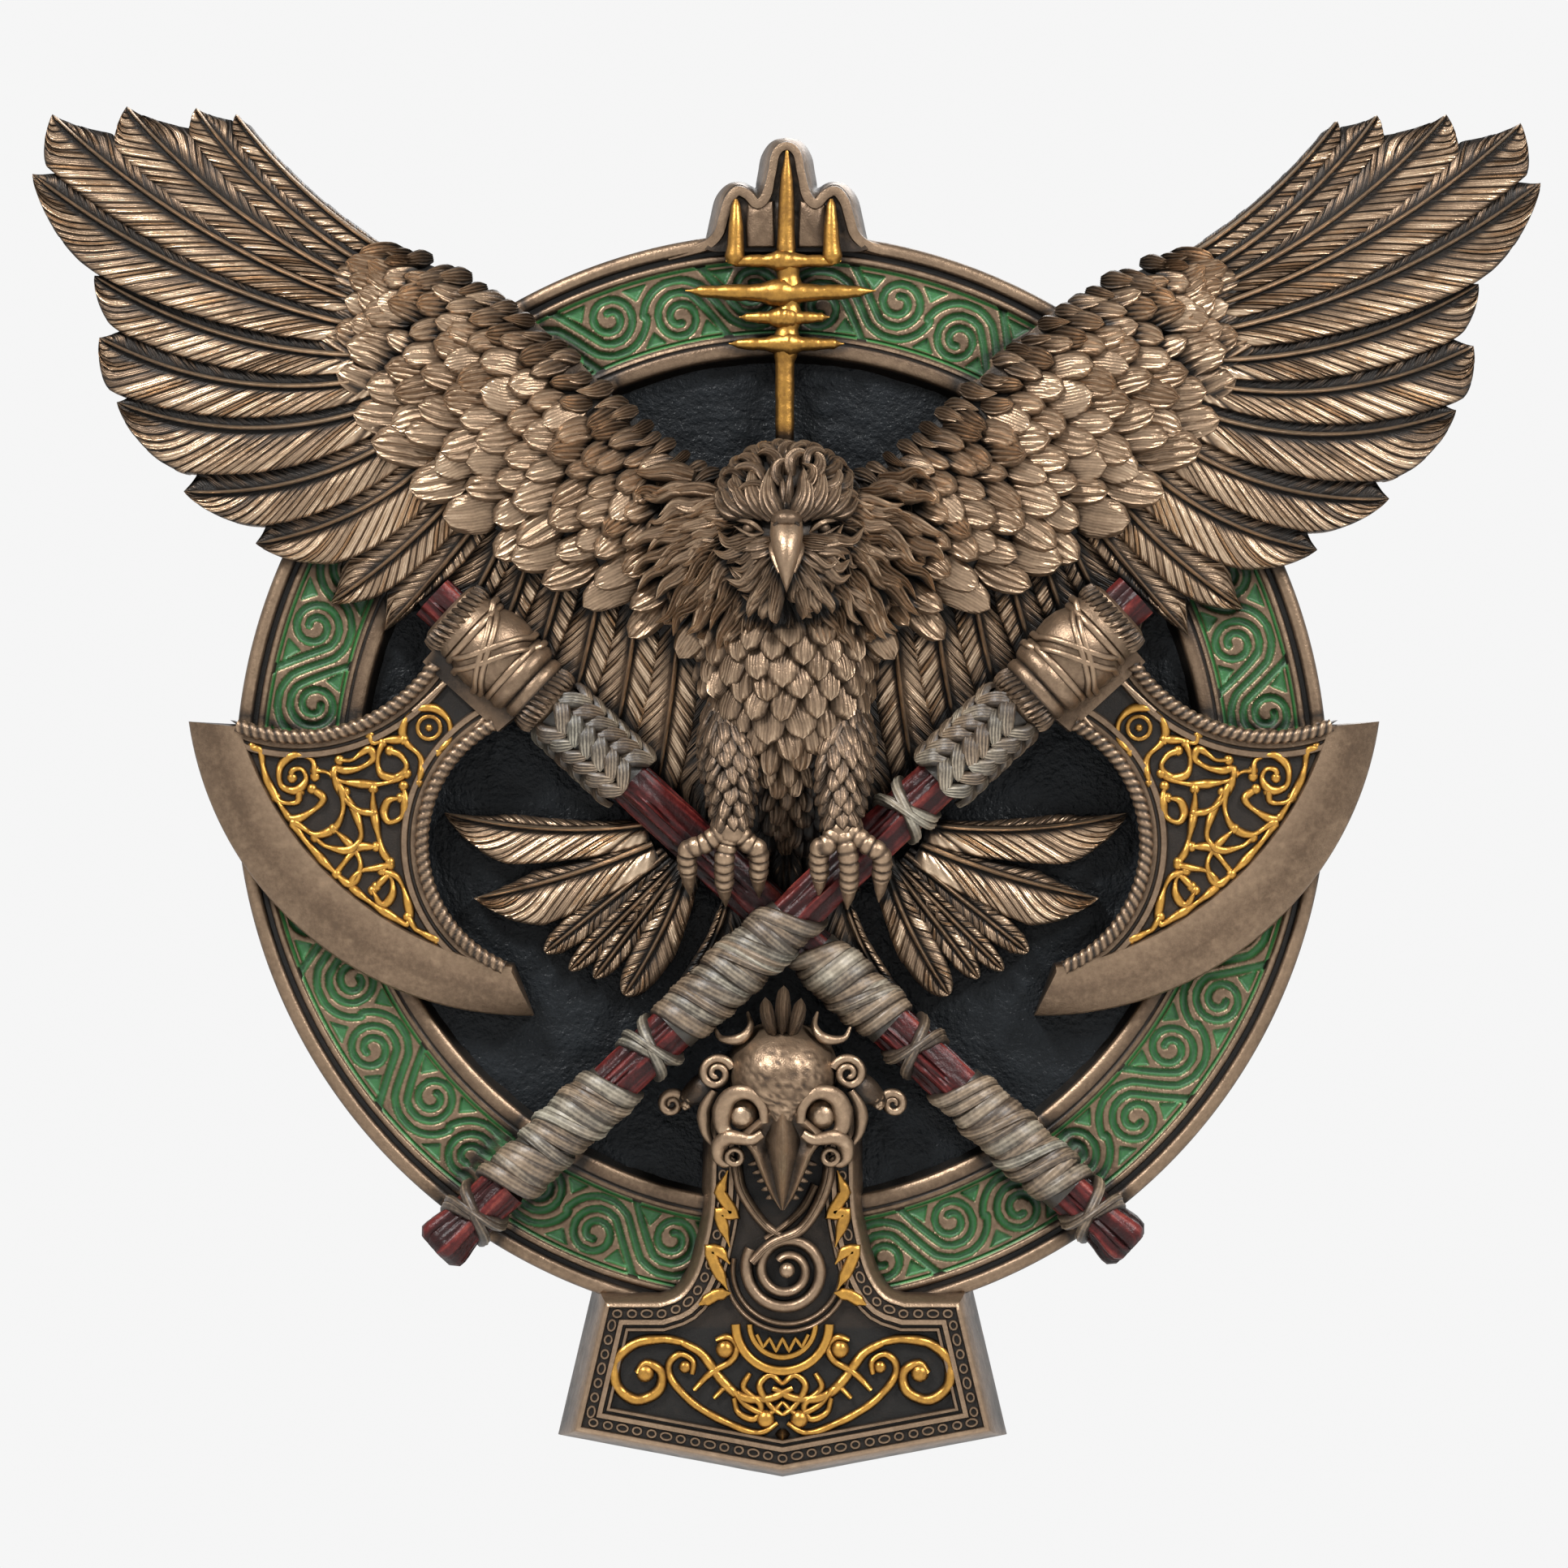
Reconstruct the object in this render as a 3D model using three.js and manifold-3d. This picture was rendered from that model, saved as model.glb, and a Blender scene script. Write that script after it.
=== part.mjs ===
// Wall plaque: a round shield with a spiral border, and in front of it an eagle with spread wings that grips
// two crossed axes, a trident spear above its head and a hammer pendant with a bird skull below its tail.
// The whole plaque is one casting. Millimetres, +X to the right, +Z up, the back lies in the plane y = 0.
// Relief is described by three numbers: x, z and d, the distance in front of the wall (y = -d).

import * as THREE from 'three';
import { ConvexGeometry } from 'three/addons/geometries/ConvexGeometry.js';
import { mergeVertices } from 'three/addons/utils/BufferGeometryUtils.js';
import Module from 'manifold-3d';

const wasm = await Module();
wasm.setup();

// Shield disc
const DISC_RADIUS = 110.4;
const DISC_SEGMENTS = 48;
const FIELD_DEPTH = 12;
const GROUND_DEPTH = 14.4;
const BAND_DEPTH = 15.4;
const BORDER_OUTER = 105.2;
const BORDER_INNER = 89.6;
const FIELD_RADIUS = 85.2;

// Spiral border: pairs of spirals, one nearer the outer edge and one nearer the inner edge
const SPIRAL_UNITS = 21;
const SPIRAL_FIRST_DEG = 13.8;
const SPIRAL_STEP_DEG = 8.1;
const OUTER_SPIRAL_RADIUS = 99.1;
const INNER_SPIRAL_RADIUS = 95.5;
const SPIRAL_REACH = 5.6;
const SPIRAL_RIB_WIDTH = 2;
const SPIRAL_RIB_HEIGHT = 1;
// Turn in degrees and reach as a share, from the core of a spiral out to the strand that leads to the next
const SPIRAL_COURSE = [[0, 0.3], [95, 0.5], [185, 0.8], [262, 1]];
// Stretches of the border that wings, blades, handles, hammer and spear leave bare, clockwise from the top
const OPEN_BORDER_DEG = [[9, 47], [66, 84], [112, 138], [150, 169]];

// Eagle
const EAGLE_X = 1.0;
const WING_BACK = 8;
const RIGHT_WING_DROP = 0.012;
const PRIMARY_ROOT_DEPTH = 25;
const PRIMARY_TIP_DEPTH = 17;
const VANE_TUCK = 1.2;
// Primary feathers of the left wing from the leading edge down: root x, z, tip x, z, the notch between this
// tip and the next x, z, and the sag of the quill as a part of its length
const PRIMARIES = [
  [-76, 103, -111, 134, -114, 132, 0.05],
  [-79, 100, -119, 135.3, -120.5, 130, 0.06],
  [-80, 97, -133, 135.6, -138, 129, 0.06],
  [-80, 94, -148, 134, -147.5, 122.5, 0.06],
  [-82, 90, -152, 122, -139.5, 102.5, 0.06],
  [-84, 85, -139.5, 101.5, -134, 90.5, 0.07],
  [-80, 81, -138.5, 89, -134, 78, 0.09],
  [-76.5, 77, -135, 76, -120, 62, 0.1],
  [-73, 72, -121.5, 58, -105, 51.5, 0.09],
  [-68, 67, -107, 47.5, -88.5, 44.5, 0.08],
  [-63, 61, -92, 35.5, -81, 38, 0.04],
  [-58, 57, -81, 30, -74, 36, 0.02],
];
// Long inner feathers below the arm, which carry on the fan: the same values
const SECONDARIES = [
  [-54, 54.5, -70, 25, -65, 30, 0.02],
  [-49.5, 51.5, -62, 19, -58, 24, 0.02],
  [-43, 49, -54, 14, -50, 19, 0.02],
  [-36, 46.5, -45, 9, -40, 14, 0.02],
  [-29, 44, -36, 2, -31, 7, 0.02],
  [-21, 40, -27, -6, -22, -1, 0.02],
  [-14, 35, -17, -12, -14, -4, 0.02],
];
// The feathered arm of the wing, from wrist to breast: leading edge x, z, d and covert edge x, z, d
const WING_ARM = [
  [-81, 107, 22, -88, 99, 21],
  [-66, 101, 25, -88, 84, 23],
  [-53, 94, 27, -79, 70, 24],
  [-42, 84, 28, -66, 55, 25],
  [-31, 73, 29, -50, 45, 26],
  [-21, 64, 30, -34, 36, 27],
  [-8, 57, 32, -14, 26, 29],
];
const ARM_CROWN = 3.5;
const COVERT_ROWS = 4;
const COVERT_COLUMNS = 7;
const COVERT_LIFT = 2.2;
const COVERT_SCALLOP = 0.035;
// Body sections from the rump to the neck: z, half width, half depth, centre depth
const BODY_SECTIONS = [
  [-17, 4, 4, 15],
  [-8, 8, 9, 18],
  [4, 12, 14, 20],
  [16, 15.5, 18, 20],
  [30, 17.5, 20, 20],
  [42, 19, 18, 23],
  [52, 15, 14, 30],
  [60, 9, 9, 34],
];
const BODY_SIDES = 12;
const BODY_BACK = 6;
const BREAST_ROWS = 6;
const BREAST_BOTTOM = 2;
const BREAST_TOP = 44;
const BREAST_LIFT = 1.6;
const BREAST_SCALLOP = 1.2;
const HEAD = { z: 55, d: 40, halfWidth: 12.5, halfHeight: 11.5, halfDepth: 14 };
// Mane: tufts on either side, fanned from the shoulder down to the breast
const MANE_TUFTS = 5;
const MANE_FIRST_DEG = 35;
const MANE_LAST_DEG = -100;
const MANE_INNER = 6;
const MANE_REACH = 25;
const MANE_SHORTER_BELOW = 7;
const MANE_HALF_WIDTH = 3.2;
const MANE_Z = 46;
const MANE_DEPTHS = { back: 24, tip: 33, middle: 37, root: 44 };
// Brow ridge over the right eye: x, z, d, radius
const BROW = [[1.5, 51, 53, 1.2], [4.5, 54.5, 52, 1.9], [9.5, 56, 49, 1.7], [11.8, 54, 45, 0.9]];
const EYE = { x: 6.6, z: 51.6, d: 49.6, halfWidth: 1.9, halfHeight: 1.7, halfDepth: 2 };
// Tufts on the crown: angles in degrees round the head, and the ellipse that they start from
const CREST_ANGLES = [30, 90, 150];
const CREST = { z: 56, reachX: 10.5, reachZ: 8.6, d: 43, length: 7, width: 6, lift: 1.8 };
// Hooked beak, from the brow to the tip: z, half width, back depth, front depth
const BEAK_SECTIONS = [
  [52, 2.6, 48, 54],
  [48, 3.4, 48, 58],
  [43, 2.6, 50, 60],
  [40, 1.5, 53, 59.5],
  [37.8, 0.5, 56, 58],
];
// Legs, feathered to the ankle: x, z, d, radius
const LEG = [[-10.5, 12, 28, 7.5], [-11, 0, 33, 5.2], [-10.8, -9, 35, 3]];
// Toes from the ankle over the handle: end x, z and sideways bulge
const TOES = [[-19.4, -20.6], [-12.3, -22.8], [-5.6, -21.0]];
const TOE_RADIUS = 1.5;
const TOE_ARCH = 3;
const RIGHT_FOOT_LIFT = 3.5;
const LEFT_FOOT_DEPTH = 27;
const TAIL_DEPTH = 15.5;
// Tail feathers of the left side: root x, z, tip x, z, sag, width
const TAIL = [
  [-28, -10, -71, -8, 0.08, 9.5],
  [-27, -14, -64, -24, 0.04, 9.5],
  [-24, -16, -54, -33, 0.02, 8],
  [-22, -18, -48, -40, -0.02, 8],
  [-19, -20, -38, -42, -0.04, 8],
  [-15, -22, -25, -46, -0.10, 11],
];

// Axes
const AXES_X = 0.5;
const HANDLE_HEAD_END = [-70.5, 36.8];
const HANDLE_LOW_END = [68.3, -93];
const HANDLE_FOOT = 10;
const BACK_HANDLE_DEPTH = 20.5;
const FRONT_HANDLE_DEPTH = 26;
// Handle from the head end: distance from the end, radius (wood, socket rings, ball, wrappings, flared butt)
const HANDLE_STEPS = [
  [0, 3.6], [4.5, 5], [6, 7.4], [17, 9], [26, 7.8], [32, 6.6], [34, 6.4], [53, 6.3], [54, 4.7], [95, 4.7],
  [96, 5.9], [127, 5.9], [128, 4.7], [144, 4.7], [145, 5.9], [174, 5.9], [175, 4.7], [190, 5.6],
];
// Section of the handle, from wall to wall over its front: across and outward as shares of the radius
const HANDLE_SECTION = [[-1, 0.2], [-0.5, 0.9], [0.5, 0.9], [1, 0.2]];
const BLADE_BACK = 10;
const BLADE_EDGE_DEPTH = 18.5;
const BLADE_FACE_DEPTH = 23;
const PANEL_SINK = 1.1;
// Arcs of the blade outline: centre x, z, radius, first and last angle in degrees
const EDGE_ARC = [-51.7, 21.2, 68.9, 188, 271];
const BEVEL_ARC = [-43.9, 29.6, 69.2, 196, 261];
const UPPER_ARC = [-97.5, 41.4, 32.6, -34, -115];
const INNER_ARC = [-45.6, -12.9, 26.7, 250, 118];
const EDGE_STEPS = 8;
const ARC_STEPS = 5;
// Arcs of the sunk panel: each lies a frame's width inside the outline
const PANEL_FRAME = 4;
const PANEL_ARCS = [
  [-43.9, 29.6, 69.2 - PANEL_FRAME, 203, 243],
  [-45.6, -12.9, 26.7 + PANEL_FRAME, 210, 140],
  [-97.5, 41.4, 32.6 + PANEL_FRAME, -45, -95],
];
// Block that joins the blade to the socket
const LUG = [[-78, 21], [-67, 32], [-49, 14], [-59, 4]];
const LUG_RISE = 1.5;
const ROPE_WIDTH = 3.2;
const ROPE_RISE = 1.4;
// Interlace on the panel: the two spirals, and the strands that run between them and down to the lower tip
const KNOT_SPIRALS = [[-73, 11, 60], [-98.5, 1, 200]];
const KNOT_STRANDS = [
  [[-94, 3], [-86, 2], [-83, -6], [-79, -17], [-70, -30]],
  [[-75, 6], [-80, -1], [-90, -9], [-84, -20], [-76, -18]],
];
const KNOT_WIDTH = 1.7;

// Hammer pendant with the skull
const HAMMER_X = 0.2;
const HAMMER_FACE = 22;
const HAMMER_SINK = 1.4;
const HAMMER_DRAFT = 3.6;
// Right half of the front outline, from the top of the shaft to the bottom point
const HAMMER_HALF = [
  [13.8, -66], [14.2, -84], [16, -94], [18.8, -101], [22.6, -104.6],
  [35.8, -105.3], [41.6, -130], [0, -137.6],
];
const HAMMER_PANEL = [[33, -108.6], [38, -128.6], [0, -135], [-38, -128.6], [-33, -108.6]];
// Scrolls, stems and bolts on the right half of the pendant, and the half ring between them
const SCROLL = { x: 27.5, z: -118.6, radius: 5.6, endRadius: 1.2, startDeg: 60, turns: -1.3 };
const STEM = [[31, -114], [24, -111.6], [17, -114], [10, -119], [5, -125], [0, -128.5]];
const BOLT = [[12, -76], [14, -83], [11, -85], [15, -94], [12, -97], [17, -103]];
const SCROLL_WIDTH = 2;
const SCROLL_RISE = 0.4;
const BOLT_WIDTH = 1.8;
const BOLT_RISE = 1.2;
const HALF_RING = { z: -110.2, radius: 9.4, width: 2.6, rise: 1.4 };
// Bird skull: the places below are counted from the middle of its forehead
const SKULL_Z = -58;
const SKULL_D = 24;
const FOREHEAD = { halfWidth: 12, halfHeight: 12.5, halfDepth: 10.5, sunk: 2 };
const SKULL_BEAK = [
  [-9, -9, -10], [9, -9, -10], [-7, -14, 3], [7, -14, 3], [0, -9, 9], [0, -17, 8], [0, -26.5, 4],
  [-3, -20, -6], [3, -20, -6],
];
const SKULL_TUFT = [[-2, 12, -4], [2, 12, -4], [0, 17.5, -2], [0, 12, 2], [0, 11, -8]];
const SKULL_EAR = [
  [10, 1, -12], [16.5, -2, -10], [15, -11, -10], [10, -17, -10], [10, 0, 1], [15, -4, 0], [13, -12, 1],
  [10, -15, 2],
];
const EYE_SOCKET = { x: 7.6, z: -8.6, d: 3, radius: 4.6, halfDepth: 3.2 };
const EYEBALL = { d: 5.6, radius: 2.8 };
const EAR_CURL = { x: 19, z: -8, d: -11, radius: 3.6, halfDepth: 5 };
// Straps from the beak to the big spiral, and the boss that carries the spiral
const STRAP = [[8.5, -73], [9.4, -79], [7.6, -86], [3, -90], [-2, -93]];
const STRAP_WIDTH = 2.6;
const BOSS = { x: 0.8, z: -98.5, radius: 8.8, frontRadius: 8 };
const BIG_SPIRAL = { radius: 7, endRadius: 1, startDeg: 110, turns: 1.6, width: 2.4 };

// Spear and finial
const SPEAR_X = 1.0;
const FINIAL_FACE = 18;
const FINIAL_DRAFT = 2.2;
const FINIAL_HALF = [[16, 104], [15.6, 114], [14, 118.4], [10.4, 119.8], [7, 117.6], [4.6, 124], [0, 128]];
const SPEAR_D = 17.5;
// Shaft of the spear from the head to its point: z, d, radius
const SPEAR_SHAFT = [[62, 19, 2], [84, 18.5, 1.9], [110, 18.5, 1.9], [127, 17.5, 0.5]];
// Side prongs: distance from the middle, foot and tip z, half width
const PRONG = { x: 9.8, tipX: 9.5, foot: 105, tip: 116.4, half: 1.7 };
// Cross bars of the spear: z, half length, half thickness, reach in front
const SPEAR_BARS = [
  [104.6, 12.3, 1.6, 20.5], [98.3, 19, 2.4, 21.5], [92.8, 9.4, 1.7, 21], [87.8, 11.6, 1.5, 20.5],
];

// Hanger recess in the back
const HANGER = { z: 70, width: 14, height: 9, depth: 7 };

// Solids

function at(x, z, d) {
  return new THREE.Vector3(x, -d, z);
}

// A closed solid from points and triangles, turned so that its faces point out
function solidFrom(points, faces) {
  let volume = 0;
  for (const [a, b, c] of faces) {
    volume += points[a].dot(new THREE.Vector3().crossVectors(points[b], points[c]));
  }
  const ordered = volume < 0 ? faces.map(([a, b, c]) => [a, c, b]) : faces;
  const mesh = new wasm.Mesh({
    numProp: 3,
    vertProperties: new Float32Array(points.flatMap((p) => [p.x, p.y, p.z])),
    triVerts: new Uint32Array(ordered.flat()),
  });
  return new wasm.Manifold(mesh);
}

function solidFromGeometry(source) {
  source.deleteAttribute('normal');
  source.deleteAttribute('uv');
  const geometry = mergeVertices(source, 1e-4);
  const position = geometry.getAttribute('position');
  const points = [];
  for (let i = 0; i < position.count; i += 1) {
    points.push(new THREE.Vector3().fromBufferAttribute(position, i));
  }
  const faces = [];
  for (let i = 0; i < geometry.index.count; i += 3) {
    const face = [0, 1, 2].map((k) => geometry.index.getX(i + k));
    if (new Set(face).size === 3) faces.push(face);
  }
  return solidFrom(points, faces);
}

// Triangles that close a ring of points, which may be a concave outline
function capFaces(points, first, count) {
  const normal = new THREE.Vector3();
  for (let i = 0; i < count; i += 1) {
    const a = points[first + i];
    const b = points[first + ((i + 1) % count)];
    normal.add(new THREE.Vector3().crossVectors(a, b));
  }
  const turn = new THREE.Quaternion().setFromUnitVectors(normal.normalize(), new THREE.Vector3(0, 0, 1));
  const contour = [];
  for (let i = 0; i < count; i += 1) {
    const p = points[first + i].clone().applyQuaternion(turn);
    contour.push(new THREE.Vector2(p.x, p.y));
  }
  return THREE.ShapeUtils.triangulateShape(contour, []).map((face) => face.map((k) => k + first));
}

// A solid through a row of rings, all with the same number of points
function loft(rings) {
  const count = rings[0].length;
  const points = rings.flat();
  const faces = [];
  for (let r = 0; r + 1 < rings.length; r += 1) {
    for (let i = 0; i < count; i += 1) {
      const a = r * count + i;
      const b = r * count + ((i + 1) % count);
      faces.push([a, b, b + count], [a, b + count, a + count]);
    }
  }
  const last = (rings.length - 1) * count;
  faces.push(...capFaces(points, 0, count).map(([a, b, c]) => [a, c, b]));
  faces.push(...capFaces(points, last, count));
  return solidFrom(points, faces);
}

function hull(points) {
  return solidFromGeometry(new ConvexGeometry(points));
}

function ball(x, z, d, rx, rz, rd, sides = 8, rows = 6) {
  const geometry = new THREE.SphereGeometry(1, sides, rows);
  geometry.scale(rx, rd, rz);
  geometry.translate(x, -d, z);
  return solidFromGeometry(geometry);
}

// A prism between two depths on an outline of [x, z] points; the second outline may differ for a drafted wall
function prism(outline, back, front, frontOutline = outline) {
  return loft([
    outline.map(([x, z]) => at(x, z, back)),
    frontOutline.map(([x, z]) => at(x, z, front)),
  ]);
}

// A round bar with a given number of sides through [x, z, d, radius] stations
function bar(stations, sides = 6) {
  const rings = stations.map(([x, z, d, radius], i) => {
    const before = stations[Math.max(i - 1, 0)];
    const after = stations[Math.min(i + 1, stations.length - 1)];
    const along = at(after[0], after[1], after[2]).sub(at(before[0], before[1], before[2])).normalize();
    const front = new THREE.Vector3(0, -1, 0);
    if (Math.abs(along.y) > 0.8) front.set(0, 0, 1);
    const side = new THREE.Vector3().crossVectors(along, front).normalize();
    const up = new THREE.Vector3().crossVectors(side, along);
    const ring = [];
    for (let k = 0; k < sides; k += 1) {
      const turn = (2 * Math.PI * k) / sides;
      const p = at(x, z, d).addScaledVector(side, radius * Math.cos(turn));
      ring.push(p.addScaledVector(up, radius * Math.sin(turn)));
    }
    return ring;
  });
  return loft(rings);
}

// A low rib with a three-cornered section that follows [x, z] points on a face
function rib(path, width, back, front) {
  const rings = path.map(([x, z], i) => {
    const before = path[Math.max(i - 1, 0)];
    const after = path[Math.min(i + 1, path.length - 1)];
    const length = Math.hypot(after[0] - before[0], after[1] - before[1]);
    const nx = -(after[1] - before[1]) / length;
    const nz = (after[0] - before[0]) / length;
    const half = width / 2;
    return [at(x - nx * half, z - nz * half, back), at(x, z, front), at(x + nx * half, z + nz * half, back)];
  });
  return loft(rings);
}

function spiralPath(x, z, radius, endRadius, startDeg, turns, steps) {
  const path = [];
  for (let i = 0; i <= steps; i += 1) {
    const t = i / steps;
    const turn = THREE.MathUtils.degToRad(startDeg + 360 * turns * t);
    const r = radius + (endRadius - radius) * t;
    path.push([x + r * Math.cos(turn), z + r * Math.sin(turn)]);
  }
  return path;
}

function arcPoints([x, z, radius, fromDeg, toDeg], steps = ARC_STEPS) {
  return spiralPath(x, z, radius, radius, fromDeg, (toDeg - fromDeg) / 360, steps);
}

// The same solid on the other side of the upright plane through x
function mirrored(solid, x) {
  return solid.mirror([1, 0, 0]).translate([2 * x, 0, 0]);
}

function joined(solids) {
  return solids.reduce((whole, solid) => whole.add(solid));
}

// The outer skin alone: a pore that overlapping feathers close off inside the casting is filled
function withoutPores(solid) {
  const shells = solid.decompose();
  return shells.reduce((largest, shell) => (shell.volume() > largest.volume() ? shell : largest));
}

// Shield disc with its bands and the sunk field

function shieldDisc() {
  const profile = [
    [0, 0], [DISC_RADIUS, 0], [DISC_RADIUS, BAND_DEPTH - 1.2], [DISC_RADIUS - 1.2, BAND_DEPTH],
    [BORDER_OUTER + 2, BAND_DEPTH], [BORDER_OUTER + 0.6, GROUND_DEPTH], [BORDER_INNER, GROUND_DEPTH],
    [BORDER_INNER - 1.6, BAND_DEPTH], [FIELD_RADIUS + 1, BAND_DEPTH], [FIELD_RADIUS, FIELD_DEPTH],
    [0, FIELD_DEPTH],
  ];
  const geometry = new THREE.LatheGeometry(profile.map(([r, d]) => new THREE.Vector2(r, d)), DISC_SEGMENTS);
  geometry.rotateX(Math.PI);
  return solidFromGeometry(geometry);
}

// Points of one spiral; turns are counted from the clockwise direction of the border towards its outside
function spiralPoints(angleDeg, radius, firstTurnDeg) {
  const centre = THREE.MathUtils.degToRad(angleDeg);
  return SPIRAL_COURSE.map(([turnDeg, share]) => {
    const turn = THREE.MathUtils.degToRad(firstTurnDeg + turnDeg);
    const along = SPIRAL_REACH * share * Math.cos(turn);
    const outward = radius + SPIRAL_REACH * share * Math.sin(turn);
    return [
      outward * Math.sin(centre) + along * Math.cos(centre),
      outward * Math.cos(centre) - along * Math.sin(centre),
    ];
  });
}

function spiralBorder() {
  const ribs = [];
  const shows = (deg) => {
    const away = Math.abs(((deg + 540) % 360) - 180);
    return OPEN_BORDER_DEG.some(([from, to]) => away >= from && away <= to);
  };
  for (let k = 0; k < SPIRAL_UNITS; k += 1) {
    const deg = SPIRAL_FIRST_DEG + (360 * k) / SPIRAL_UNITS;
    if (shows(deg) || shows(deg + SPIRAL_STEP_DEG)) {
      const outer = spiralPoints(deg, OUTER_SPIRAL_RADIUS, 0);
      const inner = spiralPoints(deg + SPIRAL_STEP_DEG, INNER_SPIRAL_RADIUS, 180);
      const path = [...outer, ...inner.reverse()];
      ribs.push(rib(path, SPIRAL_RIB_WIDTH, GROUND_DEPTH - 0.4, GROUND_DEPTH + SPIRAL_RIB_HEIGHT));
    }
  }
  return joined(ribs);
}

// Feathers

// A point at share t of the bowed line from root to tip; sag is the bow as a part of the length
function bowed(root, tip, sag, t) {
  const [dx, dz] = [tip[0] - root[0], tip[1] - root[1]];
  const bow = 4 * sag * t * (1 - t);
  return [root[0] + dx * t - dz * bow, root[1] + dz * t + dx * bow];
}

// A feather that lies free: the narrow vane on one side of the raised quill, the broad vane on the other.
const FEATHER_STATIONS = [[0, 0.7], [0.5, 1], [0.85, 0.75], [1, 0.1]];

function feather(root, tip, sag, width, back, rootDepth, tipDepth) {
  const length = Math.hypot(tip[0] - root[0], tip[1] - root[1]);
  const [nx, nz] = [-(tip[1] - root[1]) / length, (tip[0] - root[0]) / length];
  const rings = FEATHER_STATIONS.map(([t, share]) => {
    const [x, z] = bowed(root, tip, sag, t);
    const d = rootDepth + (tipDepth - rootDepth) * t;
    const narrow = -0.4 * width * share;
    const broad = 0.6 * width * share;
    const place = (u, depth) => at(x + nx * u, z + nz * u, depth);
    return [place(narrow, back), place(0, d), place(broad, d - 0.9), place(broad, back)];
  });
  return loft(rings);
}

// A short rounded feather that lies like a shingle, its free end lifted
function shingle(x, z, d, dirX, dirZ, length, width, lift) {
  const place = (along, across, depth) => at(
    x + dirX * along - dirZ * across,
    z + dirZ * along + dirX * across,
    depth,
  );
  const half = width / 2;
  return hull([
    place(-length / 2, 0, d - 0.4),
    place(0, -half, d + lift * 0.3),
    place(0, half, d + lift * 0.3),
    place(length * 0.42, -half * 0.6, d + lift * 0.7),
    place(length * 0.42, half * 0.6, d + lift * 0.7),
    place(length * 0.1, 0, d + lift),
    place(0, 0, d - 4),
  ]);
}

// Wing

function wingArmPoint(s, r) {
  const scaled = Math.min(Math.max(s, 0), 0.9999) * (WING_ARM.length - 1);
  const i = Math.floor(scaled);
  const [a, b] = [WING_ARM[i], WING_ARM[i + 1]];
  const mix = a.map((value, k) => value + (b[k] - value) * (scaled - i));
  const crown = ARM_CROWN * 4 * r * (1 - r);
  return {
    x: mix[0] + (mix[3] - mix[0]) * r,
    z: mix[1] + (mix[4] - mix[1]) * r,
    d: mix[2] + (mix[5] - mix[2]) * r + crown,
  };
}

// The arm is covered by rows of short feathers: each row rises to a scalloped edge and drops to the next
function wingArm() {
  const rings = [];
  const columns = 2 * COVERT_COLUMNS;
  for (let column = 0; column <= columns; column += 1) {
    const s = column / columns;
    const low = wingArmPoint(s, 0);
    const ring = [at(low.x, low.z, WING_BACK + 1)];
    for (let row = 0; row < COVERT_ROWS; row += 1) {
      const phase = (column + row) % 2 === 0 ? -1 : 1;
      const scallop = column === 0 || column === columns ? 0 : phase * COVERT_SCALLOP;
      const begin = row === 0 ? 0 : row / COVERT_ROWS - scallop + 0.015;
      const start = wingArmPoint(s, begin);
      const end = wingArmPoint(s, (row + 1) / COVERT_ROWS + scallop);
      ring.push(at(start.x, start.z, start.d), at(end.x, end.z, end.d + COVERT_LIFT));
    }
    const edge = wingArmPoint(s, 0.99);
    ring.push(at(edge.x, edge.z, WING_BACK + 1));
    rings.push(ring);
  }
  return loft(rings);
}

// One long feather between the borders that it shares with its neighbours
function longFeather(above, own, below) {
  const [rx, rz, tx, tz, nx, nz, sag] = own;
  const root = [rx, rz];
  const tip = [tx, tz];
  const upperRoot = [(above[0] + rx) / 2, (above[1] + rz) / 2];
  const lowerRoot = [(below[0] + rx) / 2, (below[1] + rz) / 2];
  const upperNotch = [above[4], above[5]];
  const lowerNotch = [nx, nz];
  const depth = (t) => PRIMARY_ROOT_DEPTH + (PRIMARY_TIP_DEPTH - PRIMARY_ROOT_DEPTH) * t;
  const ring = (upper, quill, lower, t) => [
    at(...upper, WING_BACK), at(...quill, depth(t)), at(...lower, depth(t) - 0.5), at(...lower, WING_BACK),
  ];
  const tucked = ([x, z], t) => {
    const [qx, qz] = bowed(root, tip, sag, 0.84 * t);
    const away = Math.hypot(x - qx, z - qz);
    return [x + ((x - qx) / away) * VANE_TUCK, z + ((z - qz) / away) * VANE_TUCK];
  };
  const rings = [0, 0.5, 1].map((t) => ring(
    tucked(bowed(upperRoot, upperNotch, above[6], t), t),
    bowed(root, tip, sag, 0.84 * t),
    bowed(lowerRoot, lowerNotch, sag, t),
    0.84 * t,
  ));
  const towardsTip = (notch, bulge) => bowed(notch, tip, bulge, 0.7);
  const nearTip = bowed(root, tip, sag, 0.95);
  rings.push(ring(towardsTip(upperNotch, -0.06), nearTip, towardsTip(lowerNotch, 0.1), 0.95));
  rings.push(ring([tx, tz + 0.3], tip, [tx + 0.2, tz - 0.3], 1));
  return loft(rings);
}

// Fan of the long feathers from the leading edge round to the body
function fan() {
  const feathers = [...PRIMARIES, ...SECONDARIES];
  const edge = feathers[0];
  const first = [edge[0] + 1, edge[1] + 5, 0, 0, edge[2] + 0.8, edge[3] + 0.3, edge[6]];
  const last = feathers[feathers.length - 1];
  return feathers.map((own, i) => longFeather(feathers[i - 1] ?? first, own, feathers[i + 1] ?? last));
}

function wing() {
  return joined([wingArm(), ...fan()]);
}

function wings() {
  const left = wing();
  const right = left.mirror([1, 0, 0]).warp((p) => {
    p[2] -= RIGHT_WING_DROP * Math.max(p[0], 0);
  });
  return left.add(right).translate([EAGLE_X, 0, 0]);
}

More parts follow.
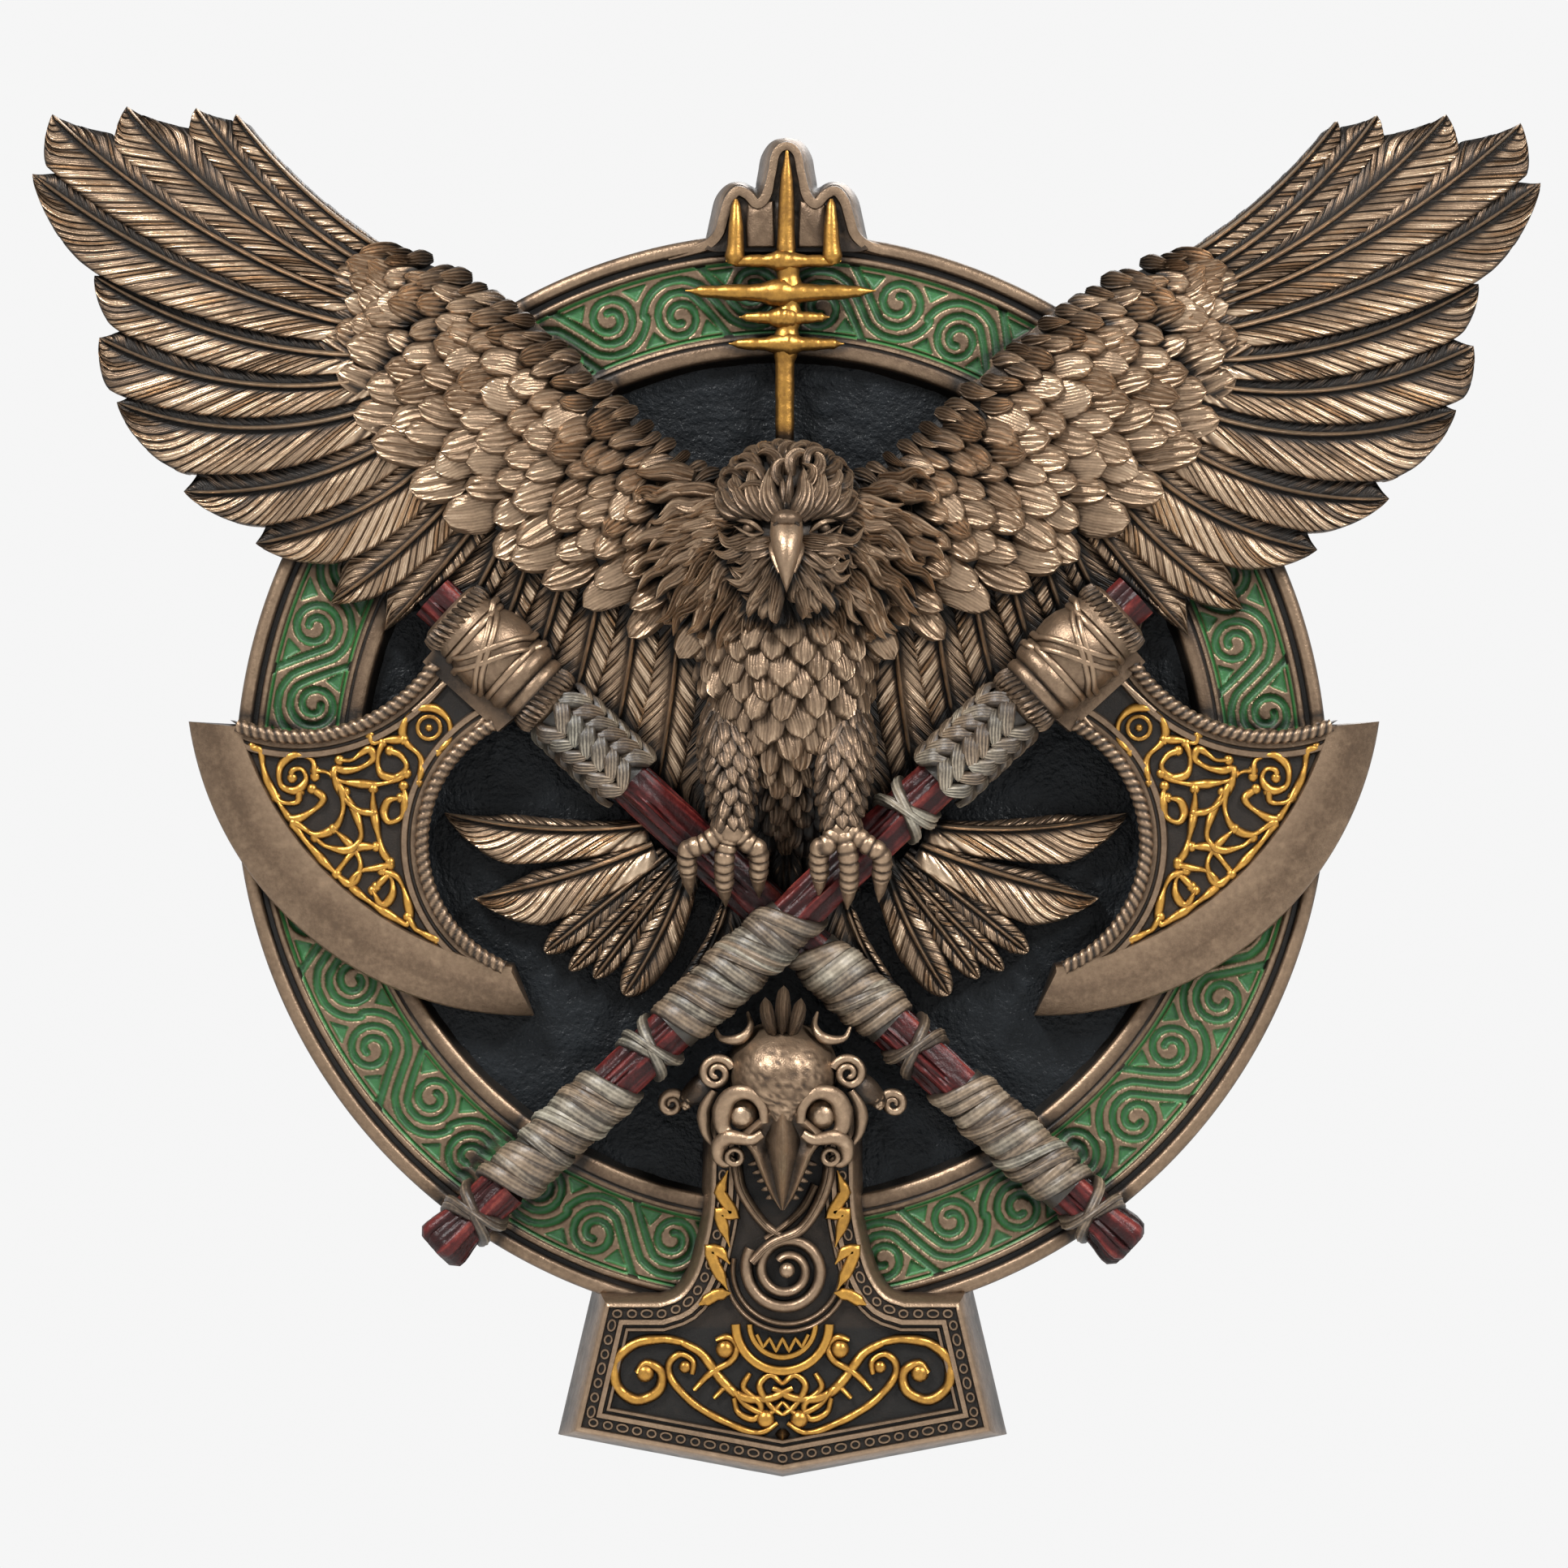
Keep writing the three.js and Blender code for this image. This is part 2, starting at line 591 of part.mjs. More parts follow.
// Eagle's body, head, legs and tail

function bodySection(z) {
  const last = BODY_SECTIONS.length - 1;
  let i = 0;
  while (i < last - 1 && BODY_SECTIONS[i + 1][0] < z) i += 1;
  const [a, b] = [BODY_SECTIONS[i], BODY_SECTIONS[i + 1]];
  const t = (z - a[0]) / (b[0] - a[0]);
  return a.map((value, k) => value + (b[k] - value) * t);
}

function bodyRing(z, lift, scallop, phase) {
  const ring = [];
  for (let k = 0; k < BODY_SIDES; k += 1) {
    const turn = (2 * Math.PI * k) / BODY_SIDES;
    const height = z + ((k + phase) % 2 === 0 ? scallop : -scallop);
    const [, halfWidth, halfDepth, centre] = bodySection(height);
    ring.push(at(
      (halfWidth + lift) * Math.cos(turn),
      height,
      Math.max(BODY_BACK, centre + (halfDepth + lift) * Math.sin(turn)),
    ));
  }
  return ring;
}

// The breast is covered by rows of scale feathers, each row lifted at its scalloped lower edge
function body() {
  const rings = [bodyRing(BODY_SECTIONS[0][0], 0, 0, 0), bodyRing(-8, 0, 0, 0)];
  const step = (BREAST_TOP - BREAST_BOTTOM) / BREAST_ROWS;
  for (let row = 0; row < BREAST_ROWS; row += 1) {
    const z = BREAST_BOTTOM + row * step;
    rings.push(bodyRing(z - 0.2, 0, BREAST_SCALLOP, row), bodyRing(z, BREAST_LIFT, BREAST_SCALLOP, row));
  }
  rings.push(bodyRing(BREAST_TOP + step, 0, 0, 0), bodyRing(60, 0, 0, 0));
  return loft(rings);
}

function mane() {
  const tufts = [];
  for (const side of [-1, 1]) {
    for (let i = 0; i < MANE_TUFTS; i += 1) {
      const share = i / (MANE_TUFTS - 1);
      const turn = THREE.MathUtils.degToRad(MANE_FIRST_DEG + (MANE_LAST_DEG - MANE_FIRST_DEG) * share);
      const reach = MANE_REACH - MANE_SHORTER_BELOW * (i / MANE_TUFTS);
      const [dirX, dirZ] = [side * Math.cos(turn), Math.sin(turn)];
      const place = (along, across, d) => at(
        along * dirX - across * dirZ,
        MANE_Z + along * dirZ + across * dirX,
        d,
      );
      const middle = 0.55 * reach;
      tufts.push(hull([
        place(MANE_INNER, 0, MANE_DEPTHS.root),
        place(middle, MANE_HALF_WIDTH, MANE_DEPTHS.middle),
        place(middle, -MANE_HALF_WIDTH, MANE_DEPTHS.middle),
        place(reach, 0, MANE_DEPTHS.tip),
        place(MANE_INNER, 0, MANE_DEPTHS.back),
      ]));
    }
  }
  return tufts;
}

function head() {
  const pieces = [ball(0, HEAD.z, HEAD.d, HEAD.halfWidth, HEAD.halfHeight, HEAD.halfDepth, 8, 6)];
  for (const side of [-1, 1]) {
    pieces.push(bar(BROW.map(([x, z, d, radius]) => [side * x, z, d, radius]), 4));
    pieces.push(ball(side * EYE.x, EYE.z, EYE.d, EYE.halfWidth, EYE.halfHeight, EYE.halfDepth, 5, 3));
  }
  pieces.push(loft(BEAK_SECTIONS.map(([z, half, back, front]) => {
    const middle = (back + front) / 2;
    return [
      at(0, z + 1, back), at(-half, z + 0.5, middle), at(-half * 0.6, z - 0.5, front - 1),
      at(0, z - 1, front), at(half * 0.6, z - 0.5, front - 1), at(half, z + 0.5, middle),
    ];
  })));
  for (const degrees of CREST_ANGLES) {
    const turn = THREE.MathUtils.degToRad(degrees);
    const [dirX, dirZ] = [Math.cos(turn), Math.sin(turn)];
    const [x, z] = [CREST.reachX * dirX, CREST.z + CREST.reachZ * dirZ];
    pieces.push(shingle(x, z, CREST.d, dirX, dirZ, CREST.length, CREST.width, CREST.lift));
  }
  return pieces;
}

function leg() {
  const pieces = [bar(LEG, 6)];
  const ankle = LEG[LEG.length - 1];
  for (const [x, z] of TOES) {
    const grip = LEFT_FOOT_DEPTH;
    const middleX = (ankle[0] + x) / 2 + (x - ankle[0]) * 0.3;
    const middleZ = ankle[1] + (z - ankle[1]) * 0.4;
    pieces.push(bar([
      [ankle[0], ankle[1] + 1, ankle[2] - 1, TOE_RADIUS * 1.1],
      [middleX, middleZ, grip + TOE_ARCH + 3, TOE_RADIUS * 1.15],
      [x, z + 3, grip + TOE_ARCH, TOE_RADIUS],
      [x, z - 4, grip - 4, TOE_RADIUS * 0.3],
    ], 4));
  }
  return joined(pieces);
}

function legs() {
  const left = leg();
  const right = mirrored(left, 0).warp((p) => {
    if (p[2] < -2) p[1] -= Math.min(RIGHT_FOOT_LIFT, (-2 - p[2]) * 0.5);
  });
  return [left, right];
}

function tail() {
  const feathers = [];
  for (const [rx, rz, tx, tz, sag, width] of TAIL) {
    const left = feather([rx, rz], [tx, tz], sag, width, FIELD_DEPTH - 2, TAIL_DEPTH + 3, TAIL_DEPTH);
    feathers.push(left, mirrored(left, 0));
  }
  return feathers;
}

function eagle() {
  const pieces = [body(), ...mane(), ...head(), ...legs(), ...tail()];
  return joined(pieces).translate([EAGLE_X, 0, 0]);
}

// Axes

// Handle with vertical side walls below its round front, so that it grows out of the shield
function handle(depth) {
  const [ax, az] = HANDLE_HEAD_END;
  const [bx, bz] = HANDLE_LOW_END;
  const length = Math.hypot(bx - ax, bz - az);
  const [dirX, dirZ] = [(bx - ax) / length, (bz - az) / length];
  const rings = HANDLE_STEPS.map(([along, radius]) => {
    const x = ax + dirX * along;
    const z = az + dirZ * along;
    const place = (across, d) => at(x - dirZ * across * radius, z + dirX * across * radius, d);
    const front = HANDLE_SECTION.map(([across, outward]) => place(across, depth + outward * radius));
    return [place(-1, HANDLE_FOOT), ...front, place(1, HANDLE_FOOT)];
  });
  return loft(rings);
}

function bladeOutline(outerArc) {
  return [...arcPoints(outerArc, EDGE_STEPS), ...arcPoints(INNER_ARC), ...arcPoints(UPPER_ARC)];
}

function blade() {
  const edge = bladeOutline(EDGE_ARC);
  const face = bladeOutline(BEVEL_ARC);
  const slab = loft([
    edge.map(([x, z]) => at(x, z, BLADE_BACK)),
    edge.map(([x, z]) => at(x, z, BLADE_EDGE_DEPTH)),
    face.map(([x, z]) => at(x, z, BLADE_FACE_DEPTH)),
  ]);
  const panel = PANEL_ARCS.flatMap((arc) => arcPoints(arc));
  const cut = prism(panel, BLADE_FACE_DEPTH - PANEL_SINK, BLADE_FACE_DEPTH + 5);
  const ropes = [INNER_ARC, UPPER_ARC].map((arc) => (
    rib(arcPoints(arc, 6), ROPE_WIDTH, BLADE_FACE_DEPTH - 1, BLADE_FACE_DEPTH + ROPE_RISE)
  ));
  const lug = prism(LUG, BLADE_BACK, BLADE_FACE_DEPTH + LUG_RISE);
  return joined([slab.subtract(cut), ...ropes, lug, ...bladeKnot()]);
}

// Raised interlace on the sunk panel: two spirals joined by looping strands
function bladeKnot() {
  const back = BLADE_FACE_DEPTH - PANEL_SINK - 0.4;
  const front = BLADE_FACE_DEPTH + 0.2;
  const spirals = KNOT_SPIRALS.map(([x, z, startDeg]) => spiralPath(x, z, 4.6, 1, startDeg, 1.1, 6));
  return [...spirals, ...KNOT_STRANDS].map((path) => rib(path, KNOT_WIDTH, back, front));
}

function axe(depth) {
  return handle(depth).add(blade());
}

function axes() {
  const back = axe(BACK_HANDLE_DEPTH);
  const front = mirrored(axe(FRONT_HANDLE_DEPTH), 0);
  return back.add(front).translate([AXES_X, 0, 0]);
}

// Hammer pendant

function mirroredOutline(half) {
  const onAxis = half.filter(([x]) => x === 0);
  const right = half.filter(([x]) => x !== 0);
  const left = right.map(([x, z]) => [-x, z]).reverse();
  return [...right, ...onAxis, ...left];
}

function widened(outline, by, centre) {
  return outline.map(([x, z]) => {
    const away = Math.hypot(x - centre[0], z - centre[1]);
    return [x + ((x - centre[0]) / away) * by, z + ((z - centre[1]) / away) * by];
  });
}

function hammer() {
  const face = mirroredOutline(HAMMER_HALF);
  const foot = widened(face, HAMMER_DRAFT, [0, -112]);
  const blank = prism(foot, 0, HAMMER_FACE, face);
  const panel = prism(HAMMER_PANEL, HAMMER_FACE - HAMMER_SINK, HAMMER_FACE + 5);
  const low = HAMMER_FACE - HAMMER_SINK - 0.4;
  const pieces = [blank.subtract(panel)];
  const { x, z, radius, endRadius, startDeg, turns } = SCROLL;
  const scroll = spiralPath(x, z, radius, endRadius, startDeg, turns, 8);
  for (const side of [-1, 1]) {
    const onSide = (path) => path.map(([px, pz]) => [side * px, pz]);
    pieces.push(rib(onSide(scroll), SCROLL_WIDTH, low, HAMMER_FACE + SCROLL_RISE));
    pieces.push(rib(onSide(STEM), SCROLL_WIDTH, low, HAMMER_FACE + SCROLL_RISE));
    pieces.push(rib(onSide(BOLT), BOLT_WIDTH, low, HAMMER_FACE + BOLT_RISE));
  }
  const halfRing = spiralPath(0, HALF_RING.z, HALF_RING.radius, HALF_RING.radius, 180, 0.5, 6);
  pieces.push(rib(halfRing, HALF_RING.width, low, HAMMER_FACE + HALF_RING.rise));
  return pieces;
}

function skullHull(points, side = 1) {
  return hull(points.map(([x, z, d]) => at(side * x, SKULL_Z + z, SKULL_D + d)));
}

function earCurl(side) {
  const { x, z, d, radius, halfDepth } = EAR_CURL;
  return ball(side * x, SKULL_Z + z, SKULL_D + d, radius, radius, halfDepth, 6, 4);
}

function skullSide(side) {
  const eyeX = side * EYE_SOCKET.x;
  const eyeZ = SKULL_Z + EYE_SOCKET.z;
  const { radius } = EYE_SOCKET;
  const strap = STRAP.map(([x, z]) => [side * x, z]);
  return [
    ball(eyeX, eyeZ, SKULL_D + EYE_SOCKET.d, radius, radius, EYE_SOCKET.halfDepth, 6, 4),
    ball(eyeX, eyeZ, SKULL_D + EYEBALL.d, EYEBALL.radius, EYEBALL.radius, EYEBALL.radius, 5, 4),
    skullHull(SKULL_EAR, side),
    earCurl(side),
    rib(strap, STRAP_WIDTH, HAMMER_FACE - 1, HAMMER_FACE + 2.6),
  ];
}

function skull() {
  const { halfWidth, halfHeight, halfDepth, sunk } = FOREHEAD;
  const { x, z, radius, frontRadius } = BOSS;
  const roll = spiralPath(x, z, BIG_SPIRAL.radius, BIG_SPIRAL.endRadius, BIG_SPIRAL.startDeg, BIG_SPIRAL.turns, 10);
  return [
    ball(0, SKULL_Z, SKULL_D - sunk, halfWidth, halfHeight, halfDepth, 8, 6),
    skullHull(SKULL_BEAK),
    skullHull(SKULL_TUFT),
    ...skullSide(-1),
    ...skullSide(1),
    bar([[x, z, HAMMER_FACE - 2, radius], [x, z, HAMMER_FACE + 2, frontRadius]], 12),
    rib(roll, BIG_SPIRAL.width, HAMMER_FACE + 1.6, HAMMER_FACE + 3.6),
  ];
}

function pendant() {
  return joined([...hammer(), ...skull()]).translate([HAMMER_X, 0, 0]);
}

// Spear with its backing finial

function finial() {
  const face = mirroredOutline(FINIAL_HALF);
  const foot = widened(face, FINIAL_DRAFT, [0, 108]);
  const blank = prism(foot, 0, FINIAL_FACE, face);
  const inner = widened(face, -2, [0, 108]);
  const cut = prism(inner, FINIAL_FACE - 2, FINIAL_FACE + 5);
  return blank.subtract(cut);
}

function spear() {
  const pieces = [bar(SPEAR_SHAFT.map(([z, d, radius]) => [0, z, d, radius]), 6)];
  for (const [z, half, thick, front] of SPEAR_BARS) {
    pieces.push(hull([
      at(-half, z, SPEAR_D), at(half, z, SPEAR_D), at(0, z - thick, SPEAR_D), at(0, z + thick, SPEAR_D),
      at(0, z, front), at(0, z, FIELD_DEPTH - 2),
    ]));
  }
  for (const side of [-1, 1]) {
    const x = side * PRONG.x;
    pieces.push(hull([
      at(x - PRONG.half, PRONG.foot, SPEAR_D - 1.5), at(x + PRONG.half, PRONG.foot, SPEAR_D - 1.5),
      at(x, PRONG.foot, SPEAR_D + 2.5), at(side * PRONG.tipX, PRONG.tip, SPEAR_D), at(x, PRONG.foot, FIELD_DEPTH),
    ]));
  }
  return joined(pieces);
}

function crest() {
  return finial().add(spear()).translate([SPEAR_X, 0, 0]);
}

// Whole plaque

function hangerCut() {
  const { z, width, height, depth } = HANGER;
  const half = width / 2;
  const low = z - height / 2;
  const high = z + height / 2;
  return prism([[-half, low], [half, low], [half, high], [-half, high]], -1, depth);
}

function plaqueMesh() {
  const relief = joined([shieldDisc(), spiralBorder(), wings(), eagle(), axes(), pendant(), crest()]);
  const { vertProperties, triVerts } = withoutPores(relief.subtract(hangerCut())).getMesh();
  const geometry = new THREE.BufferGeometry();
  geometry.setAttribute('position', new THREE.BufferAttribute(new Float32Array(vertProperties), 3));
  geometry.setIndex(new THREE.BufferAttribute(new Uint32Array(triVerts), 1));
  geometry.computeVertexNormals();
  const bronze = new THREE.MeshStandardMaterial({ color: 0x96785a, roughness: 0.42, metalness: 0.85 });
  const mesh = new THREE.Mesh(geometry, bronze);
  mesh.name = 'plaque';
  return mesh;
}

const plaque = new THREE.Group();
plaque.add(plaqueMesh());
export default plaque;
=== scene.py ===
# Wall plaque: the visible surface of a round shield with an eagle, two axes, a spear and a hammer pendant.
# Every point is (x, z, d) in millimetres: x to the right, z up, d in front of the wall. It is turned into
# the frame's metres only when a mesh is made.

import math

import bpy
import numpy as np
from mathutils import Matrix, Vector


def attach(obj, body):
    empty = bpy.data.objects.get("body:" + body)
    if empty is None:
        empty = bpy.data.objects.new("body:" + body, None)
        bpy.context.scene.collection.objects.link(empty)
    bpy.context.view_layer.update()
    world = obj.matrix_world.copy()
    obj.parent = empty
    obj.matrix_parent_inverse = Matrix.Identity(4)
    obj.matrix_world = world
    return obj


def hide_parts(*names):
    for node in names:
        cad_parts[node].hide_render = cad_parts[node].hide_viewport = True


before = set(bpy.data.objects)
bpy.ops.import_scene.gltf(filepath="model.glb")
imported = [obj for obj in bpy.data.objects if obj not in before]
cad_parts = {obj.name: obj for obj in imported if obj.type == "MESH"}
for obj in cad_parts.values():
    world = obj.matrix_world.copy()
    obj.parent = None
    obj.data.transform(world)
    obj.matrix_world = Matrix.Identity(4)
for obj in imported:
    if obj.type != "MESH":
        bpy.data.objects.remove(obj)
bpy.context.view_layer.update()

MM = 0.001

# Shield disc
FIELD_DEPTH = 12.0
GROUND_DEPTH = 14.4
GROUND_OUTER = 104.8
GROUND_INNER = 90.1
FIELD_RADIUS = 85.2
BACK_RADIUS = 110.0
BACK_PLATE = 1.2

# Spiral border on a straight strip: clockwise along the border, and outward from its middle radius
STRIP_RADIUS = 97.4
SPIRAL_UNITS = 21
SPIRAL_FIRST_DEG = 13.8
UNIT_LENGTH = 2 * math.pi * STRIP_RADIUS / SPIRAL_UNITS
SPIRAL_A = (0.0, 1.7)
SPIRAL_B = (13.77, -1.9)
STRAND_PITCH = 2.45
STRAND_HALF = 0.8
STRAND_DEPTH = 0.95
CORNER_SINK = 0.75
EDGE_LINE_SINK = 0.5
SPIRAL_RADIUS = 5.0
OPEN_BORDER_DEG = ((0, 48), (64, 87), (104, 141), (145, 171))

# Wings
EAGLE_X = 1.0
WING_BACK = 8.0
RIGHT_WING_DROP = 0.012
ROOT_DEPTH = 24.6
TIP_DEPTH = 17.0
VANE_TUCK = 2.2
FIRST_TUCK = 0.4
BROAD_TUCK = 0.25
VANE_BELLY = 1.1
BACK_STEP = 0.35
# Long feathers: root x, z, tip x, z, notch to the next feather x, z, sag as a part of the length
PRIMARIES = (
    (-76, 103, -111, 134, -114, 132, 0.05),
    (-79, 100, -119, 135.3, -120.5, 130, 0.06),
    (-80, 97, -133, 135.6, -138, 129, 0.06),
    (-80, 94, -148, 134, -147.5, 122.5, 0.06),
    (-82, 90, -152, 122, -139.5, 102.5, 0.06),
    (-84, 85, -139.5, 101.5, -134, 90.5, 0.07),
    (-80, 81, -138.5, 89, -134, 78, 0.09),
    (-76.5, 77, -135, 76, -120, 62, 0.1),
    (-73, 72, -121.5, 58, -105, 51.5, 0.09),
    (-68, 67, -107, 47.5, -88.5, 44.5, 0.08),
    (-63, 61, -92, 35.5, -81, 38, 0.04),
    (-58, 57, -81, 30, -74, 36, 0.02),
)
SECONDARIES = (
    (-54, 54.5, -70, 25, -65, 30, 0.02),
    (-49.5, 51.5, -62, 19, -58, 24, 0.02),
    (-43, 49, -54, 14, -50, 19, 0.02),
    (-36, 46.5, -45, 9, -40, 14, 0.02),
    (-29, 44, -36, 2, -31, 7, 0.02),
    (-21, 40, -27, -6, -22, -1, 0.02),
    (-14, 35, -17, -12, -14, -4, 0.02),
)
# Feathered arm of the wing from the wrist to the breast: leading edge x, z, d and covert edge x, z, d
WING_ARM = (
    (-81, 107, 22, -88, 99, 21),
    (-66, 101, 25, -88, 84, 23),
    (-53, 94, 27, -79, 70, 24),
    (-42, 84, 28, -66, 55, 25),
    (-31, 73, 29, -50, 45, 26),
    (-21, 64, 30, -34, 36, 27),
    (-8, 57, 32, -14, 26, 29),
)
ARM_CROWN = 3.5
BED_SINK = 1.2
BED_BACK = WING_BACK - 0.3
UP = np.array([0.0, 0.0, 1.0])


# Number helpers

def smooth(edge0, edge1, x):
    t = np.clip((x - edge0) / (edge1 - edge0), 0, 1)
    return t * t * (3 - 2 * t)


def unit(v):
    v = np.asarray(v, float)
    return v / np.linalg.norm(v, axis=-1, keepdims=True)


def value_noise(x, z, cell, seed):
    table = np.random.default_rng(seed).random((64, 64))
    u, v = x / cell, z / cell
    i, j = np.floor(u).astype(int), np.floor(v).astype(int)
    fu, fv = u - i, v - j
    fu, fv = fu * fu * (3 - 2 * fu), fv * fv * (3 - 2 * fv)
    pick = lambda a, b: table[a % 64, b % 64]
    low = pick(i, j) * (1 - fu) + pick(i + 1, j) * fu
    high = pick(i, j + 1) * (1 - fu) + pick(i + 1, j + 1) * fu
    return low * (1 - fv) + high * fv


def run_length(points):
    """The distance along a line of points up to each of them."""
    steps = np.linalg.norm(np.diff(points, axis=0), axis=1)
    return np.concatenate([[0], np.cumsum(steps)])


CURVE_STEPS = 12


def curve_through(points, count):
    """A smooth line through a few points, given back as count points at even steps."""
    p = np.asarray(points, float)
    p = np.concatenate([[2 * p[0] - p[1]], p, [2 * p[-1] - p[-2]]])
    t = np.linspace(0, 1, CURVE_STEPS, endpoint=False)[:, None]
    parts = []
    for a, b, c, d in zip(p, p[1:], p[2:], p[3:]):
        parts.append(0.5 * (2 * b + (c - a) * t + (2 * a - 5 * b + 4 * c - d) * t**2
                            + (3 * b - 3 * c + d - a) * t**3))
    fine = np.concatenate(parts + [p[-2:-1]])
    length = run_length(fine)
    at = np.linspace(0, length[-1], count)
    return np.stack([np.interp(at, length, fine[:, k]) for k in range(p.shape[1])], -1)


def polar(centre, radius, degrees):
    turn = np.radians(degrees)
    return np.stack([centre[0] + radius * np.cos(turn), centre[1] + radius * np.sin(turn)], -1)


# Mesh helpers

class Shell:
    """The points and faces of one piece, with what its paint needs at each point.

    relief is 1 on a rubbed ridge and 0 in a recess, and paint picks the second colour. On the two front
    rows of coverts relief is also raised as a painted highlight.
    hollow says how much nearby height darkens the point.
    grain is the distance in mm across the fine lines of a feather or strand.
    """

    def __init__(self, name, slot):
        self.name = name
        self.slot = slot
        self.points, self.faces, self.relief, self.paint, self.hollow, self.grain = [], [], [], [], [], []
        self.count = 0

    def add(self, points, faces, relief=0.5, paint=0.0, hollow=1.0, grain=0.0):
        n = len(points)
        self.points.append(points)
        stores = ((self.relief, relief), (self.paint, paint), (self.hollow, hollow), (self.grain, grain))
        for store, value in stores:
            store.append(np.broadcast_to(np.asarray(value, float).reshape(-1), n))
        self.faces.extend((np.asarray(f) + self.count).tolist() for f in faces)
        self.count += n

    def loft(self, rings, relief=0.5, paint=0.0, hollow=1.0, grain=0.0):
        """A closed solid through rings of points, shape (rows, around, 3)."""
        rows, around = rings.shape[:2]
        points = rings.reshape(-1, 3)
        quads = grid_faces(rows, around, True)
        p = points - points.mean(0)
        a, b, c, d = (p[quads[:, k]] for k in range(4))
        volume = np.einsum("ij,ij->", a, np.cross(b, c)) + np.einsum("ij,ij->", a, np.cross(c, d))
        first, last = np.arange(around)[::-1], np.arange(around) + (rows - 1) * around
        # (x, z, d) is a left-handed triple, so a negative volume means that the faces point out
        if volume > 0:
            quads, first, last = quads[:, ::-1], first[::-1], last[::-1]
        self.add(points, [], relief, paint, hollow, grain)
        offset = self.count - len(points)
        self.faces.extend((quads + offset).tolist())
        self.faces.extend([(first + offset).tolist(), (last + offset).tolist()])


def grid_faces(rows, cols, wrap=False):
    i = np.arange(rows - 1)[:, None]
    j = np.arange(cols if wrap else cols - 1)[None, :]
    k = (j + 1) % cols
    corners = [i * cols + j, i * cols + k, (i + 1) * cols + k, (i + 1) * cols + j]
    return np.stack(corners, -1).reshape(-1, 4)


def closed(top, bottom, relief, ring_relief=0.15):
    """Rings from a grid of top points and, for each row, the two bottom points under its ends."""
    rings = np.concatenate([top, bottom[:, ::-1]], 1)
    edge = np.full((len(top), 2), ring_relief)
    return rings, np.concatenate([np.broadcast_to(relief, top.shape[:2]), edge], 1)


def sweep(shell, path, width, height, section, relief=1.0, hollow=0.6):
    """A strip along a path: section is rows of (across, up), scaled by width and height at each point."""
    path = np.asarray(path, float)
    along = unit(np.gradient(path[:, :2], axis=0))
    side = np.stack([-along[:, 1], along[:, 0], np.zeros(len(path))], -1)
    width = np.broadcast_to(width, len(path))
    height = np.broadcast_to(height, len(path))
    rings = np.stack([
        path + side * (a * width)[:, None] + UP * (b * height)[:, None] for a, b in section
    ], 1)
    tone = np.array([b for _, b in section])
    tone = np.where(tone > 0, tone, 0) * relief
    shell.loft(rings, np.broadcast_to(tone, rings.shape[:2]), 0.0, hollow)


ROUND = tuple((0.5 * math.cos(a), math.sin(a)) for a in np.radians((180, 150, 118, 90, 62, 30, 0))) + (
    (0.45, -1.2), (-0.45, -1.2))
FLAT = ((-0.5, 0), (-0.4, 0.8), (-0.25, 1), (0.25, 1), (0.4, 0.8), (0.5, 0), (0.5, -1.2), (-0.5, -1.2))


POLE_DEG = 86


def ball(shell, centre, radii, rows=10, cols=16, relief=0.8, hollow=0.6):
    """An ellipsoid with its poles up and down."""
    lat = np.radians(np.linspace(-POLE_DEG, POLE_DEG, rows))[:, None]
    lon = np.linspace(0, 2 * np.pi, cols, endpoint=False)[None, :]
    x = centre[0] + radii[0] * np.cos(lat) * np.cos(lon)
    z = centre[1] + radii[1] * np.sin(lat) + 0 * lon
    d = centre[2] + radii[2] * np.cos(lat) * np.sin(lon)
    shell.loft(np.stack([x, z, d], -1), relief, 0.0, hollow)


# Feathers

# Columns of a vane on each side of the quill: share of the width, height in front of the quill's foot
FINE = {
    "narrow": ((1.0, -1.9), (0.66, -1.0), (0.36, -0.25), (0.12, 0.1)),
    "quill": ((-1.0, 0.1), (-0.65, 1.1), (0.0, 1.5), (0.65, 1.1), (1.0, 0.1)),
    "broad": ((0.1, 0.2), (0.24, 0.34), (0.42, 0.52), (0.6, 0.6), (0.78, 0.52), (0.92, 0.3), (1.0, -0.15)),
}
LEAF = {
    "narrow": ((1.0, -0.4), (0.8, 0.25), (0.55, 0.5), (0.3, 0.4), (0.12, 0.15)),
    "quill": ((-1.0, 0.1), (-0.6, 0.9), (0.0, 1.2), (0.6, 0.9), (1.0, 0.1)),
    "broad": ((0.12, 0.15), (0.3, 0.4), (0.55, 0.5), (0.8, 0.25), (1.0, -0.4)),
}
PLAIN = {
    "narrow": ((1.0, -1.3), (0.7, -0.3), (0.3, 0.2)),
    "quill": ((-1.0, 0.35), (0.0, 0.95), (1.0, 0.35)),
    "broad": ((0.3, 0.2), (0.7, -0.3), (1.0, -1.3)),
}
QUILL_HALF = 0.66
BARB_UNEVEN = 0.55
BACK_TONE = 0.85
# Height of the rows of one barb, from its groove over its crests
BARB_ROWS = {3: (0.0, 1.0, 0.6), 7: (0.0, 0.6, 0.95, 0.7, 1.0, 0.62, 0.8)}


def side_width(t, size, narrow=False, belly=0.0, rounded=False):
    """Width of a vane from the root to the notch with its neighbour, then in to the tip."""
    at_root, at_notch, notch = size
    before = np.clip(t / notch, 0, 1)
    fall = np.clip((t - notch) / (1 - notch), 0, 1)
    w = at_root + (at_notch - at_root) * before + belly * np.sin(np.pi * before) ** 0.7
    if rounded:
        return w * np.sqrt(1 - fall**2.2) + 0.03
    if narrow:
        return w * (1 - fall) ** 1.25 + 0.03
    return w * np.maximum(1 - fall**1.5, 0) ** 0.85 + 0.03


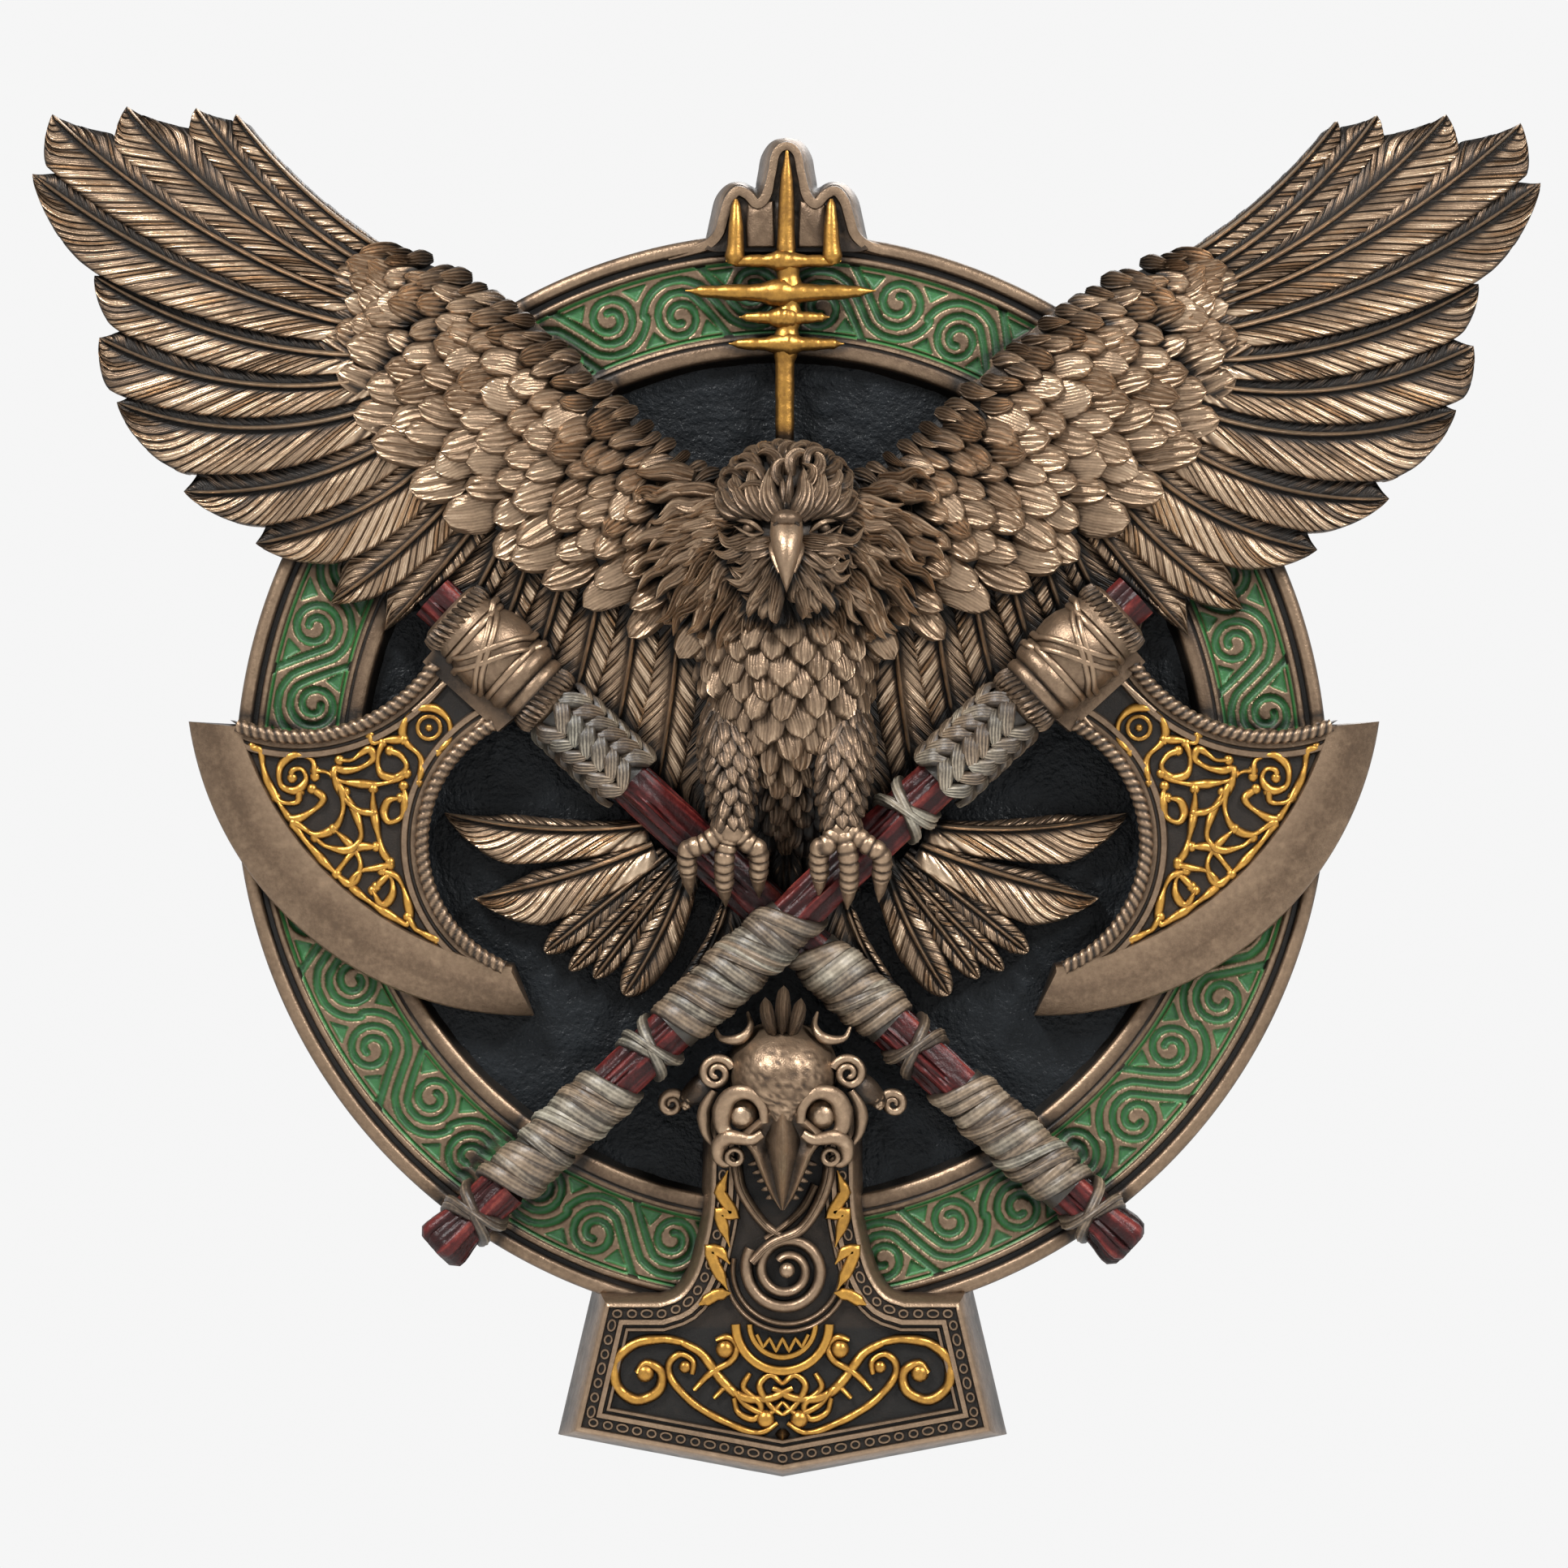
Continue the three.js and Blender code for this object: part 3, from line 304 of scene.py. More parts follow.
def feather(shell, root, tip, sag, narrow, broad, under, *, barb=2.2, depth=0.45, shear=1.25, seed=0,
            rows_per_barb=7, columns=FINE, belly=0.0, rounded=False):
    """One feather that faces the viewer, with a flat back at the depth under.

    narrow and broad give the width on either side of the quill: at the root, at the notch, and where the
    notch is. barb is the pitch of its grooves, depth their height and shear their slant.
    """
    rng = np.random.default_rng(seed)
    root, tip = np.asarray(root, float), np.asarray(tip, float)
    length = np.linalg.norm(tip - root)
    along = (tip - root) / length
    side = unit(np.cross(UP, along))
    normal = np.cross(along, side)
    barbs = max(3, int(round(length / barb)))
    ends = np.concatenate([[0], np.cumsum(1 + BARB_UNEVEN * rng.uniform(-1, 1, barbs))])
    ends /= ends[-1]
    part = np.arange(rows_per_barb) / rows_per_barb
    q = np.concatenate([(ends[:-1, None] + np.diff(ends)[:, None] * part).ravel(), [1.0]])
    pattern = np.concatenate([np.tile(BARB_ROWS[rows_per_barb], barbs), [0.0]])
    strength = np.repeat(rng.uniform(0.5, 1.25, barbs), rows_per_barb)
    pattern = pattern * np.concatenate([strength, [1.0]])
    ragged = np.concatenate([np.repeat(rng.uniform(-0.5, 0.35, barbs), rows_per_barb), [0.0]])
    spans = [(-1, u, h) for u, h in columns["narrow"]] + [(0, u, h) for u, h in columns["quill"]]
    spans += [(1, u, h) for u, h in columns["broad"]]
    fade = np.clip(np.minimum(q / 0.06, (1 - q) / 0.16), 0, 1)
    t_grid, across, height, ridge, lines = [], [], [], [], []
    for way, u, h in spans:
        size = narrow if way < 0 else broad
        share = abs(u) * abs(way)
        t = np.clip(q + shear * share * size[1] / length * fade, 0, 1)
        w = side_width(t, size, way < 0, 0.0 if way < 0 else belly, rounded)
        thin = np.minimum(1, side_width(t, broad) / (0.35 * broad[1] + 0.01))
        stem = QUILL_HALF * thin * (1 - 0.45 * t)
        if way == 0:
            offset = u * stem
            level = h * thin
            comb = 0 * t
        else:
            edge = ragged * 0.5 * depth if share == 1.0 else 0.0
            offset = way * (stem * 0.9 + share * np.maximum(w - stem + edge * fade, 0.0))
            comb = pattern * min(1.0, 4 * share) * (0.6 if share == 1.0 else 1.0)
            level = h * np.clip(w / (0.5 * size[1] + 0.01), 0, 1) + depth * comb * thin
        t_grid.append(t)
        across.append(offset)
        height.append(level)
        tone = 0.15 + 0.8 * h if way == 0 else (0.2 + 0.8 * comb if way < 0 else 0.1 + 1.15 * comb)
        ridge.append(tone + 0 * t)
        lines.append(q * length if way else 0 * q)
    t = np.stack(t_grid, 1)
    across, height, ridge = (np.stack(v, 1) for v in (across, height, ridge))
    bow = 4 * sag * length * t * (1 - t)
    slope = 4 * sag * (1 - 2 * t)
    turn = 1 / np.sqrt(1 + slope**2)
    top = root + along * (t * length)[..., None] + side * bow[..., None]
    top = top + (side * turn[..., None] - along * (slope * turn)[..., None]) * across[..., None]
    top = top + normal * height[..., None]
    low = top[:, [0, -1]].copy()
    low[..., 2] = under
    rings, tone = closed(top, low, np.clip(ridge, 0, 1.35), BACK_TONE)
    grain = np.concatenate([np.stack(lines, 1), np.zeros((len(q), 2))], 1)
    shell.loft(rings, tone, grain=grain)


# Wings

def long_feathers(shell):
    fan = PRIMARIES + SECONDARIES
    first = fan[0]
    above = (0, 0, 0, 0, first[2] + 2.2, first[3] - 2.0, first[6])
    for i, own in enumerate(fan):
        before = fan[i - 1] if i else above
        after = fan[min(i + 1, len(fan) - 1)]
        rx, rz, tx, tz, nx, nz, sag = own
        root, tip = np.array([rx, rz]), np.array([tx, tz])
        length = np.hypot(*(tip - root))
        along = (tip - root) / length
        side = np.array([-along[1], along[0]])

        def reach(notch, root_gap, extra):
            place = float(np.clip((notch - root) @ along / length, 0.35, 0.93))
            away = abs((notch - root) @ side - 4 * sag * length * place * (1 - place))
            return (root_gap + extra, away + extra, place)

        upper_root = math.hypot(before[0] - rx, before[1] - rz) / 2 if i else 1.0
        lower_root = math.hypot(after[0] - rx, after[1] - rz) / 2
        tuck = VANE_TUCK if i else FIRST_TUCK
        narrow = reach(np.array(before[4:6]), upper_root, tuck)
        broad = reach(np.array([nx, nz]), lower_root, BROAD_TUCK)
        feather(
            shell, (rx, rz, ROOT_DEPTH), (tx, tz, TIP_DEPTH), sag, narrow, broad,
            WING_BACK + BACK_STEP * (i % 3), seed=i, belly=VANE_BELLY,
        )


def arm_point(s, r):
    scaled = np.clip(s, 0, 0.9999) * (len(WING_ARM) - 1)
    i = int(scaled)
    a, b = np.array(WING_ARM[i], float), np.array(WING_ARM[i + 1], float)
    mix = a + (b - a) * (scaled - i)
    point = mix[:3] + (mix[3:] - mix[:3]) * r
    point[2] += ARM_CROWN * 4 * r * (1 - r)
    return point


def arm_bed(shell):
    rows = []
    for s in np.linspace(0, 1, 31):
        top = np.array([arm_point(s, r) for r in np.linspace(0, 1, 13)])
        top[:, 2] -= BED_SINK
        ends = top[[-1, 0]].copy()
        ends[:, 2] = BED_BACK
        rows.append(np.concatenate([top, ends]))
    tone = np.array([0.1] * 13 + [BACK_TONE] * 2)
    shell.loft(np.array(rows), np.broadcast_to(tone, (31, 15)))


def arm_normal(s, r):
    e = 0.02
    ds = arm_point(min(s + e, 1), r) - arm_point(max(s - e, 0), r)
    dr = arm_point(s, min(r + e, 1)) - arm_point(s, max(r - e, 0))
    n = unit(np.cross(ds, dr))
    return n if n[2] > 0 else -n


COVERT_ROWS = 7
FRONT_ROW_COVERTS = 23
FEWER_COVERTS = 9


def coverts(shell):
    """Rows of short overlapping feathers: those by the long feathers first, the smallest ones last."""
    rng = np.random.default_rng(5)
    for row in range(COVERT_ROWS, -1, -1):
        share = row / COVERT_ROWS
        columns = int(round(FRONT_ROW_COVERTS - FEWER_COVERTS * share))
        for column in range(columns + 1):
            s = (column + 0.5 * (row % 2) + 0.3 * rng.uniform(-1, 1)) / columns
            if not 0 <= s <= 1:
                continue
            r = share * 0.95 + (0.045 if row == 0 else 0.02) + 0.025 * rng.uniform(-1, 1)
            here = arm_point(s, r)
            facing = 0.75 * (1 - float(smooth(0.0, 0.35, r)))
            n = unit(arm_normal(s, r) * (1 - facing) + UP * facing)
            out = arm_point(s, min(r + 0.2, 1)) - arm_point(s, max(r - 0.2, 0))
            wrist = arm_point(max(s - 0.1, 0), r) - arm_point(min(s + 0.1, 1), r)
            flow = unit(unit(out) * (0.75 + 0.35 * s) + unit(wrist) * (1.05 - 0.55 * s))
            flow = unit(flow - n * (flow @ n))
            turn = rng.uniform(-0.24, 0.24)
            flow = unit(flow * math.cos(turn) + np.cross(n, flow) * math.sin(turn))
            long = (7.6 + 5.4 * share) * (1 - 0.22 * s) * rng.uniform(0.85, 1.15)
            wide = long * (0.6 + 0.14 * math.sin(math.pi * s)) * rng.uniform(0.85, 1.15)
            lift = (1.5 + 1.5 * share) * rng.uniform(0.7, 1.35)
            side = np.cross(n, flow) * rng.uniform(-0.7, 0.7)
            points = [here - flow * long * 0.5 - n * 1.5, here + side + n * 0.5,
                      here + flow * long * 0.5 + n * lift]
            # The two rows along the wing's leading edge get more relief and less hollow darkening: a
            # painted highlight that stands in for reflections of the lights
            edge = row < 2
            lock(
                shell, points, n + flow * 0.12, wide * (0.8 if edge else 1.0), 0.95,
                ridges=rng.integers(3, 6), count=10, blunt=row > 0, full=0.4, crown=3,
                comb_depth=rng.uniform(0.35, 0.75), hollow=0.3 if edge else 1.9,
                relief=rng.uniform(1.0, 1.4) * (1.35 if edge else 0.52),
            )


def wing_shell():
    shell = Shell("wing_left", "bronze")
    long_feathers(shell)
    arm_bed(shell)
    coverts(shell)
    return shell


def mirrored(shell, name, change=None):
    """The same shell on the other side of x = 0, with its faces turned to point out again."""
    other = Shell(name, shell.slot)
    points = np.concatenate(shell.points) * (-1, 1, 1)
    if change:
        points = change(points)
    other.points = [points]
    other.faces = [face[::-1] for face in shell.faces]
    for store in ("relief", "paint", "hollow", "grain"):
        setattr(other, store, list(getattr(shell, store)))
    other.count = shell.count
    return other


def shifted(shell, x):
    shell.points = [p + (x, 0, 0) for p in shell.points]
    return shell


def drop_right(points):
    points[:, 1] -= RIGHT_WING_DROP * np.maximum(points[:, 0], 0)
    return points


# Shield

def strand_lines():
    """The middle lines of the grooves of one unit: the wave, and the strand that rolls up in a spiral."""
    a, b = np.array(SPIRAL_A), np.array(SPIRAL_B)
    out = SPIRAL_RADIUS + STRAND_PITCH
    next_a = a + (UNIT_LENGTH, 0)
    wave = np.concatenate([
        polar(a, out, np.linspace(-90, -15, 6)),
        polar(b, out, np.linspace(165, 40, 9)),
        polar(next_a, out, np.linspace(-140, -90, 4)),
    ])
    middle = (b + next_a) / 2 - (UNIT_LENGTH, 0)
    slope = unit(polar(a, out, -140.0) - (polar(b, out, 40.0) - (UNIT_LENGTH, 0)))
    beside = np.array([-slope[1], slope[0]]) * STRAND_PITCH
    turns = np.linspace(-130, 455, 40)
    radii = SPIRAL_RADIUS - STRAND_PITCH * np.maximum(turns + 90, 0) / 360
    roll_a = np.concatenate([
        [middle + beside - slope * 9.0, middle + beside],
        polar(a, radii, turns),
    ])
    roll_b = (a + b) - roll_a
    return [curve_through(wave, 90), curve_through(roll_a, 150), curve_through(roll_b, 150)]


# Small recesses between the strands and the border beside spiral A; spiral B has them turned half round
CORNERS = (((-8.4, 6.3), (-3.3, 6.3), (-5.3, 2.9)), ((3.7, 6.3), (9.0, 6.3), (6.1, 3.2)))


def line_distance(points, line):
    a, b = line[:-1], line[1:]
    span = b - a
    rel = points[:, None, :] - a[None]
    t = np.clip(np.einsum("ijk,jk->ij", rel, span) / np.einsum("jk,jk->j", span, span), 0, 1)
    return np.sqrt((((rel - t[..., None] * span) ** 2).sum(-1)).min(1))


def triangle_inside(points, corners):
    """How far inside a triangle each point is; below zero outside."""
    c = np.asarray(corners, float)
    middle = c.mean(0)
    inside = np.full(len(points), 99.0)
    for p, q in zip(c, np.roll(c, -1, 0)):
        n = unit(np.array([q[1] - p[1], p[0] - q[0]]))
        if (middle - p) @ n < 0:
            n = -n
        inside = np.minimum(inside, (points - p) @ n)
    return inside


def unit_pattern(along, outward):
    """Depth below the ground and green paint, on a grid of one unit of the border."""
    points = np.stack(np.meshgrid(along, outward, indexing="ij"), -1).reshape(-1, 2)
    distance = np.full(len(points), 99.0)
    for line in strand_lines():
        for k in (-1, 0, 1):
            distance = np.minimum(distance, line_distance(points, line + (k * UNIT_LENGTH, 0)))
    sink = STRAND_DEPTH * np.sqrt(np.clip(1 - (distance / STRAND_HALF) ** 2, 0, 1))
    paint = smooth(STRAND_HALF + 0.02, STRAND_HALF - 0.2, distance)
    half_turn = np.array(SPIRAL_A) + np.array(SPIRAL_B)
    for corners in CORNERS:
        for turned in (np.array(corners), half_turn - np.array(corners)):
            for k in (-1, 0, 1):
                inside = triangle_inside(points, turned + (k * UNIT_LENGTH, 0))
                sink = np.maximum(sink, CORNER_SINK * smooth(-0.05, 0.4, inside))
                paint = np.maximum(paint, smooth(0, 0.22, inside))
    middle = STRIP_RADIUS
    for edge, way in ((GROUND_OUTER - middle, -1), (GROUND_INNER - middle, 1)):
        gap = np.abs(points[:, 1] - (edge + way * 0.35))
        sink = np.maximum(sink, EDGE_LINE_SINK * smooth(0.35, 0.1, gap))
        paint = np.maximum(paint, smooth(0.38, 0.2, gap))
    shape = (len(along), len(outward))
    return sink.reshape(shape), paint.reshape(shape)


FINE_COLUMNS = 92
FINE_ROWS = 50
RIM_COLUMNS = 480
COARSE_STEP = 8
RING_HOLLOW = 0.35
RIM_INNER = (
    (FIELD_RADIUS - 2.5, 0.5, 0.2), (FIELD_RADIUS - 1.5, FIELD_DEPTH - 0.6, 0.1),
    (FIELD_RADIUS, 13.2, 0.2), (FIELD_RADIUS + 0.15, 14.7, 0.5), (FIELD_RADIUS + 0.6, 15.3, 0.9),
    (FIELD_RADIUS + 1.6, 15.45, 0.8), (87.7, 15.35, 0.7), (88.2, 15.25, 0.6), (88.45, 14.9, 0.15),
    (88.75, 14.9, 0.15), (89.0, 15.2, 0.75), (89.5, 15.1, 0.8), (89.9, 14.6, 0.4), (90.3, 14.3, 0.3),
    (90.3, 0.5, 0.3),
)
RIM_OUTER = (
    (104.6, 0.5, 0.3), (104.6, 14.2, 0.3), (104.95, 14.5, 0.4), (105.15, 15.1, 0.7), (105.6, 15.3, 0.9),
    (106.2, 15.1, 0.75), (106.5, 14.3, 0.1), (107.3, 14.3, 0.1), (107.6, 15.2, 0.6), (108.1, 15.6, 0.9),
    (109.3, 15.55, 0.85), (110.0, 15.1, 0.8), (110.35, 14.2, 0.6), (110.5, 12.0, 0.55), (110.4, 6.0, 0.5),
    (110.2, 0.9, 0.45), (109.6, 0.5, 0.4),
)


def ring_body(shell, angles, radius, depth, tone, green):
    """A ring round the disc: one closed section of radius and depth for each angle."""
    x = radius * np.sin(angles)[:, None]
    z = radius * np.cos(angles)[:, None]
    points = np.stack([x, z, np.broadcast_to(depth, x.shape)], -1)
    n, around = x.shape
    here = np.arange(around)
    following = (here + 1) % around
    end = (n - 1) * around
    last = np.stack([here + end, following + end, following, here], -1)
    faces = np.concatenate([grid_faces(n, around, True), last])
    tone, green = np.broadcast_to(tone, x.shape), np.broadcast_to(green, x.shape)
    shell.add(points.reshape(-1, 3), faces.tolist(), tone, green, RING_HOLLOW)


def rim_shell():
    shell = Shell("shield_rim", "bronze")
    angles = np.linspace(0, 2 * np.pi, RIM_COLUMNS, endpoint=False)
    for profile in (RIM_INNER, RIM_OUTER):
        radius, depth, tone = np.array(profile).T
        ring_body(shell, angles, radius[None], depth[None], tone[None], np.zeros_like(tone)[None])
    return shell


def border_shell():
    """The ground between the bands, with the spirals sunk in it."""
    shell = Shell("shield_border", "bronze")
    outward = np.linspace(GROUND_INNER - 0.2, GROUND_OUTER + 0.2, FINE_ROWS) - STRIP_RADIUS
    along = np.arange(FINE_COLUMNS) / FINE_COLUMNS * UNIT_LENGTH
    sink, paint = unit_pattern(along, outward)
    angles, picks = [], []
    for k in range(SPIRAL_UNITS):
        for c in range(FINE_COLUMNS):
            degrees = SPIRAL_FIRST_DEG + 360 * (k + c / FINE_COLUMNS) / SPIRAL_UNITS
            away = abs((degrees + 540) % 360 - 180)
            fine = any(low <= away <= high for low, high in OPEN_BORDER_DEG)
            if fine or c % COARSE_STEP == 0:
                angles.append(math.radians(degrees))
                picks.append(c)
    angles, picks = np.array(angles), np.array(picks)
    n = len(angles)
    ends = np.full((n, 1), 1.0)
    radius = np.concatenate([[outward[0] + STRIP_RADIUS], outward + STRIP_RADIUS,
                             [outward[-1] + STRIP_RADIUS]])
    depth = np.concatenate([ends, GROUND_DEPTH - sink[picks] + 0.25, ends], 1)
    tone = np.concatenate([ends * 0.3, 0.85 - 0.5 * sink[picks] / STRAND_DEPTH, ends * 0.3], 1)
    green = np.concatenate([ends * 0, paint[picks], ends * 0], 1)
    ring_body(shell, angles, radius[None], depth, tone, green)
    return shell


FIELD_COLUMNS = 300
FIELD_STEP = 0.9


def field_shell():
    """The sunk black field with its pebbled front."""
    shell = Shell("shield_field", "black_field")
    radii = np.concatenate([[0.4], np.arange(2.0, FIELD_RADIUS + 1.6, FIELD_STEP)])
    count = FIELD_COLUMNS
    turn = np.linspace(0, 2 * np.pi, count, endpoint=False)
    x = radii[:, None] * np.sin(turn)
    z = radii[:, None] * np.cos(turn)
    bumps = value_noise(x, z, 2.6, 1) * 0.5 + value_noise(x + 31, z, 1.9, 2) * 0.32
    worn = value_noise(x, z, 11, 3)
    depth = FIELD_DEPTH - 0.4 + bumps * (0.5 + 0.5 * worn)
    top = np.stack([x, z, depth], -1)
    low = np.stack([x[-1], z[-1], np.full(count, 1.0)], -1)[None]
    shell.loft(np.concatenate([top, low]), np.concatenate([bumps, np.zeros((1, count))]), 0.0, 0.5)
    return shell


HANGER = {"z": 70.0, "width": 14.0, "height": 9.0, "depth": 7.0, "wall": 1.0}


def back_shell():
    """The flat back of the shield in two halves, with the recess that it hangs by."""
    shell = Shell("shield_back", "bronze")
    turn = np.linspace(0, np.pi, 65)
    half, low = HANGER["width"] / 2, HANGER["z"] - HANGER["height"] / 2
    high = HANGER["z"] + HANGER["height"] / 2
    for side in (1, -1):
        edge = [(side * BACK_RADIUS * math.sin(t), BACK_RADIUS * math.cos(t)) for t in turn]
        slot_edge = [(0, low), (side * half, low), (side * half, high), (0, high)]
        ring = np.array([(x, z, 0.0) for x, z in edge + slot_edge])
        shell.loft(np.stack([ring, ring + (0, 0, BACK_PLATE)]), BACK_TONE, 0, 0)
    corners = ((-half, low), (half, low), (half, high), (-half, high))
    wall = HANGER["wall"]
    outer = [(x + math.copysign(wall, x), z + math.copysign(wall, z - HANGER["z"])) for x, z in corners]
    deep = HANGER["depth"]
    rings = [[(x, z, 0.3) for x, z in outer], [(x, z, 0.3) for x, z in corners],
             [(x, z, deep) for x, z in corners]]
    points = np.array(rings, float).reshape(-1, 3)
    faces = grid_faces(3, 4, True).tolist() + [[8, 9, 10, 11]]
    shell.add(points, faces, 0.3, 0, 0)
    return shell


# Tubes, combed strands and ropes

def frames(path, normal):
    """The direction, side and outward vectors at each point of a path."""
    along = unit(np.gradient(path, axis=0))
    side = unit(np.cross(np.broadcast_to(np.asarray(normal, float), path.shape), along))
    return along, side, np.cross(along, side)


def tube(shell, path, radius, sides=8, normal=UP, flat=1.0, relief=0.8, hollow=0.6):
    path = np.asarray(path, float)
    _, side, up = frames(path, normal)
    radius = np.broadcast_to(np.asarray(radius, float), len(path))
    turn = np.linspace(0, 2 * np.pi, sides, endpoint=False)
    spokes = np.cos(turn)[None, :, None] * side[:, None] + flat * np.sin(turn)[None, :, None] * up[:, None]
    rings = path[:, None] + spokes * radius[:, None, None]
    tone = relief * np.clip(0.5 + 0.5 * np.sin(turn), 0, 1)[None]
    shell.loft(rings, np.broadcast_to(tone, rings.shape[:2]), 0.0, hollow)


def lock(shell, points, normal, width, height, ridges=3, count=8, blunt=False, relief=1.0, hollow=0.6,
         full=0.5, crown=2, comb_depth=0.3):
    """A combed strand or a short feather, with grooves that run to its tip.

    crown 2 gives it a round section and 4 a flat one with rounded edges.
    """
    path = curve_through(points, count)
    _, side, up = frames(path, normal)
    t = np.linspace(0, 1, count)
    fall = (1 - t**3.4) ** 0.5 if blunt else (1 - t**1.6) ** 0.9
    half = 0.5 * width * np.minimum(1, full + 2.2 * t) * np.maximum(fall, 0) + 0.05
    u = np.linspace(-1, 1, 2 * ridges + 1)
    comb = np.arange(len(u)) % 2
    dome = np.sqrt(1 - 0.85 * np.abs(u) ** crown)
    share = (half / (0.5 * width))[:, None]
    if blunt:
        share = share**0.4
    rise = height * share * (dome + comb_depth * comb * (0.6 + 0.4 * dome))
    top = path[:, None] + side[:, None] * (u * half[:, None])[..., None] + up[:, None] * rise[..., None]
    low = top[:, [0, -1]] - up[:, None] * (height * 1.1 + 0.3)
    rub = smooth(0.25, 0.95, t)[:, None]
    shade = relief * (0.24 * dome - 0.06 + 0.18 * comb + rub * (0.32 + 0.2 * comb))
    rings, tone = closed(top, low, np.clip(np.broadcast_to(shade, rise.shape), 0, 1.25))
    grain = np.concatenate([u * half[:, None], np.zeros((count, 2))], 1)
    shell.loft(rings, tone, 0.0, hollow, grain)


def rope(shell, path, radius, pitch):
    """Two strands twisted together; path is a list of points at even steps."""
    _, side, up = frames(path, UP)
    length = run_length(path)
    turn = np.linspace(0, 2 * np.pi, 14, endpoint=False)
    wave = np.abs(np.cos(turn[None] - np.pi * length[:, None] / pitch))
    r = radius * (0.72 + 0.28 * wave**0.7)
    rings = path[:, None] + (np.cos(turn) * r)[..., None] * side[:, None]
    rings = rings + (np.sin(turn) * r)[..., None] * up[:, None]
    shell.loft(rings, 0.1 + 0.9 * wave**1.5, 0.0, 0.4)


def spiral(centre, outer, inner, first_deg, turns, count=40):
    t = np.linspace(0, 1, count)
    return polar(centre, outer + (inner - outer) * t, first_deg + 360 * turns * t)


def raised(points, depth):
    """Points of a face with a depth, or one depth each."""
    points = np.asarray(points, float)
    column = np.asarray(depth, float).reshape(-1, 1)
    return np.concatenate([points, np.broadcast_to(column, (len(points), 1))], 1)


def ribbon(shell, points, depth, width, height, count=40, taper=0.0, weave=0.0, section=ROUND):
    """A raised band along [x, z] points on a face; weave makes it dip and rise as an interlace does."""
    path = curve_through(points, count)
    length = run_length(path)
    t = np.linspace(0, 1, count)
    wide = width * (1 - taper * np.abs(2 * t - 1) ** 3)
    lift = depth + weave * np.sin(length * 1.1)
    sweep(shell, raised(path, lift), wide, height, section, 1.0, 0.4)


# Eagle's body

BODY_SECTIONS = (
    (-17, 4, 4, 15), (-8, 8, 9, 18), (4, 12, 14, 20), (16, 15.5, 18, 20), (30, 17.5, 20, 20),
    (42, 19, 18, 23), (52, 15, 14, 30), (60, 9, 9, 34),
)
BODY_BACK = 6.0


def body_point(z, degrees, lift=0.0):
    """A point of the body: 90 degrees faces the viewer, 0 and 180 the sides."""
    table = np.array(BODY_SECTIONS, float)
    half, deep, centre = (np.interp(z, table[:, 0], table[:, k]) for k in (1, 2, 3))
    turn = np.radians(degrees)
    x = (half + lift) * np.cos(turn)
    d = np.maximum(centre + (deep + lift) * np.sin(turn), BODY_BACK)
    return np.stack(np.broadcast_arrays(x, z, d), -1).astype(float)


def body_normal(z, degrees):
    across = body_point(z, degrees + 4) - body_point(z, degrees - 4)
    upward = body_point(z + 2, degrees) - body_point(z - 2, degrees)
    n = unit(np.cross(across, upward))
    middle = np.array([0, z, 20.0])
    return n if (body_point(z, degrees) - middle) @ n > 0 else -n


def leg_scale(shell, here, n, flow, long, wide):
    flow = unit(flow - n * (flow @ n))
    points = [here - flow * long * 0.5 - n * 0.8, here + n * 0.4, here + flow * long * 0.5 + n * 1.3]
    lock(shell, points, n, wide, 0.6, ridges=2, count=6, blunt=True, relief=0.95, full=0.7)


def breast(shell):
    rows = np.linspace(-14, 59, 38)
    turn = np.linspace(0, 360, 36, endpoint=False)
    shell.loft(np.array([body_point(z, turn, -0.8) for z in rows]), 0.1)
    rng = np.random.default_rng(11)
    table = np.array(BODY_SECTIONS, float)
    height, row = -13.0, 0
    while height < 42:
        share = float(smooth(-6, 12, height))
        half = np.interp(height, table[:, 0], table[:, 1])
        wide = 3.6 + 2.4 * share
        columns = max(2.0, 1.1 * half / (wide * 0.72))
        for column in np.arange(-math.floor(columns), math.floor(columns) + 1) + 0.5 * (row % 2):
            degrees = 90 + 86 * column / columns + rng.uniform(-3, 3)
            if not 4 < degrees < 176:
                continue
            z = height + rng.uniform(-0.8, 0.8)
            n = body_normal(z, degrees)
            flow = np.array([-0.25 * (degrees - 90) / 90 + rng.uniform(-0.2, 0.2), -1, 0])
            long = (4.6 + 2.6 * share) * rng.uniform(0.9, 1.15)
            flow = unit(flow - n * (flow @ n))
            here = body_point(z, degrees)
            middle = here + n * 0.9 + np.cross(n, flow) * rng.uniform(-0.5, 0.5)
            end = here + flow * long * 0.5 + n * rng.uniform(1.5, 2.9) * (0.4 + 0.6 * share)
            lock(
                shell, [here - flow * long * 0.5 - n * 1.4, middle, end], n, wide * rng.uniform(0.9, 1.2),
                0.9, ridges=rng.integers(2, 5), count=9, blunt=height < 33 or rng.random() < 0.4, full=0.6,
                crown=4, comb_depth=rng.uniform(0.3, 0.7), relief=0.6 if height < -2 else 1.15, hollow=0.9,
            )
        height += 2.4 + 1.4 * share
        row += 1


MANE_CENTRE = (0.0, 50.0)
# Distance from the centre and number of locks on each side, the outer layers first
MANE_LAYERS = ((27, 12), (24, 13), (21, 13), (18, 12), (15, 11), (12, 10), (9.5, 9))
INNER_LAYER = 5
INNER_SIZE = 0.72


def mane_depth(rho):
    return 46 - 0.62 * (rho - 9)


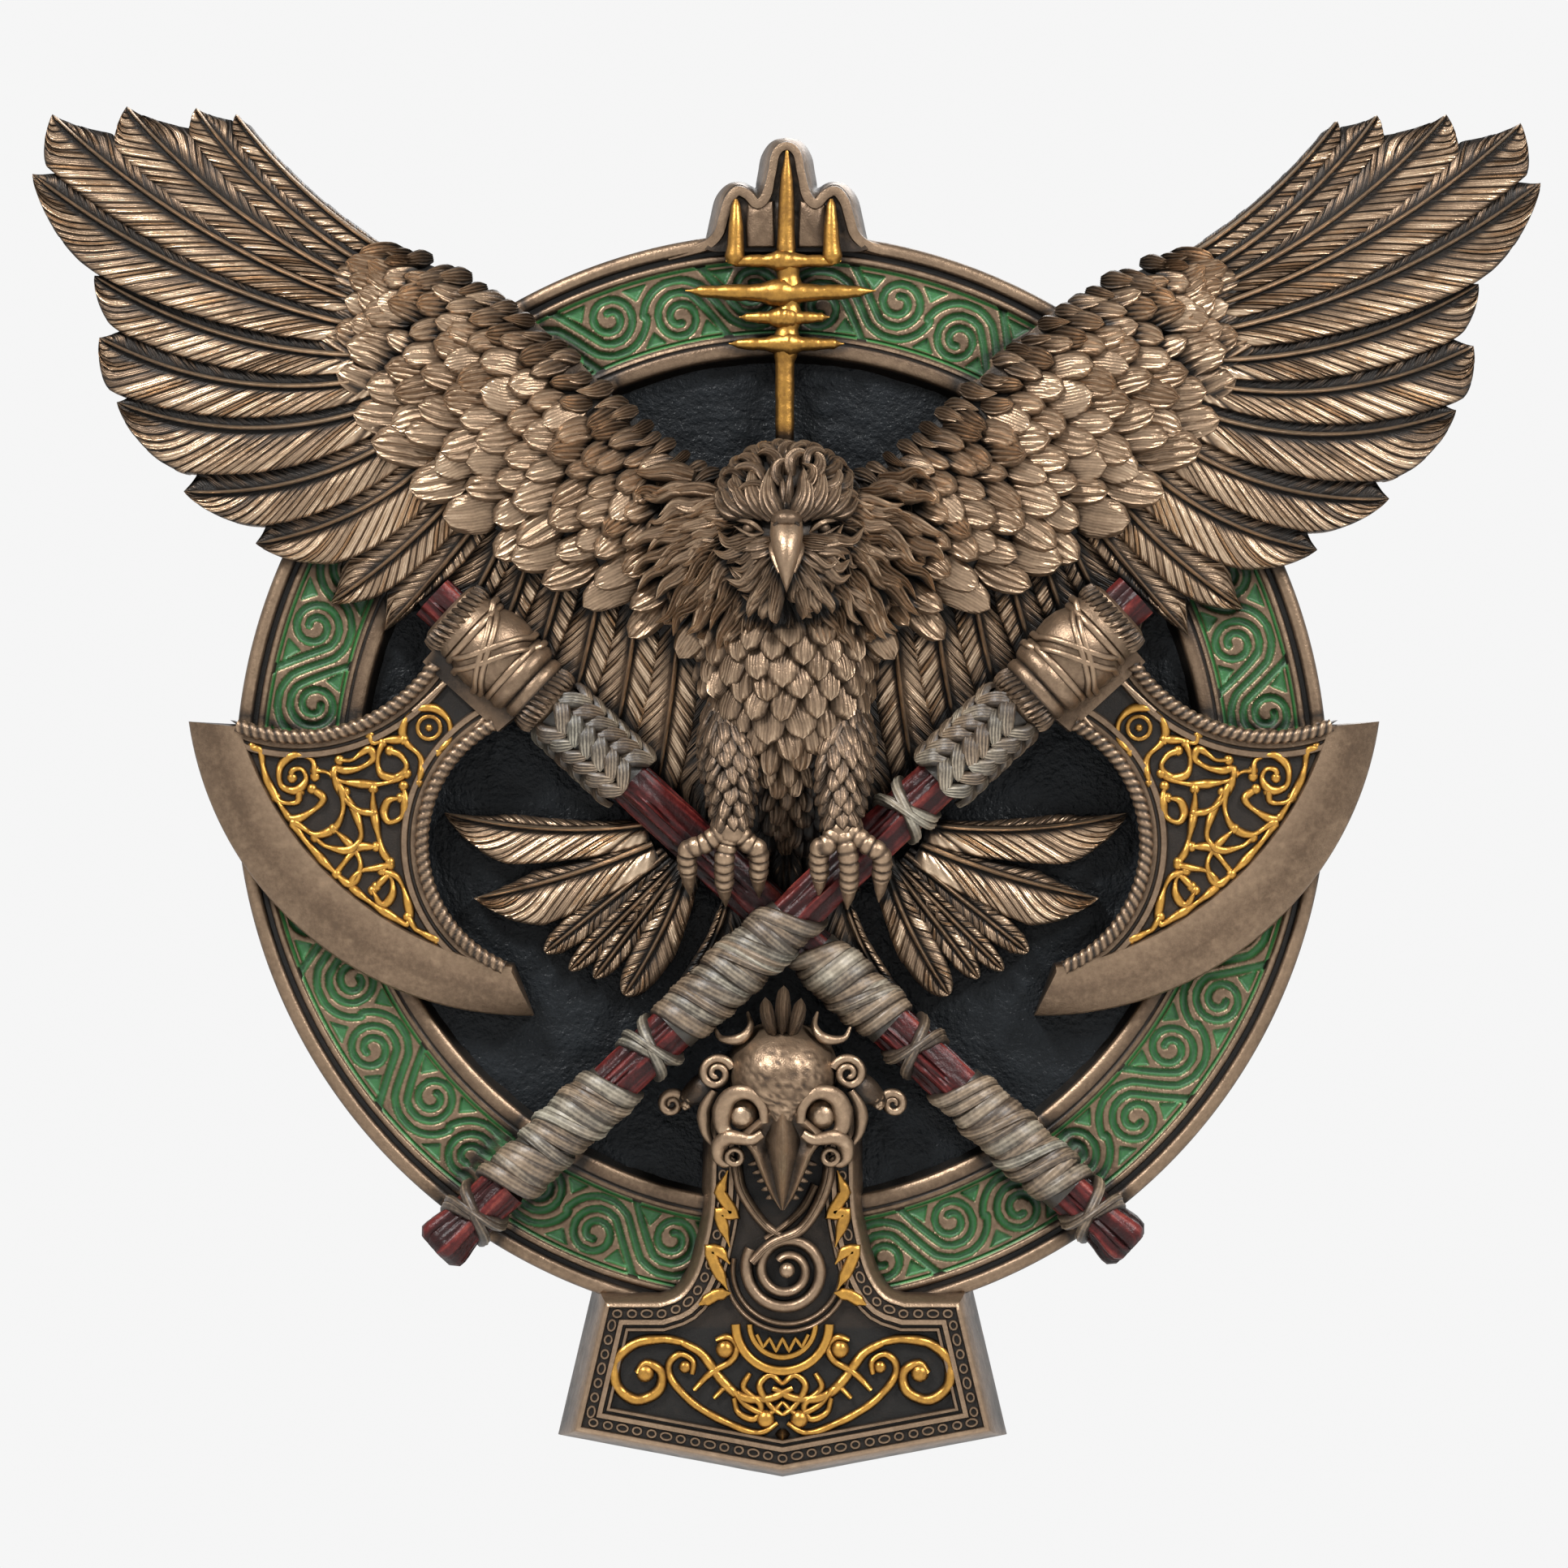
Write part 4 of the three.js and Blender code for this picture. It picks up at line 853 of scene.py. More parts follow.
def mane(shell):
    """Long locks that stream from the face over the shoulders and breast, the outer ones first."""
    rng = np.random.default_rng(21)
    for layer, (rho, count) in enumerate(MANE_LAYERS):
        size = INNER_SIZE if layer >= INNER_LAYER else 1
        for side in (-1, 1):
            for k in range(count):
                turn = math.radians(26 - 116 * (k + 0.5 * (layer % 2)) / (count - 1) + rng.uniform(-4, 4))
                reach = rho * (1 - 0.2 * smooth(-0.4, -1.5, turn)) + rng.uniform(-1.2, 1.2)
                out = np.array([side * math.cos(turn), math.sin(turn), 0.0])
                down = np.array([0, -1.0, 0]) * (0.05 + 0.25 * math.cos(turn))
                long = rng.uniform(9, 14) * size
                beside = np.cross(UP, out)
                wave = rng.uniform(0.3, 1.1) * rng.choice((-1, 1))
                start = np.array([*MANE_CENTRE, 0]) + out * (reach - long * 0.5)
                flow = unit(out + down)
                points = []
                for t, sway, lift in ((0, 0, -1.0), (0.35, 0.8, 0.5), (0.7, -0.7, 1.0), (1.0, 0.9, 0.2)):
                    point = start + (flow * (1 - 0.5 * t) + unit(flow + down) * 0.5 * t) * long * t
                    point = point + beside * wave * sway
                    away = math.hypot(point[0] - MANE_CENTRE[0], point[1] - MANE_CENTRE[1])
                    points.append((point[0], point[1], mane_depth(away) + lift))
                n = unit(np.array([0.5 * out[0], 0.5 * out[1], 1.0]))
                wide = rng.uniform(2.8, 4.8) * size
                lock(
                    shell, points, n, wide, 1.3, ridges=rng.integers(2, 4), count=12, full=0.55,
                    comb_depth=rng.uniform(0.5, 0.9), hollow=1.3, relief=rng.uniform(1.2, 1.65),
                )


# Brow of the right side in combed masses, the lowest first: x, z, d of its line, width and ridges
BROWS = (
    ((8.0, 51.6, 49.0), (11.8, 53.2, 46.6), (14.6, 57.4, 41.0), 3.8, 3),
    ((6.2, 51.6, 50.6), (10.6, 54.6, 48.0), (13.2, 59.8, 42.6), 4.4, 3),
    ((4.4, 51.4, 52.0), (8.6, 55.4, 50.2), (10.6, 61.0, 45.4), 5.0, 4),
    ((2.8, 50.9, 53.3), (6.3, 55.8, 52.0), (7.0, 61.8, 47.8), 5.2, 4),
    ((1.0, 50.4, 54.2), (3.6, 55.2, 53.8), (3.4, 61.2, 50.2), 5.2, 4),
)
HEAD_CENTRE = np.array((0.0, 55.0, 39.5))


def on_head(tilt, around, lift):
    """A point of the head: tilt from the front, around from the right over the top, both in radians."""
    wide, high, deep = 12.2 + lift, 9.8 + lift, 12.4 + lift
    x = wide * math.sin(tilt) * math.cos(around)
    z = high * math.sin(tilt) * math.sin(around)
    return HEAD_CENTRE + (x, z, deep * math.cos(tilt))


# Tilt from the front in degrees and number of tufts of each row over the head, the back rows first
CROWN_ROWS = ((102, 17), (86, 17), (70, 15), (54, 12), (38, 8), (22, 4))


def crown(shell):
    """Curled tufts over the head, the rows at its back first and the one above the brow last."""
    rng = np.random.default_rng(31)
    for row, (tilt, count) in enumerate(CROWN_ROWS):
        for k in range(count):
            share = (k + 0.5 * (row % 2)) / (count - 0.5)
            around = math.radians(190 - 200 * share + rng.uniform(-5, 5))
            curl = rng.uniform(0.7, 1.2) * rng.choice((-1, 1)) / max(math.sin(math.radians(tilt)), 0.5)
            reach = rng.uniform(0.85, 1.15)
            points = []
            for more, turn, lift in ((-9, 0, -0.6), (6, 0.07, 1.3), (19, -0.04, 2.0), (27, -0.2, 0.9)):
                points.append(on_head(math.radians(tilt + more * reach), around + curl * turn, lift))
            n = unit(unit(points[1] - HEAD_CENTRE) + 0.6 * UP)
            lock(
                shell, points, n, rng.uniform(2.6, 3.8), 1.0, ridges=rng.integers(2, 4), count=12,
                comb_depth=0.5, full=0.5, hollow=0.9, relief=rng.uniform(1.0, 1.5),
            )


LID_SWELL = np.array((0.3, 0.7, 1, 1, 1, 0.9, 0.8, 0.5, 0.3))


def head(shell):
    ball(shell, (0, 55.0, 39.5), (12.2, 9.6, 12.4), 14, 24, 0.1)
    ball(shell, (0, 47.5, 42), (9.5, 8, 10.5), 10, 20, 0.1)
    crown(shell)
    for x, z, wide in ((-0.9, 59.4, 3.0), (0.8, 60.6, 3.0), (0.0, 57.4, 2.6)):
        lock(shell, ((0, 51.6, 52.2), (x * 0.6, z - 3.4, 53.0), (x, z, 51.4)), UP, wide, 1.2, ridges=2,
             count=11, comb_depth=0.5, hollow=0.8, relief=0.7)
    for side in (-1, 1):
        for start, middle, end, wide, ridges in BROWS:
            points = [(side * x, z, d) for x, z, d in (start, middle, end)]
            lock(
                shell, points, (side * 0.4, 0.25, 1), wide, 1.6, ridges=ridges, count=14, full=0.35,
                comb_depth=0.3, relief=1.5, hollow=0.7,
            )
        # Eye in its lids under the brow
        ball(shell, (side * 7.2, 49.3, 48.8), (1.5, 1.3, 1.4), 10, 14, 0.6)
        for lift, bow, thick in ((1.3, 0.9, 0.7), (-1.3, -0.3, 0.5)):
            lid = [(side * 4.4, 48.4, 50.8), (side * 7.0, 49.2 + lift, 50.4),
                   (side * 10.4, 50.2 + bow, 47.4)]
            tube(shell, curve_through(lid, 9), thick * LID_SWELL, 6, relief=0.8)
        cheek(shell, side)
    beak(shell)


def cheek(shell, side):
    """Locks that run back from the beak below the eye; the lower ones turn down and curl."""
    rng = np.random.default_rng(37 if side < 0 else 38)
    for layer, (away, depth, wide) in enumerate(((6.4, 48.6, 3.4), (4.4, 50.0, 3.0), (2.4, 51.2, 2.4))):
        for k in range(8):
            share = (k + 0.5 * (layer % 2)) / 7.5
            turn = math.radians(10 - 92 * share + rng.uniform(-7, 7))
            out = np.array([side * math.cos(turn), math.sin(turn), 0.0])
            start = np.array([side * away * (1 - 0.55 * share), 47.2 - (4.5 + away * 0.7) * share,
                              depth + 0.6])
            sag = np.array([0, -1.0, 0]) * rng.uniform(0.4, 2.2)
            beside = np.cross(UP, out) * rng.uniform(0.5, 1.5) * rng.choice((-1, 1))
            long = rng.uniform(6.5, 9.5)
            points = [
                start,
                start + out * long * 0.35 + sag * 0.6 + (0, 0, 0.6),
                start + out * long * 0.72 + sag + beside * 0.5 + (0, 0, -1.2),
                start + out * long + sag * 0.2 - beside + (0, 0, -4.2),
            ]
            lock(shell, points, (side * 0.4, 0, 1), wide * rng.uniform(0.8, 1.25), 0.95,
                 ridges=rng.integers(2, 5), count=12, comb_depth=rng.uniform(0.3, 0.55), full=0.45,
                 hollow=0.9, relief=1.4)


BEAK = (
    (52.2, 2.4, 3.2, 52.0), (50.5, 3.1, 4.0, 54.0), (48.0, 3.3, 4.6, 55.4), (45.0, 2.8, 4.6, 56.4),
    (42.5, 2.1, 4.0, 57.0), (40.0, 1.3, 2.9, 57.2), (38.2, 0.6, 1.6, 56.6), (37.4, 0.15, 0.5, 56.0),
)


def beak(shell):
    """Hooked upper beak from its sections: z, half width, half depth, centre depth."""
    rings = []
    turn = np.radians(np.linspace(0, 360, 20, endpoint=False))
    for z, half, deep, centre in BEAK:
        rings.append(np.stack([half * np.cos(turn), z - 0.9 * np.sin(turn),
                               centre + deep * 0.95 * np.sin(turn)], -1))
    shell.loft(np.array(rings), 1.1, 0, 0.1)
    ball(shell, (0, 50.9, 54.6), (3.1, 2.0, 3.6), 8, 14, 0.7, hollow=0.1)
    for side in (-1, 1):
        gape = [(side * 3.0, 46.6, 52.2), (side * 3.0, 44.6, 54.4), (side * 2.2, 42.4, 55.8),
                (side * 1.3, 40.4, 56.6)]
        tube(shell, curve_through(gape, 9), 0.5, 6, relief=0.9)
        nostril = [(side * 1.6, 50.4, 57.0), (side * 2.4, 49.6, 56.4)]
        tube(shell, curve_through(nostril, 5), 0.4, 6, relief=0.0, hollow=1.0)
    ball(shell, (0, 43.0, 50.5), (2.6, 3.6, 3.4), 8, 12, 0.3)


# Leg from the thigh down: x, z, depth and radius
LEG = ((-10.5, 15, 24, 4.6), (-11, 9, 29, 6.0), (-11, 3, 31.6, 5.4), (-10.9, -4, 33.2, 3.7),
       (-10.8, -9, 34, 2.7))
# Ends of the toes below the handle: x, z
LEFT_TOES = ((-19.6, -20.6), (-12.4, -22.6), (-5.6, -20.8))
RIGHT_TOES = ((6.6, -20.4), (12.4, -23.0), (18.8, -21.6))
# Radius of a toe by its share of the way from the ankle to the tip of the claw
TOE = ((0, 2.2), (0.15, 2.2), (0.5, 2.05), (0.68, 2.0), (0.76, 1.5), (0.85, 1.15), (1, 0.15))
TOE_PLATE = 1.9
CLAW = 0.74
LEFT_FOOT_DEPTH = 28.5
RIGHT_FOOT_DEPTH = 32.5


def leg(shell, side, toes, grip):
    table = np.array(LEG)
    rng = np.random.default_rng(41 + side)
    heights = np.linspace(15, -9, 12)
    order = table[::-1]
    radius = np.interp(heights, order[:, 1], order[:, 3])
    forward = 0.0 if side < 0 else 2.2
    depth = np.interp(heights, order[:, 1], order[:, 2]) + forward * smooth(10, -9, heights)
    path = np.stack([np.full(12, side * 10.9), heights, depth], -1)
    tube(shell, path, radius - 0.5, 14, normal=(0, 0, 1), relief=0.15)
    for row, z in enumerate(np.arange(-8, 14, 2.3)):
        r = np.interp(z, heights[::-1], radius[::-1])
        middle = np.interp(z, heights[::-1], depth[::-1])
        columns = max(2, int(round(r * 0.5)))
        for column in range(-columns, columns + 1):
            turn = math.radians(90 + 96 * (column + 0.5 * (row % 2) + rng.uniform(-0.15, 0.15)) / columns)
            n = np.array([math.cos(turn), 0.08, math.sin(turn)])
            here = np.array([side * 10.9, z + rng.uniform(-0.5, 0.5), middle]) + n * (r - 0.2)
            flow = np.array([rng.uniform(-0.3, 0.3), -1, 0])
            leg_scale(shell, here, unit(n), flow, rng.uniform(4.2, 5.6), rng.uniform(2.6, 3.6))
    ankle = np.array([side * 10.8, -8.6, path[-1][2]])
    ball(shell, ankle + (0, -1.6, 0.2), (3.4, 3.0, 3.0), 8, 14, 0.8)
    for toe in toes:
        x, z = toe
        over = (ankle[0] * 0.35 + x * 0.65, ankle[1] - 4.4)
        course = [ankle + (0, -0.6, 0.4), (over[0], over[1], grip + 5.2), (x, z + 6.4, grip + 4.6),
                  (x, z + 1.6, grip + 1.6), (x * 0.98, z - 3.0, grip - 2.2)]
        path = curve_through(course, 90)
        length = run_length(path)
        plate = (length / TOE_PLATE) % 1.0
        ring = np.clip(plate / 0.25, 0, 1) * np.clip((1.15 - plate) / 0.4, 0, 1)
        slim = np.interp(length / length[-1], *np.array(TOE).T)
        bare = length / length[-1] > CLAW
        r = slim * (1 - 0.17 * (1 - ring) * ~bare)
        tube(shell, path, r, 12, normal=(0, 0.3, 1),
             relief=np.where(bare, 0.95, 0.1 + 0.9 * ring)[:, None])


# Long tail feathers of the left side: root x, z, d, tip x, z, d, narrow and broad width, sag
TAIL = (
    (-3, -14, 15, -5, -34, 14.5, 3.2, 3.2, 0.0),
    (-28, -9, 17, -69, -6.8, 15.8, 2.4, 7.8, 0.05),
    (-27, -13, 17.6, -63, -24, 16.2, 2.8, 8.4, 0.03),
)
# Rounded ones nearer the middle, first those that lie below; their broad side faces left
ROUND_TAIL = (
    (-24, -15, 17.4, -48.8, -35.0, 15.6, 3.2, 3.4, 0.0),
    (-22, -17, 17.9, -43.8, -38.6, 15.9, 2.4, 2.8, 0.0),
    (-21, -17, 18.2, -38.8, -40.2, 16.2, 2.6, 3.0, 0.0),
    (-19, -15, 18.9, -32.8, -43.6, 16.6, 3.8, 4.6, 0.04),
    (-10.5, -18, 20, -25.4, -47.4, 17.2, 2.0, 9.6, 0.09),
)


def tail_shell():
    shell = Shell("tail_left", "bronze")
    for i, (rx, rz, rd, tx, tz, td, narrow, broad, sag) in enumerate(TAIL):
        feather(
            shell, (rx, rz, rd), (tx, tz, td), sag, (0.5 * narrow, narrow, 0.66),
            (0.55 * broad, broad, 0.66), FIELD_DEPTH - 1, seed=60 + i, barb=2.1, depth=0.5,
        )
    # Drawn on the right, so that the broad vane lies on the left once they are turned over
    inner = Shell("inner", "bronze")
    for i, (rx, rz, rd, tx, tz, td, narrow, broad, sag) in enumerate(ROUND_TAIL):
        feather(
            inner, (-rx, rz, rd), (-tx, tz, td), -sag, (0.6 * broad, broad, 0.62),
            (0.6 * narrow, narrow, 0.62), FIELD_DEPTH - 1, seed=70 + i, barb=2.3, depth=0.55, columns=LEAF,
            rounded=True, shear=0.9,
        )
    inner = mirrored(inner, "inner")
    shell.add(inner.points[0], inner.faces, np.concatenate(inner.relief), 0.0, 1.0,
              np.concatenate(inner.grain))
    for x, z, tx, tz in ((0.6, -8, 0.6, -25), (-4, -8, -7.5, -24), (-8, -9, -15, -23)):
        feather(
            shell, (x, z, 19), (tx, tz, 18), 0.0, (1.6, 2.8, 0.6), (1.6, 2.8, 0.6), FIELD_DEPTH - 1,
            seed=int(90 + x), columns=PLAIN, rows_per_barb=3, barb=1.4, depth=0.3,
        )
    return shell


def eagle_shell():
    shell = Shell("eagle", "bronze")
    breast(shell)
    mane(shell)
    head(shell)
    leg(shell, -1, LEFT_TOES, LEFT_FOOT_DEPTH)
    leg(shell, 1, RIGHT_TOES, RIGHT_FOOT_DEPTH)
    return shell


# Axes, made for the left one and turned over for the right one

HANDLE_HEAD_END = np.array((-70.5, 36.8))
HANDLE_LOW_END = np.array((68.3, -93.0))
HANDLE_LENGTH = float(np.linalg.norm(HANDLE_LOW_END - HANDLE_HEAD_END))
HANDLE_DIRECTION = (HANDLE_LOW_END - HANDLE_HEAD_END) / HANDLE_LENGTH
HANDLE_ACROSS = np.array((-HANDLE_DIRECTION[1], HANDLE_DIRECTION[0]))
HANDLE_FOOT = 10.0
BACK_HANDLE_DEPTH = 20.5
FRONT_HANDLE_DEPTH = 26.0
WOOD_RADIUS = 4.7


def on_handle(depth, s, turn, radius):
    """A point on the handle: s from its head end, turn in radians from the front to the upper right."""
    s, turn, radius = np.broadcast_arrays(np.asarray(s, float), turn, radius)
    across = radius * np.sin(turn)
    x = HANDLE_HEAD_END[0] + HANDLE_DIRECTION[0] * s + HANDLE_ACROSS[0] * across
    z = HANDLE_HEAD_END[1] + HANDLE_DIRECTION[1] * s + HANDLE_ACROSS[1] * across
    return np.stack([x, z, depth + radius * np.cos(turn)], -1)


def handle_out(turn):
    return np.array([HANDLE_ACROSS[0] * math.sin(turn), HANDLE_ACROSS[1] * math.sin(turn), math.cos(turn)])


def turned(shell, depth, stations, radii, tone, around=26):
    """A round body along the handle, with walls down to the shield; radii and tone may vary around."""
    turn = np.radians(np.linspace(-100, 100, around))
    rings, tones = [], []
    for s, radius, shade in zip(stations, radii, tone):
        top = on_handle(depth, s, turn, np.broadcast_to(radius, turn.shape))
        low = top[[-1, 0]].copy()
        low[:, 2] = HANDLE_FOOT
        rings.append(np.concatenate([top, low]))
        tones.append(np.concatenate([np.broadcast_to(shade, turn.shape), [0.1, 0.1]]))
    shell.loft(np.array(rings), np.array(tones), 0.0, 0.5)


def wood_shell(name, depth, stretches, seed):
    shell = Shell(name, "red_wood")
    rng = np.random.default_rng(seed)
    turn = np.radians(np.linspace(-100, 100, 40))
    lines = rng.uniform(-95, 95, 9)
    for first, last in stretches:
        stations = np.linspace(first, last, max(6, int((last - first) / 1.2)))
        radii, tone = [], []
        for s in stations:
            wander = 4 * np.sin(s / 9.0 + lines)
            gap = np.abs(np.degrees(turn)[:, None] - (lines + wander)[None])
            carved = np.exp(-((gap / 3.2) ** 2)).max(1)
            end = min(s - first, last - s)
            swell = 0.9 * smooth(184, 190, s) - 1.6 * (1 - smooth(0, 1.6, end)) * (last > 187) * (s > 180)
            facets = 0.3 * np.cos(5 * turn + 0.6 * np.sin(s / 13) + lines[0])
            rough = value_noise(40 + 14 * turn, 60 + 0 * turn + s / 4.5, 1.0, seed) - 0.5
            radii.append(WOOD_RADIUS + swell - 0.6 * carved + facets + 0.25 * rough)
            tone.append(np.clip(0.45 + 1.1 * facets - 0.8 * carved + 0.7 * rough, 0, 1))
        turned(shell, depth, stations, radii, tone, 40)
    return shell


WRAP_DEG = 104
CORE_RADIUS = 5.2
CORE_TONE = 0.05


def wound(shell, depth, s0, tilt, radius, width, strands, seed):
    """A strip of side by side fibres wound round the handle; tilt is how far it runs along it."""
    rng = np.random.default_rng(seed)
    turn = np.radians(np.linspace(-WRAP_DEG, WRAP_DEG, 15))
    share = turn / turn[-1]
    middle = s0 + tilt * share
    u = np.linspace(-1, 1, 2 * strands + 1)
    comb = np.arange(len(u)) % 2
    dome = np.sqrt(1 - 0.8 * u**2)
    height = 0.1 + 1.0 * dome + 0.16 * comb * rng.uniform(0.6, 1.3, len(u))
    top = on_handle(depth, middle[:, None] + u * width / 2, turn[:, None], radius + height)
    low = on_handle(depth, middle[:, None] + u[[0, -1]] * width / 2, turn[:, None], radius - 1.0)
    shade = np.clip(0.3 * comb + 0.7 * dome**2 - 0.1 + rng.uniform(-0.15, 0.15), 0, 1)
    rings, tone = closed(top, low, np.broadcast_to(shade, top.shape[:2]), 0.0)
    shell.loft(rings, tone, np.full(rings.shape[:2], rng.uniform(0, 1)), 0.5)


def binding_shell(name, depth, wraps, ties, seed):
    shell = Shell(name, "binding")
    rng = np.random.default_rng(seed)
    for first, last in wraps:
        turned(shell, depth, np.linspace(first, last, 8), [CORE_RADIUS] * 8, [CORE_TONE] * 8)
        s, k = first + 0.8, 0
        while s < last - 0.6:
            tilt = rng.uniform(1.0, 3.0) + (1.6 if k % 4 == 0 else 0)
            wound(shell, depth, s, tilt, rng.uniform(4.7, 5.3), rng.uniform(2.8, 4.2), 4, seed=seed + k)
            s += rng.uniform(2.0, 3.0)
            k += 1
        for _ in range(int((last - first) / 8)):
            wound(shell, depth, rng.uniform(first + 4, last - 4), rng.uniform(3.5, 5), 5.4, 2.6, 3,
                  seed=seed + k)
            k += 1
    for s in ties:
        for tilt, radius, width in ((3.4, 4.7, 2.6), (-3.0, 5.1, 2.4), (2.4, 5.3, 1.8)):
            wound(shell, depth, s + rng.uniform(-0.5, 0.5), tilt, radius, width, 3, seed=seed + int(s))
    braid(shell, depth, seed)
    return shell


BRAID = (34.0, 54.0)
BRAID_CORE = (5.6, 6.0, 6.1, 6.1, 6.0, 5.9, 5.7, 5.2)
BRAID_ROWS = 6


def braid(shell, depth, seed):
    """Plaited cords: short strands that lie over and under one another in chevrons round the handle."""
    rng = np.random.default_rng(seed + 7)
    stations = np.linspace(BRAID[0] - 0.5, BRAID[1] + 0.5, len(BRAID_CORE))
    turned(shell, depth, stations, BRAID_CORE, [CORE_TONE] * len(BRAID_CORE))
    pitch = (BRAID[1] - BRAID[0]) / BRAID_ROWS
    for row in range(BRAID_ROWS):
        for column in range(-2, 3):
            way = 1 if column % 2 else -1
            middle = math.radians(42 * column)
            s = BRAID[0] + (row + 0.5) * pitch + rng.uniform(-0.4, 0.4)
            points = []
            for t, lift in ((-1, -0.9), (-0.2, 0.8), (1, 0.5)):
                s_here = s + t * pitch * rng.uniform(0.72, 0.9)
                points.append(on_handle(depth, s_here, middle + way * t * math.radians(25), 6.2 + lift))
            n = handle_out(middle)
            start = len(shell.points)
            lock(shell, points, n, rng.uniform(2.9, 3.9), 0.6, ridges=4, count=9, blunt=True, full=0.7,
                 crown=4)
            for k in range(start, len(shell.paint)):
                shell.paint[k] = np.full(len(shell.points[k]), rng.uniform(0, 1))


# Profile of the socket along the handle: place and radius
SOCKET = (
    (4.2, 6.2), (4.8, 7.3), (8.6, 7.6), (9.2, 7.9), (10.2, 8.1), (10.8, 7.4), (11.4, 7.3), (12.0, 7.9),
    (14.0, 8.7), (16.5, 9.0), (19.0, 8.7), (21.0, 8.0), (21.6, 7.3), (22.2, 7.3), (22.8, 8.2), (24.2, 8.4),
    (25.4, 7.9), (26.0, 7.0), (26.8, 7.5), (28.2, 7.5), (28.8, 6.8), (32.6, 6.4), (33.4, 5.6),
)


def socket(shell, depth):
    """Socket of the axe: ribbed rings, a ball with crossed straps, and two rings of slanting strokes."""
    stations = [s for s, _ in SOCKET]
    radii = [r for _, r in SOCKET]
    dark = {10.8, 11.4, 21.6, 22.2, 26.0, 28.8}
    tone = [0.1 if s in dark else 0.75 for s in stations]
    turned(shell, depth, stations, radii, tone, 30)
    for first, last, radius in ((5.0, 8.8, 7.3), (28.9, 32.8, 6.5)):
        for k in range(-8, 9):
            middle = math.radians(11.5 * k)
            lean = math.radians(6)
            places = ((first, middle - lean), (last, middle + lean))
            ends = [on_handle(depth, s, turn, radius + 0.1) for s, turn in places]
            ends.insert(1, (ends[0] + ends[1]) / 2 + handle_out(middle) * 0.35)
            lock(shell, ends, handle_out(middle), 1.25, 0.5, ridges=1, count=5, blunt=True)
    for tilt, offset in ((4.6, 0.0), (-4.6, 0.0), (4.6, 1.9), (-4.6, 1.9)):
        strap(shell, depth, 15.8 + offset * 0.3, tilt, offset)
    for s in (11.3, 21.9):
        strap(shell, depth, s, 0.0, 0.0, 0.5)


def strap(shell, depth, s0, tilt, offset, lift=0.3):
    """A flat strap over the ball of the socket; offset moves it beside its pair."""
    turn = np.radians(np.linspace(-100, 100, 41))
    share = turn / turn[-1]
    middle = s0 + tilt * np.clip(share * 1.7, -1, 1) + offset * np.sign(tilt)
    reach = np.interp(middle, [s for s, _ in SOCKET], [r for _, r in SOCKET]) + lift
    section = np.array(((-1, -1.2), (-0.9, 0.3), (-0.4, 0.55), (0.4, 0.55), (0.9, 0.3), (1, -1.2)))
    rings = on_handle(depth, middle[:, None] + section[:, 0] * 0.75, turn[:, None],
                      reach[:, None] + section[:, 1])
    tone = np.array((0.1, 0.7, 1.0, 1.0, 0.7, 0.1))
    shell.loft(rings, np.broadcast_to(tone, rings.shape[:2]), 0, 0.4)


# Blade: circles x, z, radius
EDGE_CIRCLE = (-51.7, 21.2, 68.9)
BEVEL_CIRCLE = (-43.9, 29.6, 69.2)
UPPER_CIRCLE = (-97.5, 41.4, 32.6)
INNER_CIRCLE = (-45.6, -12.9, 26.7)
EDGE_ANGLES = (188, 271)
BEVEL_ANGLES = (196, 261)
UPPER_ANGLES = (-34, -115)
INNER_ANGLES = (118, 250)
BLADE_BACK = 10.0
BLADE_EDGE_DEPTH = 18.5
BLADE_FACE_DEPTH = 23.0
PANEL_DEPTH = 21.9


def arc(circle, angles, count, grow=0.0):
    return polar(circle[:2], circle[2] + grow, np.linspace(*angles, count))


def within_bevel(points, gap=0.9):
    """Points beyond the bevel are drawn back to a gap inside it."""
    points = np.array(points, float)
    away = points[:, :2] - BEVEL_CIRCLE[:2]
    reach = np.linalg.norm(away, axis=1)
    points[:, :2] -= away * np.clip(1 - (BEVEL_CIRCLE[2] - gap) / reach, 0, 1)[:, None]
    return points


